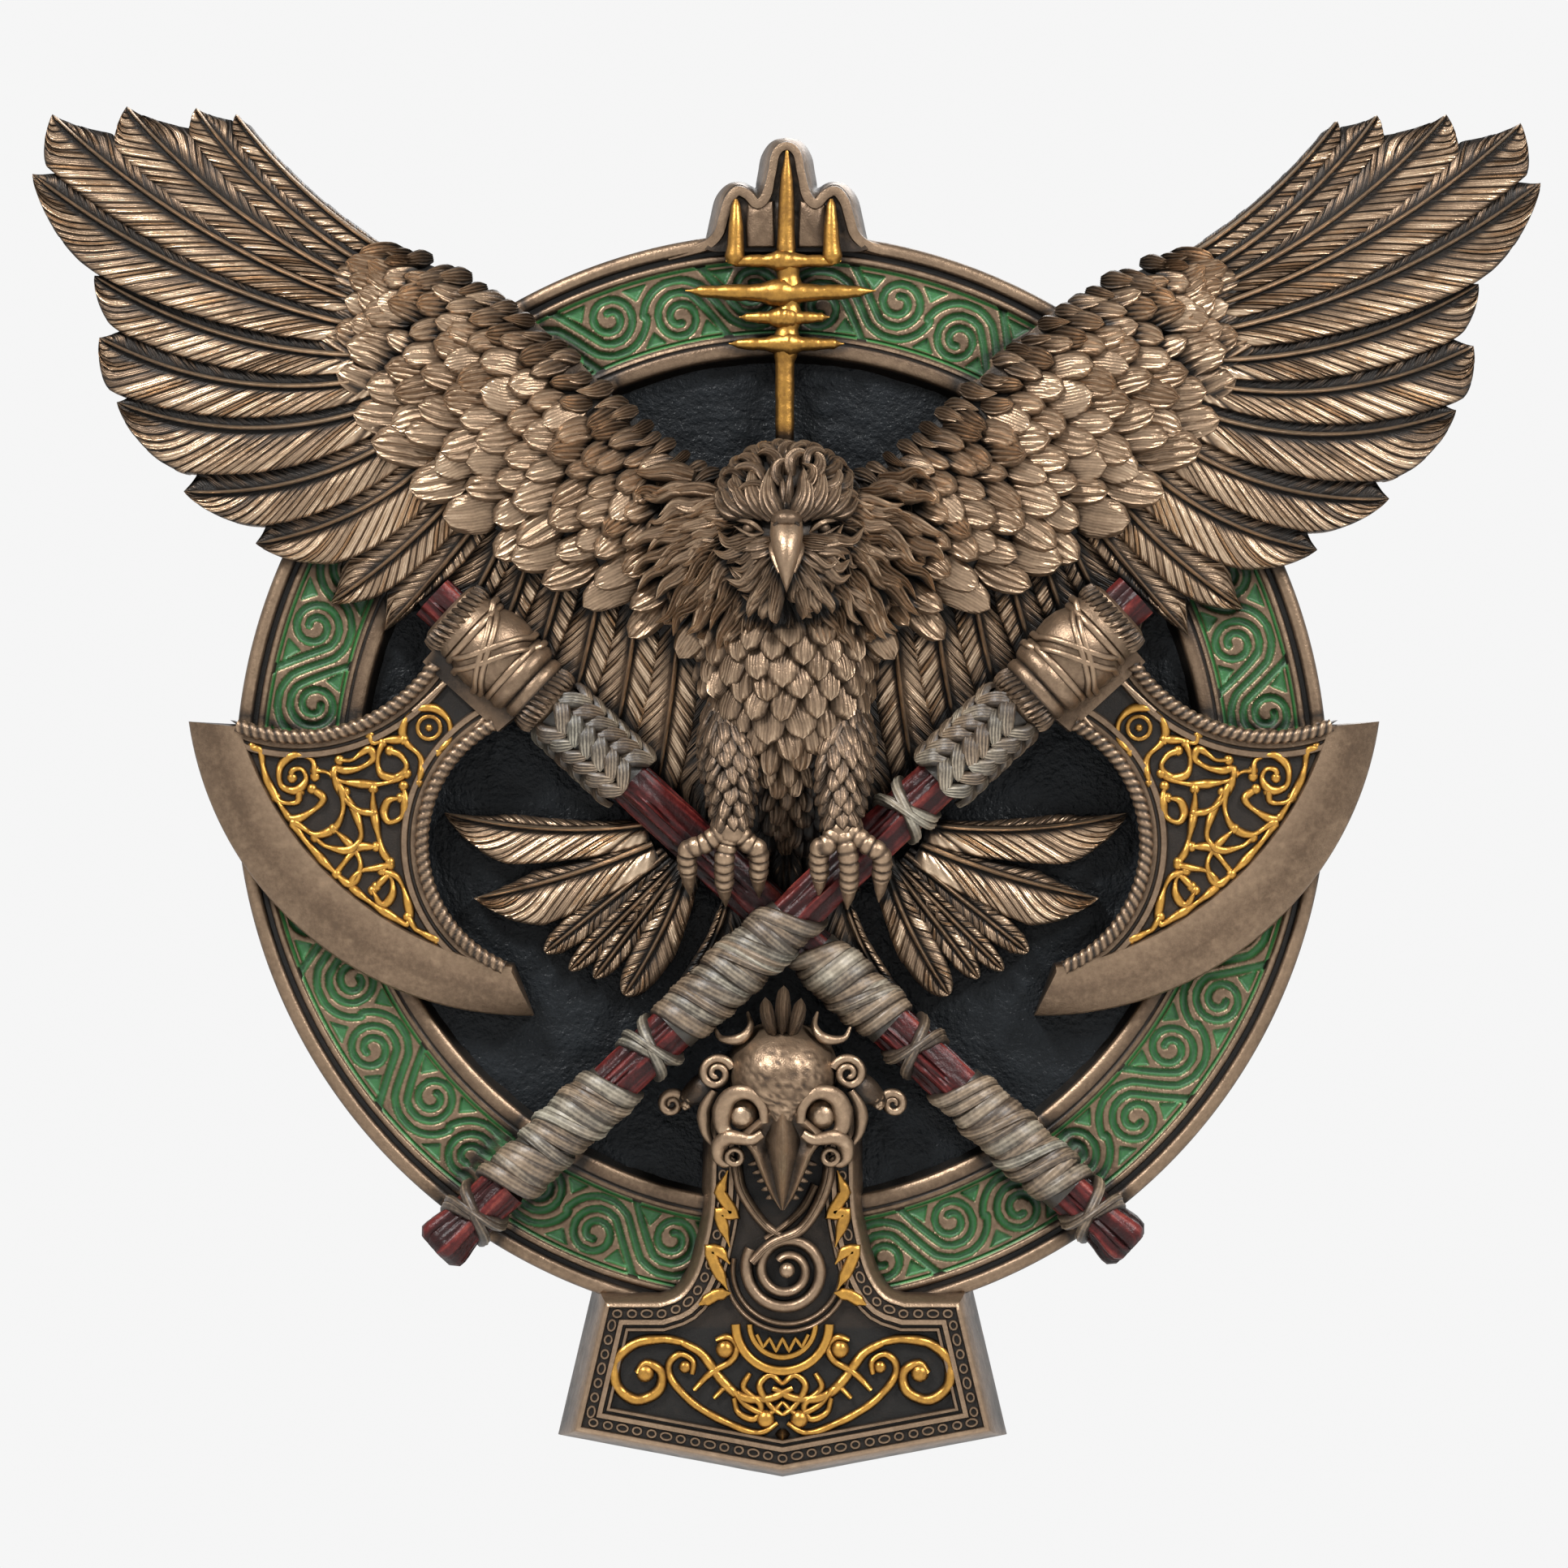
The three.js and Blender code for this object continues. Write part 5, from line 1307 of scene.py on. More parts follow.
def blade(shell):
    n = 44
    bevel, edge = arc(BEVEL_CIRCLE, BEVEL_ANGLES, n), arc(EDGE_CIRCLE, EDGE_ANGLES, n)
    inward = unit(np.array(BEVEL_CIRCLE[:2]) - bevel)
    lines = ((bevel + inward * 1.6, BLADE_BACK), (bevel + inward * 1.6, PANEL_DEPTH),
             (bevel + inward * 0.9, 23.0), (bevel, BLADE_FACE_DEPTH), (bevel * 0.5 + edge * 0.5, 21.1),
             (edge * 0.96 + bevel * 0.04, 18.9), (edge, BLADE_EDGE_DEPTH - 0.4), (edge, BLADE_BACK))
    tone = np.array([0.1, 0.2, 0.95, 0.95, 0.72, 0.85, 0.9, 0.2])
    rings = np.stack([raised(points, depth) for points, depth in lines], 1)
    shell.loft(rings, np.broadcast_to(tone, rings.shape[:2]), 0.0, 0.25)
    # Panel behind the interlace, with the concave sides of the blade
    outline = np.concatenate([arc(BEVEL_CIRCLE, BEVEL_ANGLES, n, -0.8),
                              arc(INNER_CIRCLE, INNER_ANGLES[::-1], n),
                              arc(UPPER_CIRCLE, UPPER_ANGLES, n)])
    shell.loft(np.stack([raised(outline, BLADE_BACK), raised(outline, PANEL_DEPTH)]), 0.22, 0.0, 0.3)
    # Frame along the concave sides: a band outside a groove, a second band, and the drop to the panel
    section = ((-0.4, -3.0), (-0.4, 0.6), (0.3, 0.95), (2.6, 1.1), (2.9, 0.65), (3.2, 0.65), (3.5, 1.05),
               (4.5, 1.0), (4.9, 0.0), (4.9, -3.0))
    shades = np.array([0.3, 0.5, 0.8, 0.8, 0.05, 0.05, 0.85, 0.8, 0.2, 0.1])
    for circle, angles in ((UPPER_CIRCLE, UPPER_ANGLES), (INNER_CIRCLE, INNER_ANGLES)):
        angles = (angles[0], angles[1] - 3 * np.sign(angles[1] - angles[0]))
        rings = np.stack([
            raised(within_bevel(arc(circle, angles, n, out)), PANEL_DEPTH + up) for out, up in section
        ], 1)
        shell.loft(rings, np.broadcast_to(shades, rings.shape[:2]), 0.0, 0.3)
        cord = arc(circle, angles, 150, 0.4)
        inside = np.linalg.norm(cord - BEVEL_CIRCLE[:2], axis=1) < BEVEL_CIRCLE[2] + 0.3
        rope(shell, raised(cord[inside], 23.3), 1.5, 1.75)
    # Neck by the socket, with its square frame
    neck = np.array(((-72.5, 23.5), (-66.5, 30.5), (-50.5, 15.5), (-57.5, 9.5), (-60, 12.0),
                     (-70.5, 21.5)))
    shell.loft(np.stack([raised(neck, BLADE_BACK), raised(neck, 23.4)]), 0.5)
    corner = ((-74.5, 13.5), (-66.0, 21.2), (-59.0, 13.6), (-63.5, 8.2))
    for a, b in zip(corner[:-1], corner[1:]):
        ribbon(shell, [a, b], PANEL_DEPTH, 1.3, 1.2, count=8, section=FLAT)


# Interlace on the blade: the middle line of each strand
KNOT = (
    ((-69.4, 5.4), (-67.2, 8.0), (-67.3, 11.6), (-69.8, 14.0), (-72.8, 14.2), (-75.5, 12.7), (-76.7, 9.6),
     (-75.8, 7.2), (-73.3, 4.8), (-72.7, 2.3), (-73.4, -0.8)),
    ((-76.4, 7.9), (-79.5, 7.8), (-82.5, 7.2), (-83.2, 8.8)),
    ((-80.7, 7.2), (-81.6, 4.2), (-81.0, 1.1), (-78.2, 0.2), (-75.8, 2.3), (-77.0, 4.7), (-79.2, 5.7)),
    ((-89.3, 3.8), (-86.8, 3.8), (-85.0, 5.1), (-83.2, 6.0), (-82.5, 4.1), (-85.0, 2.3), (-88.0, 1.7),
     (-90.2, 2.0), (-89.9, -0.1), (-86.8, -0.8), (-81.9, -1.1), (-77.6, -0.1), (-75.8, 1.1)),
    ((-82.5, -2.0), (-82.5, -5.0), (-81.9, -9.3), (-80.7, -14.3), (-79.2, -16.7)),
    ((-77.0, -3.8), (-79.5, -4.4), (-80.4, -6.9), (-79.2, -8.7), (-76.7, -7.5), (-76.1, -4.4),
     (-76.4, -1.4)),
    ((-90.5, 1.1), (-88.7, -3.2), (-85.6, -6.3), (-82.5, -6.9)),
    ((-107.4, 6.3), (-105.2, 5.7), (-104.6, 2.3), (-103.4, -1.4), (-101.5, -4.4), (-97.9, -4.7),
     (-97.3, -2.6)),
    ((-94.2, 0.5), (-94.8, 3.8), (-98.5, 4.8), (-101.2, 2.3), (-100.9, -1.4), (-97.9, -2.3), (-96.0, -0.1),
     (-96.9, 2.0), (-98.8, 1.7), (-98.8, 0.2)),
    ((-94.2, 1.7), (-91.4, 1.1), (-88.7, -2.6), (-88.7, -6.9), (-90.5, -10.0), (-94.2, -11.2),
     (-98.5, -8.7), (-99.1, -11.2), (-97.9, -13.6), (-94.2, -17.3), (-90.5, -20.1), (-86.8, -21.0),
     (-85.0, -17.3), (-86.8, -13.6), (-90.5, -10.0)),
    ((-102.5, -4.0), (-99.0, -8.0), (-95.0, -6.6), (-92.5, -4.0), (-94.8, -2.0)),
    ((-88.1, -2.6), (-85.6, -8.1), (-85.0, -11.8), (-87.4, -14.3), (-91.7, -13.6), (-94.2, -11.8)),
    ((-81.9, -13.6), (-85.6, -13.9), (-88.7, -17.3), (-90.5, -19.8)),
    ((-79.2, -17.3), (-81.9, -17.9), (-85.0, -18.5), (-86.8, -20.4), (-86.8, -22.8), (-85.0, -25.9),
     (-81.9, -28.4), (-77.6, -30.2), (-75.2, -28.4), (-75.8, -24.1), (-77.6, -19.8), (-80.7, -18.5)),
    ((-81.9, -21.6), (-79.2, -19.4), (-78.6, -23.0), (-80.7, -25.4), (-82.6, -22.4)),
    ((-75.5, -27.7), (-74.0, -30.2), (-72.1, -32.3), (-69.7, -32.3)),
)


def knot_shell(name):
    shell = Shell(name, "gold")
    for k, points in enumerate(KNOT):
        steps = np.linalg.norm(np.diff(np.array(points), axis=0), axis=1).sum()
        count = int(steps * 1.6) + 8
        path = within_bevel(curve_through(points, count), 2.2)
        t = np.linspace(0, 1, count)
        swell = 1.8 + 0.45 * np.sin(t * steps * 0.7 + k) - 0.6 * np.abs(2 * t - 1) ** 4
        lift = PANEL_DEPTH - 0.15 + 0.25 * np.sin(t * steps * 1.1)
        sweep(shell, raised(path, lift), swell, 1.25, ROUND, 1.0, 0.5)
        for end in (path[0], path[-1]):
            ball(shell, (*end, PANEL_DEPTH + 0.2), (1.1, 1.1, 0.95), 6, 10, 0.9)
    tube(shell, raised(spiral((-71.3, 10.3), 2.3, 2.3, 0, 1.0, 22), PANEL_DEPTH + 0.3), 0.5, 8)
    ball(shell, (-71.3, 10.3, PANEL_DEPTH + 0.3), (0.8, 0.8, 0.9), 8, 12)
    return shell


def axe_shells(side, depth, wood, wraps, ties):
    """The bronze, gold, wood and binding pieces of one axe, all drawn as the left one."""
    metal = Shell(f"axe_{side}", "bronze")
    socket(metal, depth)
    blade(metal)
    seed = int(depth * 10)
    return [
        metal,
        knot_shell(f"blade_interlace_{side}"),
        wood_shell(f"handle_{side}", depth, wood, seed),
        binding_shell(f"bindings_{side}", depth, wraps, ties, seed),
    ]


# Hammer pendant

HAMMER_FLOOR = 20.7
EDGE_STEPS = 24
HAMMER_SHAFT = ((13.8, -64.0), (14.2, -84.0), (15.6, -93.0), (17.6, -99.5), (20.6, -103.8), (24.6, -105.4))
HAMMER_HEAD = ((24.6, -105.4), (35.4, -105.4), (41.4, -130.8), (0.0, -138.6))


def densified(points, step):
    out = []
    for a, b in zip(points[:-1], points[1:]):
        a, b = np.array(a, float), np.array(b, float)
        n = max(1, int(round(np.linalg.norm(b - a) / step)))
        out.extend(a + (b - a) * k / n for k in range(n))
    out.append(np.array(points[-1], float))
    return np.array(out)


def whole(half):
    """A line down the right-hand side, and the same back up on the left."""
    return np.concatenate([half, half[:-1][::-1] * (-1, 1)])


def inset(outline, by):
    """The outline moved inwards by a distance; its corners are kept sharp."""
    before = unit(outline - np.roll(outline, 1, 0))
    after = unit(np.roll(outline, -1, 0) - outline)
    x, z = outline.T
    turn_sign = np.sign(np.sum(x * np.roll(z, -1) - np.roll(x, -1) * z))
    normal = lambda v: np.stack([-v[:, 1], v[:, 0]], -1) * turn_sign
    middle = unit(normal(before) + normal(after))
    share = np.maximum(np.sum(middle * normal(after), 1), 0.4)
    return outline + middle * (by / share)[:, None]


def hammer_half(by):
    """The right half of the hammer's outline from the top of the shaft to the point, moved inwards."""
    shaft = curve_through(HAMMER_SHAFT, 34)[:-1]
    right = np.concatenate([shaft, np.array(HAMMER_HEAD)])
    moved = inset(whole(right), by)[:len(right)]
    moved[-1, 0] = 0.0
    moved[0, 1] = HAMMER_SHAFT[0][1]
    head = [moved[len(shaft)]]
    for a, b in zip(moved[len(shaft):-1], moved[len(shaft) + 1:]):
        head.extend(a + (b - a) * k / EDGE_STEPS for k in range(1, EDGE_STEPS + 1))
    return np.concatenate([moved[:len(shaft)], np.array(head)])


# Section of the hammer's face from its outer wall inwards: distance from the outline, depth and tone
HAMMER_ROWS = (
    (-3.6, 0.3, 0.85), (-3.1, 6.0, 0.8), (-1.9, 14.0, 0.75), (-1.2, 18.5, 0.75), (-0.45, 20.9, 0.85),
    (0.1, 21.8, 1.1), (0.7, 21.95, 0.85), (0.95, 21.2, 0.1), (3.1, 21.2, 0.1), (3.3, 21.95, 0.95),
    (4.2, 22.15, 1.0), (4.45, 21.3, 0.1), (4.8, 21.3, 0.1), (5.0, 22.0, 0.9), (5.5, 22.0, 0.85),
    (5.8, HAMMER_FLOOR, 0.1),
)


def hammer_shell():
    shell = Shell("hammer", "bronze")
    halves = [hammer_half(by) for by, _, _ in HAMMER_ROWS]
    count = len(halves[0])
    rings = []
    for half, (_, depth, _) in zip(halves, HAMMER_ROWS):
        ring = whole(half)
        level = depth + 0.5 * (value_noise(ring[:, 0] + 90, ring[:, 1] + 200, 3.0, 5) - 0.5) * (depth < 19)
        rings.append(raised(ring, level))
    rings = np.stack(rings)
    tone = np.array([shade for _, _, shade in HAMMER_ROWS])[:, None]
    shell.loft(rings, np.broadcast_to(tone, rings.shape[:2]), 0.0, 0.3)
    # Front floor and back in strips from side to side, in place of one face each
    del shell.faces[-2:]
    around = rings.shape[1]
    for row, front in ((0, False), (len(rings) - 1, True)):
        base = row * around
        far = base + around - 1
        strips = [[base + k, base + k + 1, far - 1 - k, far - k] for k in range(1, count - 2)]
        strips.append([base, base + 1, far])
        strips.append([base + count - 2, base + count - 1, base + count])
        shell.faces.extend(strip if front else strip[::-1] for strip in strips)
    hammer_chain(shell)
    knot_bronze(shell)
    return shell


LINK_PITCH = 3.0
LINK_LOOK_AHEAD = 0.6


def point_at(line, length, at):
    return np.array([np.interp(at, length, line[:, k]) for k in (0, 1)])


def hammer_chain(shell):
    """Small flat rings in the groove round the face."""
    chain = whole(hammer_half(2.05))
    chain = chain[chain[:, 1] < -72]
    length = run_length(chain)
    links = int(length[-1] / LINK_PITCH)
    turn = np.radians(np.linspace(0, 360, 17))
    for k in range(links + 1):
        at = length[-1] * (k + 0.5) / (links + 1)
        here = point_at(chain, length, at)
        ahead = point_at(chain, length, at + LINK_LOOK_AHEAD)
        way = unit(ahead - here + (1e-6, 0))
        long = 0.85 if k % 3 else 1.1
        ring = here + np.outer(np.cos(turn) * long, way) + np.outer(np.sin(turn) * 0.72, (-way[1], way[0]))
        tube(shell, raised(ring, 21.45), 0.27, 6, relief=1.0, hollow=0.2)


SPIRAL_CENTRE = (0.9, -98.6)


def knot_bronze(shell):
    """The straps below the beak, which cross and roll up in the big spiral."""
    right = ((9.6, -75.5), (8.9, -81.0), (6.6, -86.6), (3.2, -90.8), (-2.2, -93.2), (-6.2, -97.0))
    left = ((-9.4, -76.5), (-8.2, -82.6), (-4.2, -88.8), (0.0, -92.0), (4.2, -93.0))
    inner = ((6.6, -81.5), (4.2, -86.0), (0.6, -89.6), (-3.4, -92.4))
    for points, depth, wide in ((left, 21.6, 2.6), (inner, 21.4, 2.0), (right, 22.4, 2.8)):
        path = curve_through(points, 44)
        t = np.linspace(0, 1, 44)
        sweep(shell, raised(path, depth), wide * (1 - 0.25 * t), 1.9, ROUND, 1.0, 0.3)
        sweep(shell, raised(path, depth + 1.1), 0.7, 1.1, ROUND, 1.0, 0.3)
    roll = spiral(SPIRAL_CENTRE, 8.4, 2.6, 150, 1.95, 120)
    t = np.linspace(0, 1, 120)
    wide = np.interp(t, (0, 0.4, 1), (2.7, 2.5, 1.8))
    sweep(shell, raised(roll, 21.3 + 1.0 * t), wide, 2.1, ROUND, 1.0, 0.35)
    ball(shell, (*SPIRAL_CENTRE, 23.2), (1.6, 1.6, 1.7), 8, 14, 1.0)
    for radius, first, last in ((10.9, 168, 392), (12.4, 188, 352)):
        ring = polar(SPIRAL_CENTRE, radius, np.linspace(first, last, 50))
        sweep(shell, raised(ring, 20.6), 1.2, 1.7, ROUND, 0.85, 0.4)


def both(points):
    """A line on the right-hand side and the same on the left."""
    points = np.asarray(points, float)
    return points, points * (-1, 1)


def hammer_gold_shell():
    shell = Shell("hammer_gold", "gold")
    floor_depth = HAMMER_FLOOR - 0.3
    for radius, wide in ((9.4, 2.2), (6.6, 1.5)):
        half = polar((0, -109.6), radius, np.linspace(180, 360, 44))
        sweep(shell, raised(half, floor_depth), wide, 1.8, FLAT, 1.0, 0.4)
    teeth = ((-5.2, -111.6), (-3.9, -114.2), (-2.6, -112.4), (-1.3, -115.0), (0.0, -112.4))
    points = teeth + tuple((-x, z) for x, z in teeth[-2::-1])
    sweep(shell, raised(densified(points, 0.6), floor_depth), 1.0, 1.8, FLAT, 1.0, 0.4)
    lines = (
        (((20.0, -113.2), (24.0, -112.6), (29.4, -113.4), (33.2, -116.6), (33.4, -121.8), (29.4, -124.8),
          (25.0, -123.0), (24.4, -119.2), (27.4, -117.4), (29.2, -119.4)), 2.1, 1.7),
        (((20.6, -113.0), (16.2, -115.6), (12.6, -120.4), (8.6, -124.0), (3.0, -124.6), (-2.0, -122.4)),
         2.0, 1.6),
        (((18.2, -119.6), (18.0, -117.0), (20.6, -115.6), (22.8, -117.6), (22.0, -121.2), (17.0, -126.2),
          (9.4, -130.2), (4.6, -131.4), (1.0, -129.4)), 1.6, 1.4),
        (((13.4, -112.8), (11.0, -112.2), (9.2, -114.2), (10.4, -117.0), (14.4, -119.4), (17.8, -122.8)),
         1.5, 1.4),
        (((6.6, -119.4), (7.8, -122.4), (4.4, -125.8), (5.6, -128.6), (8.8, -127.4), (9.8, -124.4)),
         1.5, 1.5),
        (((0.0, -121.6), (2.4, -119.8), (4.6, -122.0), (2.6, -125.8), (0.0, -127.8)), 1.5, 1.5),
        (((0.0, -125.2), (3.0, -127.6), (7.4, -125.8), (10.8, -122.2), (13.8, -124.4)), 1.4, 1.5),
    )
    for points, width, height in lines:
        for line in both(points):
            ribbon(shell, line, floor_depth, 1.25 * width, height + 0.2, count=60, taper=0.3, weave=0.2)
    for x, z, r in ((27.6, -119.4, 1.9), (11.6, -114.6, 1.9), (19.6, -118.2, 1.3), (3.4, -128.6, 1.9)):
        for side in (-1, 1):
            ball(shell, (side * x, z, HAMMER_FLOOR + 0.4), (r, r, r * 0.9), 8, 14)
    drop = [(0, -130.6), (0, -132.4), (0, -133.8)]
    lock(shell, raised(drop, HAMMER_FLOOR), UP, 3.4, 1.4, ridges=1, count=7, full=0.3)
    # Jagged bolts beside the straps
    bolts = (
        ((11.0, -78.6), (12.6, -83.0), (9.6, -87.6), (12.8, -87.0), (10.6, -94.0)),
        ((10.6, -97.4), (12.4, -95.0), (14.8, -94.4), (13.4, -98.0), (11.0, -102.6)),
        ((10.4, -103.2), (13.4, -103.6), (16.8, -105.6)),
    )
    for points in bolts:
        for line in both(points):
            path = densified(line, 0.8)
            t = np.linspace(0, 1, len(path))
            wide = 2.9 * np.clip(np.minimum(t, 1 - t) * 5, 0.15, 1)
            sweep(shell, raised(path, 20.8), wide, 2.0, FLAT, 1.0, 0.3)
    return shell


# Forehead of the skull: z, half width and front depth
SKULL_BROW = (
    (-48.6, 2.2, 26.0), (-50.4, 6.6, 29.0), (-53.0, 9.4, 32.0), (-56.0, 10.8, 33.8), (-59.5, 11.2, 34.4),
    (-62.4, 10.2, 33.8), (-64.6, 7.2, 33.0), (-66.6, 4.8, 32.4), (-68.2, 3.4, 31.8),
)
SKULL_EYE = (7.75, -67.2)


def skull_shell():
    shell = Shell("bird_skull", "bronze")
    fine = curve_through(SKULL_BROW, 40)
    turn = np.radians(np.linspace(0, 180, 41))
    rings, tones = [], []
    for z, half, front in fine:
        low = np.clip((-50.5 - z) / 4, 0, 1)
        fold = value_noise(40 + 9 * np.cos(turn) * half / 11, 200 + (z + 0.9 * np.sin(turn)), 0.62, 6)
        crack = np.abs(2 * fold - 1) ** 0.5
        wrinkle = (0.5 * low * np.sin(turn) ** 1.2) * (crack - 0.8)
        x = half * np.cos(turn)
        d = 15 + (front - 15) * np.sin(turn) ** 0.6 + wrinkle
        rings.append(np.stack([x, np.full_like(x, z) - 0.9 * np.sin(turn), d], -1))
        tones.append(1.1 + 2.2 * wrinkle)
    shell.loft(np.array(rings), np.clip(np.array(tones), 0, 1.4), 0.0, 0.1)
    # Tuft of three lobes on top
    for x, tx, tz, wide in ((-2.6, -3.4, -44.4, 3.0), (2.6, 3.6, -44.6, 3.0), (0, 0.2, -41.6, 3.2)):
        points = [(x * 0.7, -50.4, 27.0), ((x + tx) / 2, (tz - 50.0) / 2, 29.6), (tx, tz, 27.0)]
        lock(shell, points, UP, wide, 1.8, ridges=1, count=10, full=0.7, blunt=True, crown=3)
    for side in (-1, 1):
        skull_side(shell, side)
    skull_beak(shell)
    return shell


def bone(shell, points, count, places, radii, **looks):
    """A tube along a smooth line, with its radius at some shares of the way."""
    tube(shell, curve_through(points, count), np.interp(np.linspace(0, 1, count), places, radii), **looks)


def skull_side(shell, side):
    """Eye in its deep socket, the bone round it, curls, and the scaly ear."""
    rng = np.random.default_rng(51)
    place = lambda points: [(side * x, z, d) for x, z, d in points]
    eye = np.array([side * SKULL_EYE[0], SKULL_EYE[1]])
    ball(shell, (*eye, 21.0), (5.8, 5.6, 4.6), 8, 18, 0.0, 1.0)
    ball(shell, (*eye, 27.4), (3.0, 3.0, 3.0), 12, 20, 1.3, 0.0)
    # Brow arch over the socket, and the cheek that hooks out below it
    arch = place(((3.6, -68.6, 31.0), (3.9, -65.6, 31.4), (5.6, -63.2, 31.4), (8.2, -62.5, 30.8),
                  (10.8, -63.8, 29.4), (12.0, -66.6, 28.4), (11.8, -69.8, 28.2), (10.0, -71.9, 28.6)))
    bone(shell, arch, 46, (0, 0.3, 0.7, 1), (0.9, 1.3, 2.1, 1.2), sides=14, flat=0.75, relief=1.15,
         hollow=0.1)
    cheek_bone = place(((4.0, -70.8, 30.8), (6.0, -72.0, 30.4), (8.4, -71.8, 29.8), (10.6, -71.6, 29.2),
                        (12.6, -73.0, 27.8), (12.8, -75.8, 26.2), (11.2, -77.0, 25.4), (9.9, -75.7, 25.8)))
    bone(shell, cheek_bone, 46, (0, 0.4, 0.6, 1), (0.9, 1.5, 1.6, 0.7), sides=14, flat=0.8, relief=1.2,
         hollow=0.1)
    outer = place(((13.6, -62.4, 26.0), (15.6, -66.2, 25.2), (15.4, -70.6, 24.6), (13.8, -73.4, 24.4)))
    bone(shell, outer, 24, (0, 0.5, 1), (0.8, 1.5, 0.6), sides=10, relief=0.9)
    ring = polar((side * 9.6, -75.6), 1.5, np.linspace(0, 360, 20))
    tube(shell, raised(ring, 27.0), 0.6, 8, relief=1.0)
    # Curl beside the forehead, crescent above it
    curl = spiral((side * 13.2, -59.0), 3.3, 0.5, 90 + side * 70, -side * 1.75, 60)
    tube(shell, raised(curl, 26.2 + 0.8 * np.linspace(0, 1, 60)), np.linspace(1.0, 0.55, 60), 8,
         relief=1.0)
    ball(shell, (side * 13.2, -59.0, 23.6), (3.8, 3.8, 2.4), 8, 14, 0.15)
    crescent = place(((7.0, -46.8, 24.0), (6.4, -49.6, 26.4), (8.4, -52.0, 27.4), (12.2, -52.0, 26.0),
                      (13.6, -49.8, 24.6)))
    bone(shell, crescent, 24, (0, 0.5, 1), (0.3, 1.2, 0.3), sides=8, relief=1.0)
    # Scaly ear and its end curl
    ear = curve_through(place(((12.0, -61.5, 20.5), (16.4, -62.6, 21.5), (20.0, -64.6, 19.5))), 16)
    tube(shell, ear, np.interp(np.linspace(0, 1, 16), (0, 0.4, 1), (4.2, 3.6, 1.4)), 14, relief=0.3)
    for _ in range(40):
        at = int(rng.integers(1, 15))
        lean = math.radians(rng.uniform(15, 165))
        size = 3.4 - 0.13 * at
        base = ear[at] + np.array([0, math.cos(lean) * size, math.sin(lean) * size])
        ball(shell, base, (0.85, 0.8, 0.7), 6, 8, 0.95, hollow=0.8)
    hook = spiral((side * 22.3, -65.4), 2.6, 0.5, 90 + side * 100, -side * 1.6, 50)
    tube(shell, raised(hook, 19.8), np.linspace(1.05, 0.5, 50), 8, relief=1.0)
    ball(shell, (side * 22.3, -65.4, 18.0), (2.4, 2.4, 1.8), 8, 12, 0.2)


# Beak of the skull: z, half width and front depth
SKULL_BEAK = (
    (-66.6, 2.6, 32.6), (-68.4, 4.2, 33.6), (-70.4, 6.2, 34.2), (-72.8, 8.4, 34.2), (-74.6, 7.8, 33.8),
    (-76.4, 6.2, 33.2), (-78.8, 5.0, 32.2), (-81.4, 3.7, 30.6), (-84.2, 2.1, 28.6), (-86.4, 0.4, 26.4),
)


def skull_beak(shell):
    """Beak with a sharp middle ridge, hollowed sides and rolled edges."""
    share = np.array((-1, -0.93, -0.8, -0.62, -0.42, -0.24, -0.1, 0, 0.1, 0.24, 0.42, 0.62, 0.8, 0.93, 1))
    drop = np.array((6.4, 4.2, 3.4, 4.4, 4.8, 3.2, 1.1, 0, 1.1, 3.2, 4.8, 4.4, 3.4, 4.2, 6.4))
    shade = np.array((0.3, 1.0, 1.3, 0.5, 0.35, 0.8, 1.35, 1.4, 1.35, 0.8, 0.35, 0.5, 1.3, 1.0, 0.3))
    rings, tones = [], []
    for z, half, front in curve_through(SKULL_BEAK, 34):
        top = np.stack([share * half, z + 0.24 * np.abs(share) * half, front - drop * half / 7.4], -1)
        low = top[[-1, 0]].copy()
        low[:, 2] = 19
        rings.append(np.concatenate([top, low]))
        tones.append(np.concatenate([shade, [0, 0]]))
    shell.loft(np.array(rings), np.array(tones), 0.0, 0.0)
    for side in (-1, 1):
        for k in range(5):
            z = -76.8 - 1.7 * k
            tooth = [(side * (5.0 - 0.75 * k), z, 26.0), (side * (6.8 - 0.9 * k), z - 0.5, 24.6)]
            tube(shell, curve_through(tooth, 5), (0.6, 0.6, 0.55, 0.4, 0.2), 6, relief=0.9)


# Spear and its finial

FINIAL_FLOOR = 16.3
FINIAL_HALF = (
    (16.5, 106.9), (15.0, 108.8), (14.2, 111.0), (13.6, 113.6), (12.6, 117.4), (10.9, 119.5), (9.2, 119.9),
    (7.4, 118.9), (5.9, 117.2), (4.8, 118.6), (3.9, 122.4), (3.2, 126.0), (1.9, 128.0), (0.0, 128.7),
)
# Foot of its drafted wall, point by point beside the outline
FINIAL_FOOT = (
    (18.4, 105.6), (16.9, 109.0), (16.2, 111.6), (15.6, 114.4), (14.5, 118.6), (12.3, 121.2), (9.6, 121.9),
    (7.6, 121.3), (6.4, 120.4), (6.2, 121.6), (5.8, 123.8), (5.1, 127.2), (3.1, 130.0), (0.0, 130.7),
)
# Middle line of the raised band, from the outer band of the shield over the lobes: x, z, depth of its foot
FINIAL_BAND = (
    (24.0, 105.7, 13.8), (19.0, 106.9, 14.3), (15.8, 107.9, 15.0), (13.7, 110.0, 15.7),
    (12.7, 113.2, 16.0), (11.7, 116.4, 16.0), (9.9, 118.5, 16.0), (7.8, 117.7, 16.0), (5.9, 115.9, 16.0),
    (4.1, 117.6, 16.0), (3.0, 122.0, 16.0), (2.3, 125.6, 16.0), (1.2, 127.2, 16.0), (0.0, 127.6, 16.0),
)
BAND_SECTION = ((-0.5, -0.6), (-0.5, 0.55), (-0.4, 0.93), (-0.15, 1.0), (0.15, 1.0), (0.4, 0.93),
                (0.5, 0.55), (0.5, -0.6))


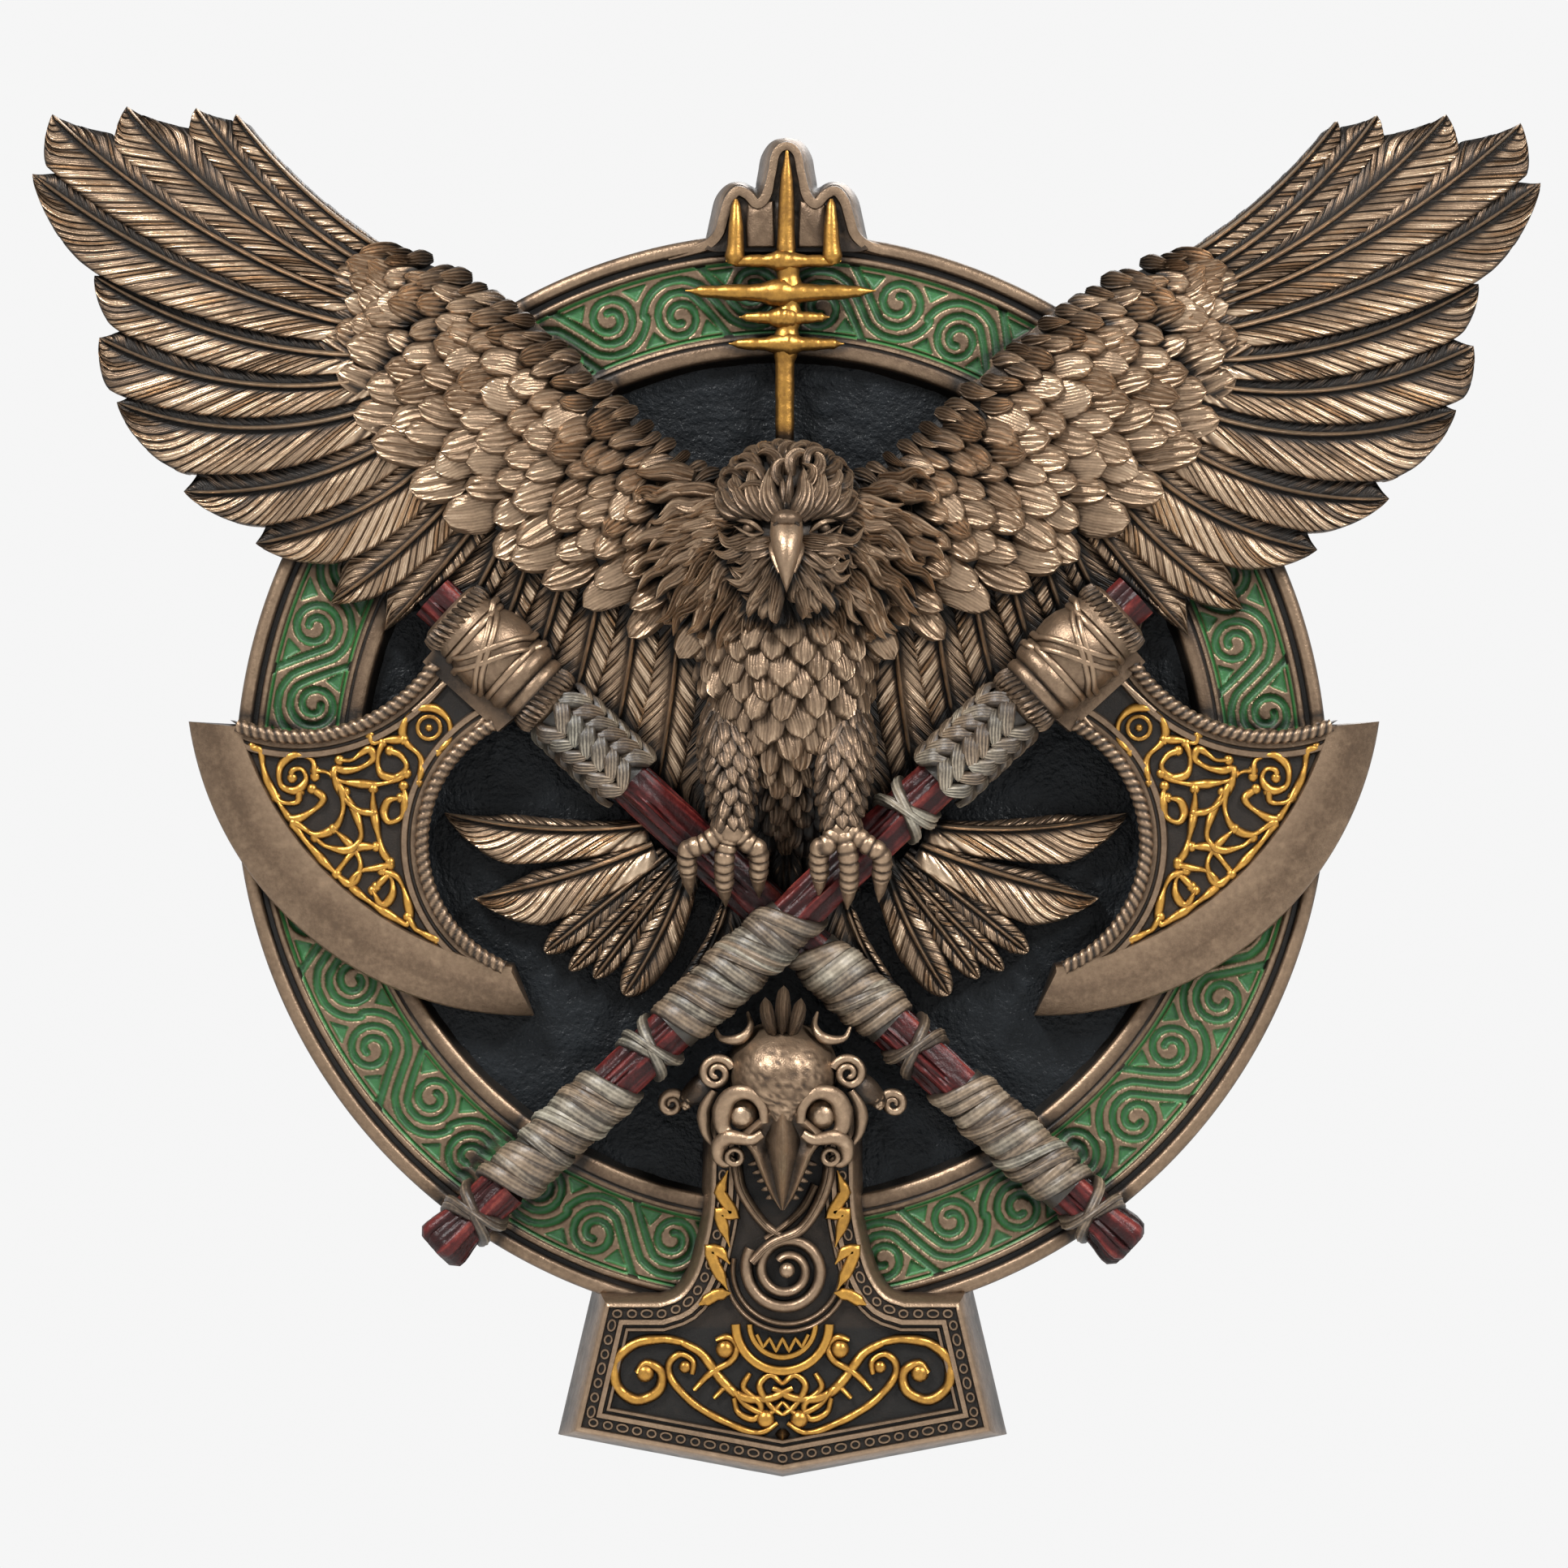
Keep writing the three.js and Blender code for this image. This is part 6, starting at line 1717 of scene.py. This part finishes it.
def finial_shell():
    shell = Shell("finial", "bronze")
    base = np.stack([np.linspace(0, 1, 8, endpoint=False) * FINIAL_HALF[0][0], np.full(8, 106.4)], -1)
    top, foot = (np.concatenate([base, curve_through(line, 60)]) for line in (FINIAL_HALF, FINIAL_FOOT))
    # Share of the way from the foot to the outline, depth and tone of each row of the wall
    rows = ((0.0, 0.3, 0.8), (0.25, 8.0, 0.75), (0.7, 14.6, 0.8), (0.96, 16.1, 0.9),
            (1.0, FINIAL_FLOOR, 0.3))
    rings = []
    for share, depth, _ in rows:
        right = foot + (top - foot) * share
        rings.append(raised(np.concatenate([right, right[1:-1][::-1] * (-1, 1)]), depth))
    rings = np.stack(rings)
    tone = np.array([shade for _, _, shade in rows])[:, None]
    shell.loft(rings, np.broadcast_to(tone, rings.shape[:2]), 0.0, 0.3)
    half = curve_through(FINIAL_BAND, 90)
    band = np.concatenate([half, half[:-1][::-1] * (-1, 1, 1)])
    wide = 2.3 - 0.35 * smooth(118, 121, band[:, 1])
    high = 1.25 + 0.55 * smooth(107, 111, band[:, 1])
    sweep(shell, band, wide, high, BAND_SECTION, 0.95, 0.2)
    # Rough plates between the prongs
    for side in (-1, 1):
        plate = [(2.3, 107.2), (8.0, 107.2), (8.2, 111.0), (7.8, 116.0), (5.9, 115.2), (4.3, 116.4),
                 (2.7, 116.6)]
        plate = densified(plate + plate[:1], 0.8)[:-1] * (side, 1)
        levels = ((0, 15.0), (0, 17.0), (0.35, 17.35))
        rings = np.stack([raised(inset(plate, by), depth) for by, depth in levels])
        shell.loft(rings, 0.85, 0.0, 0.2)
    return shell


# Cross bars of the spear: x, z, half length, radius at the middle and near the ends, bow
SPEAR_BARS = (
    (-0.6, 104.3, 11.6, 1.35, 1.1, 0.0), (-1.2, 98.0, 19.2, 2.1, 0.8, 0.5),
    (-0.4, 92.9, 9.1, 1.5, 0.7, 0.2), (0.0, 87.6, 11.6, 1.6, 0.8, 0.1),
)
SPEAR_D = 18.0
# Outline of the shaft where the bars cross it: z and radius
SPEAR_NODES = (
    (60.0, 1.85), (84.0, 1.95), (86.2, 2.6), (87.6, 2.9), (89.4, 2.7), (90.6, 2.2), (92.9, 3.0),
    (94.4, 2.7), (95.6, 2.3), (98.0, 3.3), (100.0, 2.6), (101.2, 2.2), (103.0, 2.6), (104.3, 2.9),
    (106.0, 2.0), (110.0, 1.75), (117.0, 1.6), (122.0, 1.15), (126.6, 0.3),
)


def spear_shell():
    shell = Shell("spear", "gold")
    z, radius = np.array(SPEAR_NODES).T
    heights = np.linspace(z[0], z[-1], 150)
    depth = np.interp(heights, (60, 84, 127), (19.5, SPEAR_D + 0.4, SPEAR_D))
    x = np.interp(heights, (60, 84, 92, 100, 106, 127), (-0.35, -0.35, 0.3, 0.5, -0.1, 0.1))
    hammered = 1 + 0.015 * np.sin(heights * 0.9) + 0.01 * np.sin(heights * 2.3)
    tube(shell, np.stack([x, heights, depth], -1), np.interp(heights, z, radius) * hammered, 14, flat=0.8)
    for x, z, half, middle, end, bow in SPEAR_BARS:
        u = np.linspace(-1, 1, 49)
        path = np.stack([x + u * half, z + bow * (u**2 - 0.3), SPEAR_D + 0.8 - 0.5 * u**2], -1)
        swell = end + (middle - end) * (1 - np.abs(u)) ** 0.7 + 1.0 * np.exp(-((u * half / 2.4) ** 2))
        tip = np.clip((1 - np.abs(u)) * 6, 0.2, 1)
        tube(shell, path, swell * tip * (1 + 0.06 * np.sin(u * 17 + z) + 0.03 * np.sin(u * 41)), 12)
    for x in (-10.3, 9.1):
        prong = [(x * 1.03, 103.7, SPEAR_D + 0.4), (x, 106.6, SPEAR_D + 0.6),
                 (x * 0.99, 111, SPEAR_D + 0.5), (x * 0.99, 116.8, SPEAR_D)]
        thick = np.interp(np.linspace(0, 1, 28), (0, 0.1, 0.3, 0.6, 0.9, 1),
                          (1.3, 2.1, 1.7, 1.5, 1.0, 0.4))
        tube(shell, curve_through(prong, 28), thick, 12)
    return shell


# Depth map of the whole front, which tells a recess from a ridge

CELL = 0.5
MAP_MARGIN = 6
NEAR_MM = 0.9
WIDE_MM = 3.2
# Share of the wash that comes from a point's own relief, the nearby heights and the wider ones
TONE_SHARE = 0.56
TONE_FLOOR = 0.1
NEAR_SHARE = 0.38
WIDE_SHARE = 0.26
SHARP_DEG = 52


def depth_map(shells):
    points = np.concatenate([np.concatenate(s.points) for s in shells])
    low = points[:, :2].min(0) - MAP_MARGIN
    size = np.ceil((points[:, :2].max(0) + MAP_MARGIN - low) / CELL).astype(int)
    grid = np.full(tuple(size), -1.0)
    index = ((points[:, :2] - low) / CELL).astype(int)
    np.maximum.at(grid, (index[:, 0], index[:, 1]), points[:, 2])
    for _ in range(2):
        empty = grid < 0
        for axis in (0, 1):
            for step in (-1, 1):
                near = np.roll(grid, step, axis)
                grid = np.where(empty, np.maximum(grid, near), grid)
    return grid, low


def blurred(grid, sigma):
    known = (grid >= 0).astype(float)
    fx = np.fft.fftfreq(grid.shape[0])[:, None]
    fz = np.fft.rfftfreq(grid.shape[1])[None]
    kernel = np.exp(-2 * (np.pi * sigma / CELL) ** 2 * (fx**2 + fz**2))
    spread = lambda a: np.fft.irfft2(np.fft.rfft2(a) * kernel, grid.shape)
    return spread(np.maximum(grid, 0) * known) / np.maximum(spread(known), 1e-3)


def sample(grid, low, points):
    u = (points[:, :2] - low) / CELL - 0.5
    i = np.clip(u.astype(int), 0, np.array(grid.shape) - 2)
    f = u - i
    a = grid[i[:, 0], i[:, 1]] * (1 - f[:, 0]) + grid[i[:, 0] + 1, i[:, 1]] * f[:, 0]
    b = grid[i[:, 0], i[:, 1] + 1] * (1 - f[:, 0]) + grid[i[:, 0] + 1, i[:, 1] + 1] * f[:, 0]
    return a * (1 - f[:, 1]) + b * f[:, 1]


def washes(shells):
    """For each shell the share of bare rubbed metal at each point.

    Dark wash stays in what lies lower than its surroundings, except deep under another piece.
    """
    grid, low = depth_map(shells)
    near, wide = blurred(grid, NEAR_MM), blurred(grid, WIDE_MM)
    found = []
    for shell in shells:
        points = np.concatenate(shell.points)
        hollow = np.concatenate(shell.hollow)
        relief = np.concatenate(shell.relief)
        small = np.clip((points[:, 2] - sample(near, low, points)) / 1.0, -1.4, 0.4)
        large = np.clip((points[:, 2] - sample(wide, low, points)) / 2.6, -1.2, 0.25)
        buried = smooth(4.0, 7.0, sample(grid, low, points) - points[:, 2])
        surroundings = NEAR_SHARE * small + WIDE_SHARE * large
        wash = TONE_SHARE * relief + TONE_FLOOR + hollow * (1 - buried) * surroundings
        found.append(np.clip(wash, 0, 1))
    return found


def make_object(shell, wash, materials):
    points = np.concatenate(shell.points)
    world = np.stack([points[:, 0], -points[:, 2], points[:, 1]], -1) * MM
    mesh = bpy.data.meshes.new(shell.name)
    mesh.from_pydata(world.tolist(), [], shell.faces)
    looks = {"wash": wash, "paint": np.concatenate(shell.paint), "grain": np.concatenate(shell.grain)}
    for name, values in looks.items():
        attribute = mesh.attributes.new(name, "FLOAT", "POINT")
        attribute.data.foreach_set("value", values.astype(np.float32))
    mesh.polygons.foreach_set("use_smooth", np.ones(len(mesh.polygons), bool))
    mesh.set_sharp_from_angle(angle=math.radians(SHARP_DEG))
    mesh.validate()
    mesh.materials.append(materials[shell.slot])
    obj = bpy.data.objects.new(shell.name, mesh)
    bpy.context.scene.collection.objects.link(obj)
    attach(obj, "root")
    return obj


# Materials

class Nodes:
    """A short way to add and link shader nodes."""

    def __init__(self, name):
        self.material = bpy.data.materials.new(name)
        self.material.use_nodes = True
        self.tree = self.material.node_tree
        self.shader = self.tree.nodes["Principled BSDF"]

    def add(self, kind, inputs=(), **settings):
        node = self.tree.nodes.new(kind)
        for key, value in settings.items():
            setattr(node, key, value)
        for key, value in dict(inputs).items():
            if isinstance(value, bpy.types.NodeSocket):
                self.tree.links.new(value, node.inputs[key])
            else:
                node.inputs[key].default_value = value
        return node

    def attribute(self, name):
        return self.add("ShaderNodeAttribute", attribute_name=name).outputs["Fac"]

    def math(self, operation, a, b, clamp=False):
        return self.add("ShaderNodeMath", {0: a, 1: b}, operation=operation, use_clamp=clamp).outputs[0]

    def noise(self, scale, detail=3.0, roughness=0.6):
        place = self.add("ShaderNodeTexCoord").outputs["Object"]
        inputs = {"Vector": place, "Scale": scale, "Detail": detail, "Roughness": roughness}
        return self.add("ShaderNodeTexNoise", inputs).outputs["Fac"]

    def ramp(self, value, stops):
        node = self.add("ShaderNodeValToRGB", {"Fac": value})
        elements = node.color_ramp.elements
        while len(elements) < len(stops):
            elements.new(0.5)
        for element, (place, colour) in zip(elements, stops):
            element.position = place
            element.color = (*colour, 1.0)
        return node.outputs["Color"]

    def mix(self, factor, a, b):
        return self.add("ShaderNodeMix", {0: factor, 6: a, 7: b}, data_type="RGBA").outputs[2]

    def grey(self, value, low, high):
        """A number that runs from low to high as value runs from 0 to 1."""
        return self.add("ShaderNodeMapRange", {0: value, 3: low, 4: high}).outputs[0]

    def bump(self, height, strength, distance):
        node = self.add("ShaderNodeBump", {"Height": height, "Strength": strength, "Distance": distance})
        self.tree.links.new(node.outputs[0], self.shader.inputs["Normal"])

    def set(self, **sockets):
        for key, value in sockets.items():
            socket = self.shader.inputs[key.replace("_", " ")]
            if isinstance(value, bpy.types.NodeSocket):
                self.tree.links.new(value, socket)
            else:
                socket.default_value = value


# Bronze from the dark wash in its recesses to the rubbed ridges; its bright end also carries the painted
# highlight on the front rows of coverts
BRONZE_STOPS = (
    (0.0, (0.006, 0.005, 0.004)), (0.25, (0.024, 0.017, 0.012)), (0.5, (0.115, 0.075, 0.047)),
    (0.75, (0.31, 0.215, 0.140)), (1.0, (0.66, 0.50, 0.35)),
)
GREEN_STOPS = (
    (0.0, (0.005, 0.026, 0.010)), (0.3, (0.018, 0.105, 0.026)), (0.7, (0.042, 0.225, 0.050)),
    (1.0, (0.085, 0.33, 0.11)),
)
FIELD_STOPS = ((0.0, (0.004, 0.005, 0.006)), (0.6, (0.009, 0.011, 0.013)), (1.0, (0.045, 0.050, 0.056)))
GOLD_STOPS = (
    (0.0, (0.014, 0.008, 0.004)), (0.35, (0.055, 0.028, 0.010)), (0.58, (0.24, 0.120, 0.028)),
    (0.8, (0.52, 0.275, 0.055)), (1.0, (0.82, 0.54, 0.19)),
)
WOOD_STOPS = (
    (0.0, (0.008, 0.003, 0.003)), (0.35, (0.028, 0.004, 0.004)), (0.62, (0.090, 0.011, 0.010)),
    (0.85, (0.20, 0.042, 0.030)), (1.0, (0.42, 0.22, 0.14)),
)
GREY_CORD_STOPS = (
    (0.0, (0.010, 0.009, 0.007)), (0.38, (0.050, 0.043, 0.032)), (0.68, (0.29, 0.265, 0.205)),
    (1.0, (0.58, 0.55, 0.46)),
)
BROWN_CORD_STOPS = (
    (0.0, (0.010, 0.007, 0.005)), (0.38, (0.040, 0.026, 0.016)), (0.68, (0.20, 0.145, 0.095)),
    (1.0, (0.50, 0.40, 0.28)),
)
GRAIN_PITCH = 0.62


def worn(nodes, amount=0.16, lines=0.0):
    """The wash attribute broken up by fine and coarse noise and by the lines of barbs and strands."""
    wash = nodes.attribute("wash")
    fine = nodes.math("SUBTRACT", nodes.noise(900.0, 4.0, 0.7), 0.5)
    coarse = nodes.math("SUBTRACT", nodes.noise(70.0, 3.0), 0.5)
    fine, coarse = nodes.math("MULTIPLY", fine, amount), nodes.math("MULTIPLY", coarse, amount * 0.7)
    both = nodes.math("ADD", fine, coarse)
    if lines:
        both = nodes.math("ADD", both, nodes.math("MULTIPLY", grain_lines(nodes), lines))
    return nodes.math("ADD", wash, both, clamp=True)


def grain_lines(nodes):
    """Between -1 and 1 across the fine lines."""
    wander = nodes.math("MULTIPLY", nodes.noise(260.0, 2.0), 0.9)
    place = nodes.math("ADD", nodes.attribute("grain"), wander)
    return nodes.math("SINE", nodes.math("MULTIPLY", place, 2 * math.pi / GRAIN_PITCH), 0.0)


def bronze_material():
    nodes = Nodes("antique_bronze")
    value = worn(nodes, 0.24, 0.045)
    colour = nodes.ramp(value, BRONZE_STOPS)
    green = nodes.ramp(value, GREEN_STOPS)
    paint = nodes.attribute("paint")
    nodes.set(Base_Color=nodes.mix(paint, colour, green))
    metal = nodes.grey(value, 0.45, 1.0)
    bare = nodes.math("SUBTRACT", 1.0, paint)
    nodes.set(Metallic=nodes.math("MULTIPLY", metal, bare))
    rough = nodes.grey(nodes.noise(400.0, 3.0), 0.28, 0.46)
    nodes.set(Roughness=nodes.math("ADD", rough, nodes.grey(value, 0.16, -0.05)))
    height = nodes.math("ADD", nodes.noise(2600.0, 2.0), nodes.math("MULTIPLY", grain_lines(nodes), 0.35))
    nodes.bump(height, 0.4, 0.0002)
    return nodes.material


def field_material():
    nodes = Nodes("black_lacquer")
    value = worn(nodes, 0.5)
    nodes.set(Base_Color=nodes.ramp(value, FIELD_STOPS))
    nodes.set(Roughness=nodes.grey(nodes.noise(500.0, 3.0), 0.3, 0.5), Specular_IOR_Level=0.15)
    nodes.bump(nodes.noise(900.0, 2.0), 0.9, 0.0005)
    return nodes.material


def gold_material():
    nodes = Nodes("antique_gold")
    value = worn(nodes, 0.34)
    nodes.set(Base_Color=nodes.ramp(value, GOLD_STOPS))
    nodes.set(Metallic=0.85, Roughness=nodes.grey(nodes.noise(500.0, 3.0), 0.26, 0.46))
    nodes.bump(nodes.noise(1200.0, 3.0), 0.3, 0.0003)
    return nodes.material


def wood_material():
    nodes = Nodes("red_wood")
    value = worn(nodes, 0.5)
    nodes.set(Base_Color=nodes.ramp(value, WOOD_STOPS))
    nodes.set(Roughness=nodes.grey(nodes.noise(300.0, 3.0), 0.28, 0.5), Specular_IOR_Level=0.24)
    nodes.bump(nodes.noise(1100.0, 3.0), 0.4, 0.0004)
    return nodes.material


def binding_material():
    nodes = Nodes("binding")
    value = worn(nodes, 0.4, 0.08)
    grey = nodes.ramp(value, GREY_CORD_STOPS)
    brown = nodes.ramp(value, BROWN_CORD_STOPS)
    patch = nodes.math("ADD", nodes.noise(60.0, 2.0),
                       nodes.math("MULTIPLY", nodes.attribute("paint"), 0.45))
    nodes.set(Base_Color=nodes.mix(nodes.grey(patch, -1.2, 1.7), grey, brown))
    nodes.set(Roughness=0.45)
    nodes.bump(nodes.noise(1300.0, 3.0), 0.35, 0.0003)
    return nodes.material


# Whole plaque

AXES_X = 0.5
HAMMER_X = 0.2
FRONT_WOOD = ((0.0, 5.0), (53.0, 96.0), (126.0, 145.0), (173.0, 192.0))
BACK_WOOD = ((0.0, 5.0), (53.0, 106.0), (125.0, 146.0), (174.0, 192.0))

left_wing = wing_shell()
right_wing = mirrored(left_wing, "wing_right", drop_right)
left_tail = tail_shell()
right_tail = mirrored(left_tail, "tail_right")
shells = [rim_shell(), border_shell(), field_shell(), back_shell()]
eagle_parts = (left_wing, right_wing, left_tail, right_tail, eagle_shell())
shells += [shifted(part, EAGLE_X) for part in eagle_parts]
back_axe = axe_shells("left", BACK_HANDLE_DEPTH, BACK_WOOD, ((105.0, 126.0), (145.0, 175.0)),
                      (133.0, 181.0))
front_axe = axe_shells("right", FRONT_HANDLE_DEPTH, FRONT_WOOD, ((95.0, 127.0), (144.0, 172.0)),
                       (63.0, 133.0, 181.0))
front_axe = [mirrored(part, part.name) for part in front_axe]
shells += [shifted(part, AXES_X) for part in back_axe + front_axe]
shells += [shifted(part, HAMMER_X) for part in (hammer_shell(), hammer_gold_shell(), skull_shell())]
shells += [shifted(part, EAGLE_X) for part in (finial_shell(), spear_shell())]

materials = {
    "bronze": bronze_material(),
    "black_field": field_material(),
    "gold": gold_material(),
    "red_wood": wood_material(),
    "binding": binding_material(),
}
for shell, wash in zip(shells, washes(shells)):
    make_object(shell, wash, materials)
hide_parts("plaque")


# Floor, camera and light, in the frame's metres

FLOOR_REACH = 2.2
FLOOR_HEIGHT = -0.5
FLOOR_COLOUR = (0.8, 0.8, 0.79, 1.0)
CAMERA_PLACE = (0.0005, -1.400, -0.0010)
CAMERA_LENS_MM = 157.5
SENSOR_MM = 36.0
# Name, place, size and power of each light; they all point at the origin
LIGHTS = (
    ("key", (-0.7, -0.95, 1.15), 0.35, 34.0),
    ("fill", (0.9, -0.9, 0.9), 0.35, 22.0),
    ("back", (0.3, 1.2, 0.8), 0.8, 9.0),
)
# Height of a direction at which the surround starts and ends to dim, and its strength below and above
SURROUND = (("From Min", 0.14), ("From Max", 0.5), ("To Min", 0.92), ("To Max", 0.28))


def floor():
    mesh = bpy.data.meshes.new("floor")
    corners = ((-1, -1), (1, -1), (1, 1), (-1, 1))
    points = [(x * FLOOR_REACH, y * FLOOR_REACH, FLOOR_HEIGHT) for x, y in corners]
    mesh.from_pydata(points, [], [(0, 1, 2, 3)])
    obj = bpy.data.objects.new("floor", mesh)
    nodes = Nodes("pale_floor")
    nodes.set(Base_Color=FLOOR_COLOUR, Roughness=0.7)
    mesh.materials.append(nodes.material)
    bpy.context.scene.collection.objects.link(obj)


def camera():
    data = bpy.data.cameras.new("camera")
    data.lens = CAMERA_LENS_MM
    data.sensor_width = SENSOR_MM
    obj = bpy.data.objects.new("camera", data)
    obj.location = CAMERA_PLACE
    obj.rotation_euler = (math.radians(90), 0, 0)
    bpy.context.scene.collection.objects.link(obj)
    bpy.context.scene.camera = obj


def soft_light(name, place, size, power):
    data = bpy.data.lights.new(name, "AREA")
    data.size = size
    data.energy = power
    obj = bpy.data.objects.new(name, data)
    obj.location = place
    obj.rotation_euler = (-Vector(place)).to_track_quat("-Z", "Y").to_euler()
    bpy.context.scene.collection.objects.link(obj)


def studio():
    """A white surround, bright at the height of the object and dimmer overhead, where the lights are."""
    world = bpy.data.worlds.new("studio")
    world.use_nodes = True
    tree = world.node_tree
    direction = tree.nodes.new("ShaderNodeTexCoord").outputs["Generated"]
    parts = tree.nodes.new("ShaderNodeSeparateXYZ")
    level = tree.nodes.new("ShaderNodeMapRange")
    level.interpolation_type = "SMOOTHSTEP"
    for name, value in SURROUND:
        level.inputs[name].default_value = value
    background = tree.nodes["Background"]
    background.inputs["Color"].default_value = (1.0, 1.0, 1.0, 1.0)
    tree.links.new(direction, parts.inputs[0])
    tree.links.new(parts.outputs["Z"], level.inputs["Value"])
    tree.links.new(level.outputs["Result"], background.inputs["Strength"])
    bpy.context.scene.world = world


floor()
camera()
for light in LIGHTS:
    soft_light(*light)
studio()
bpy.context.scene.view_settings.view_transform = "Standard"
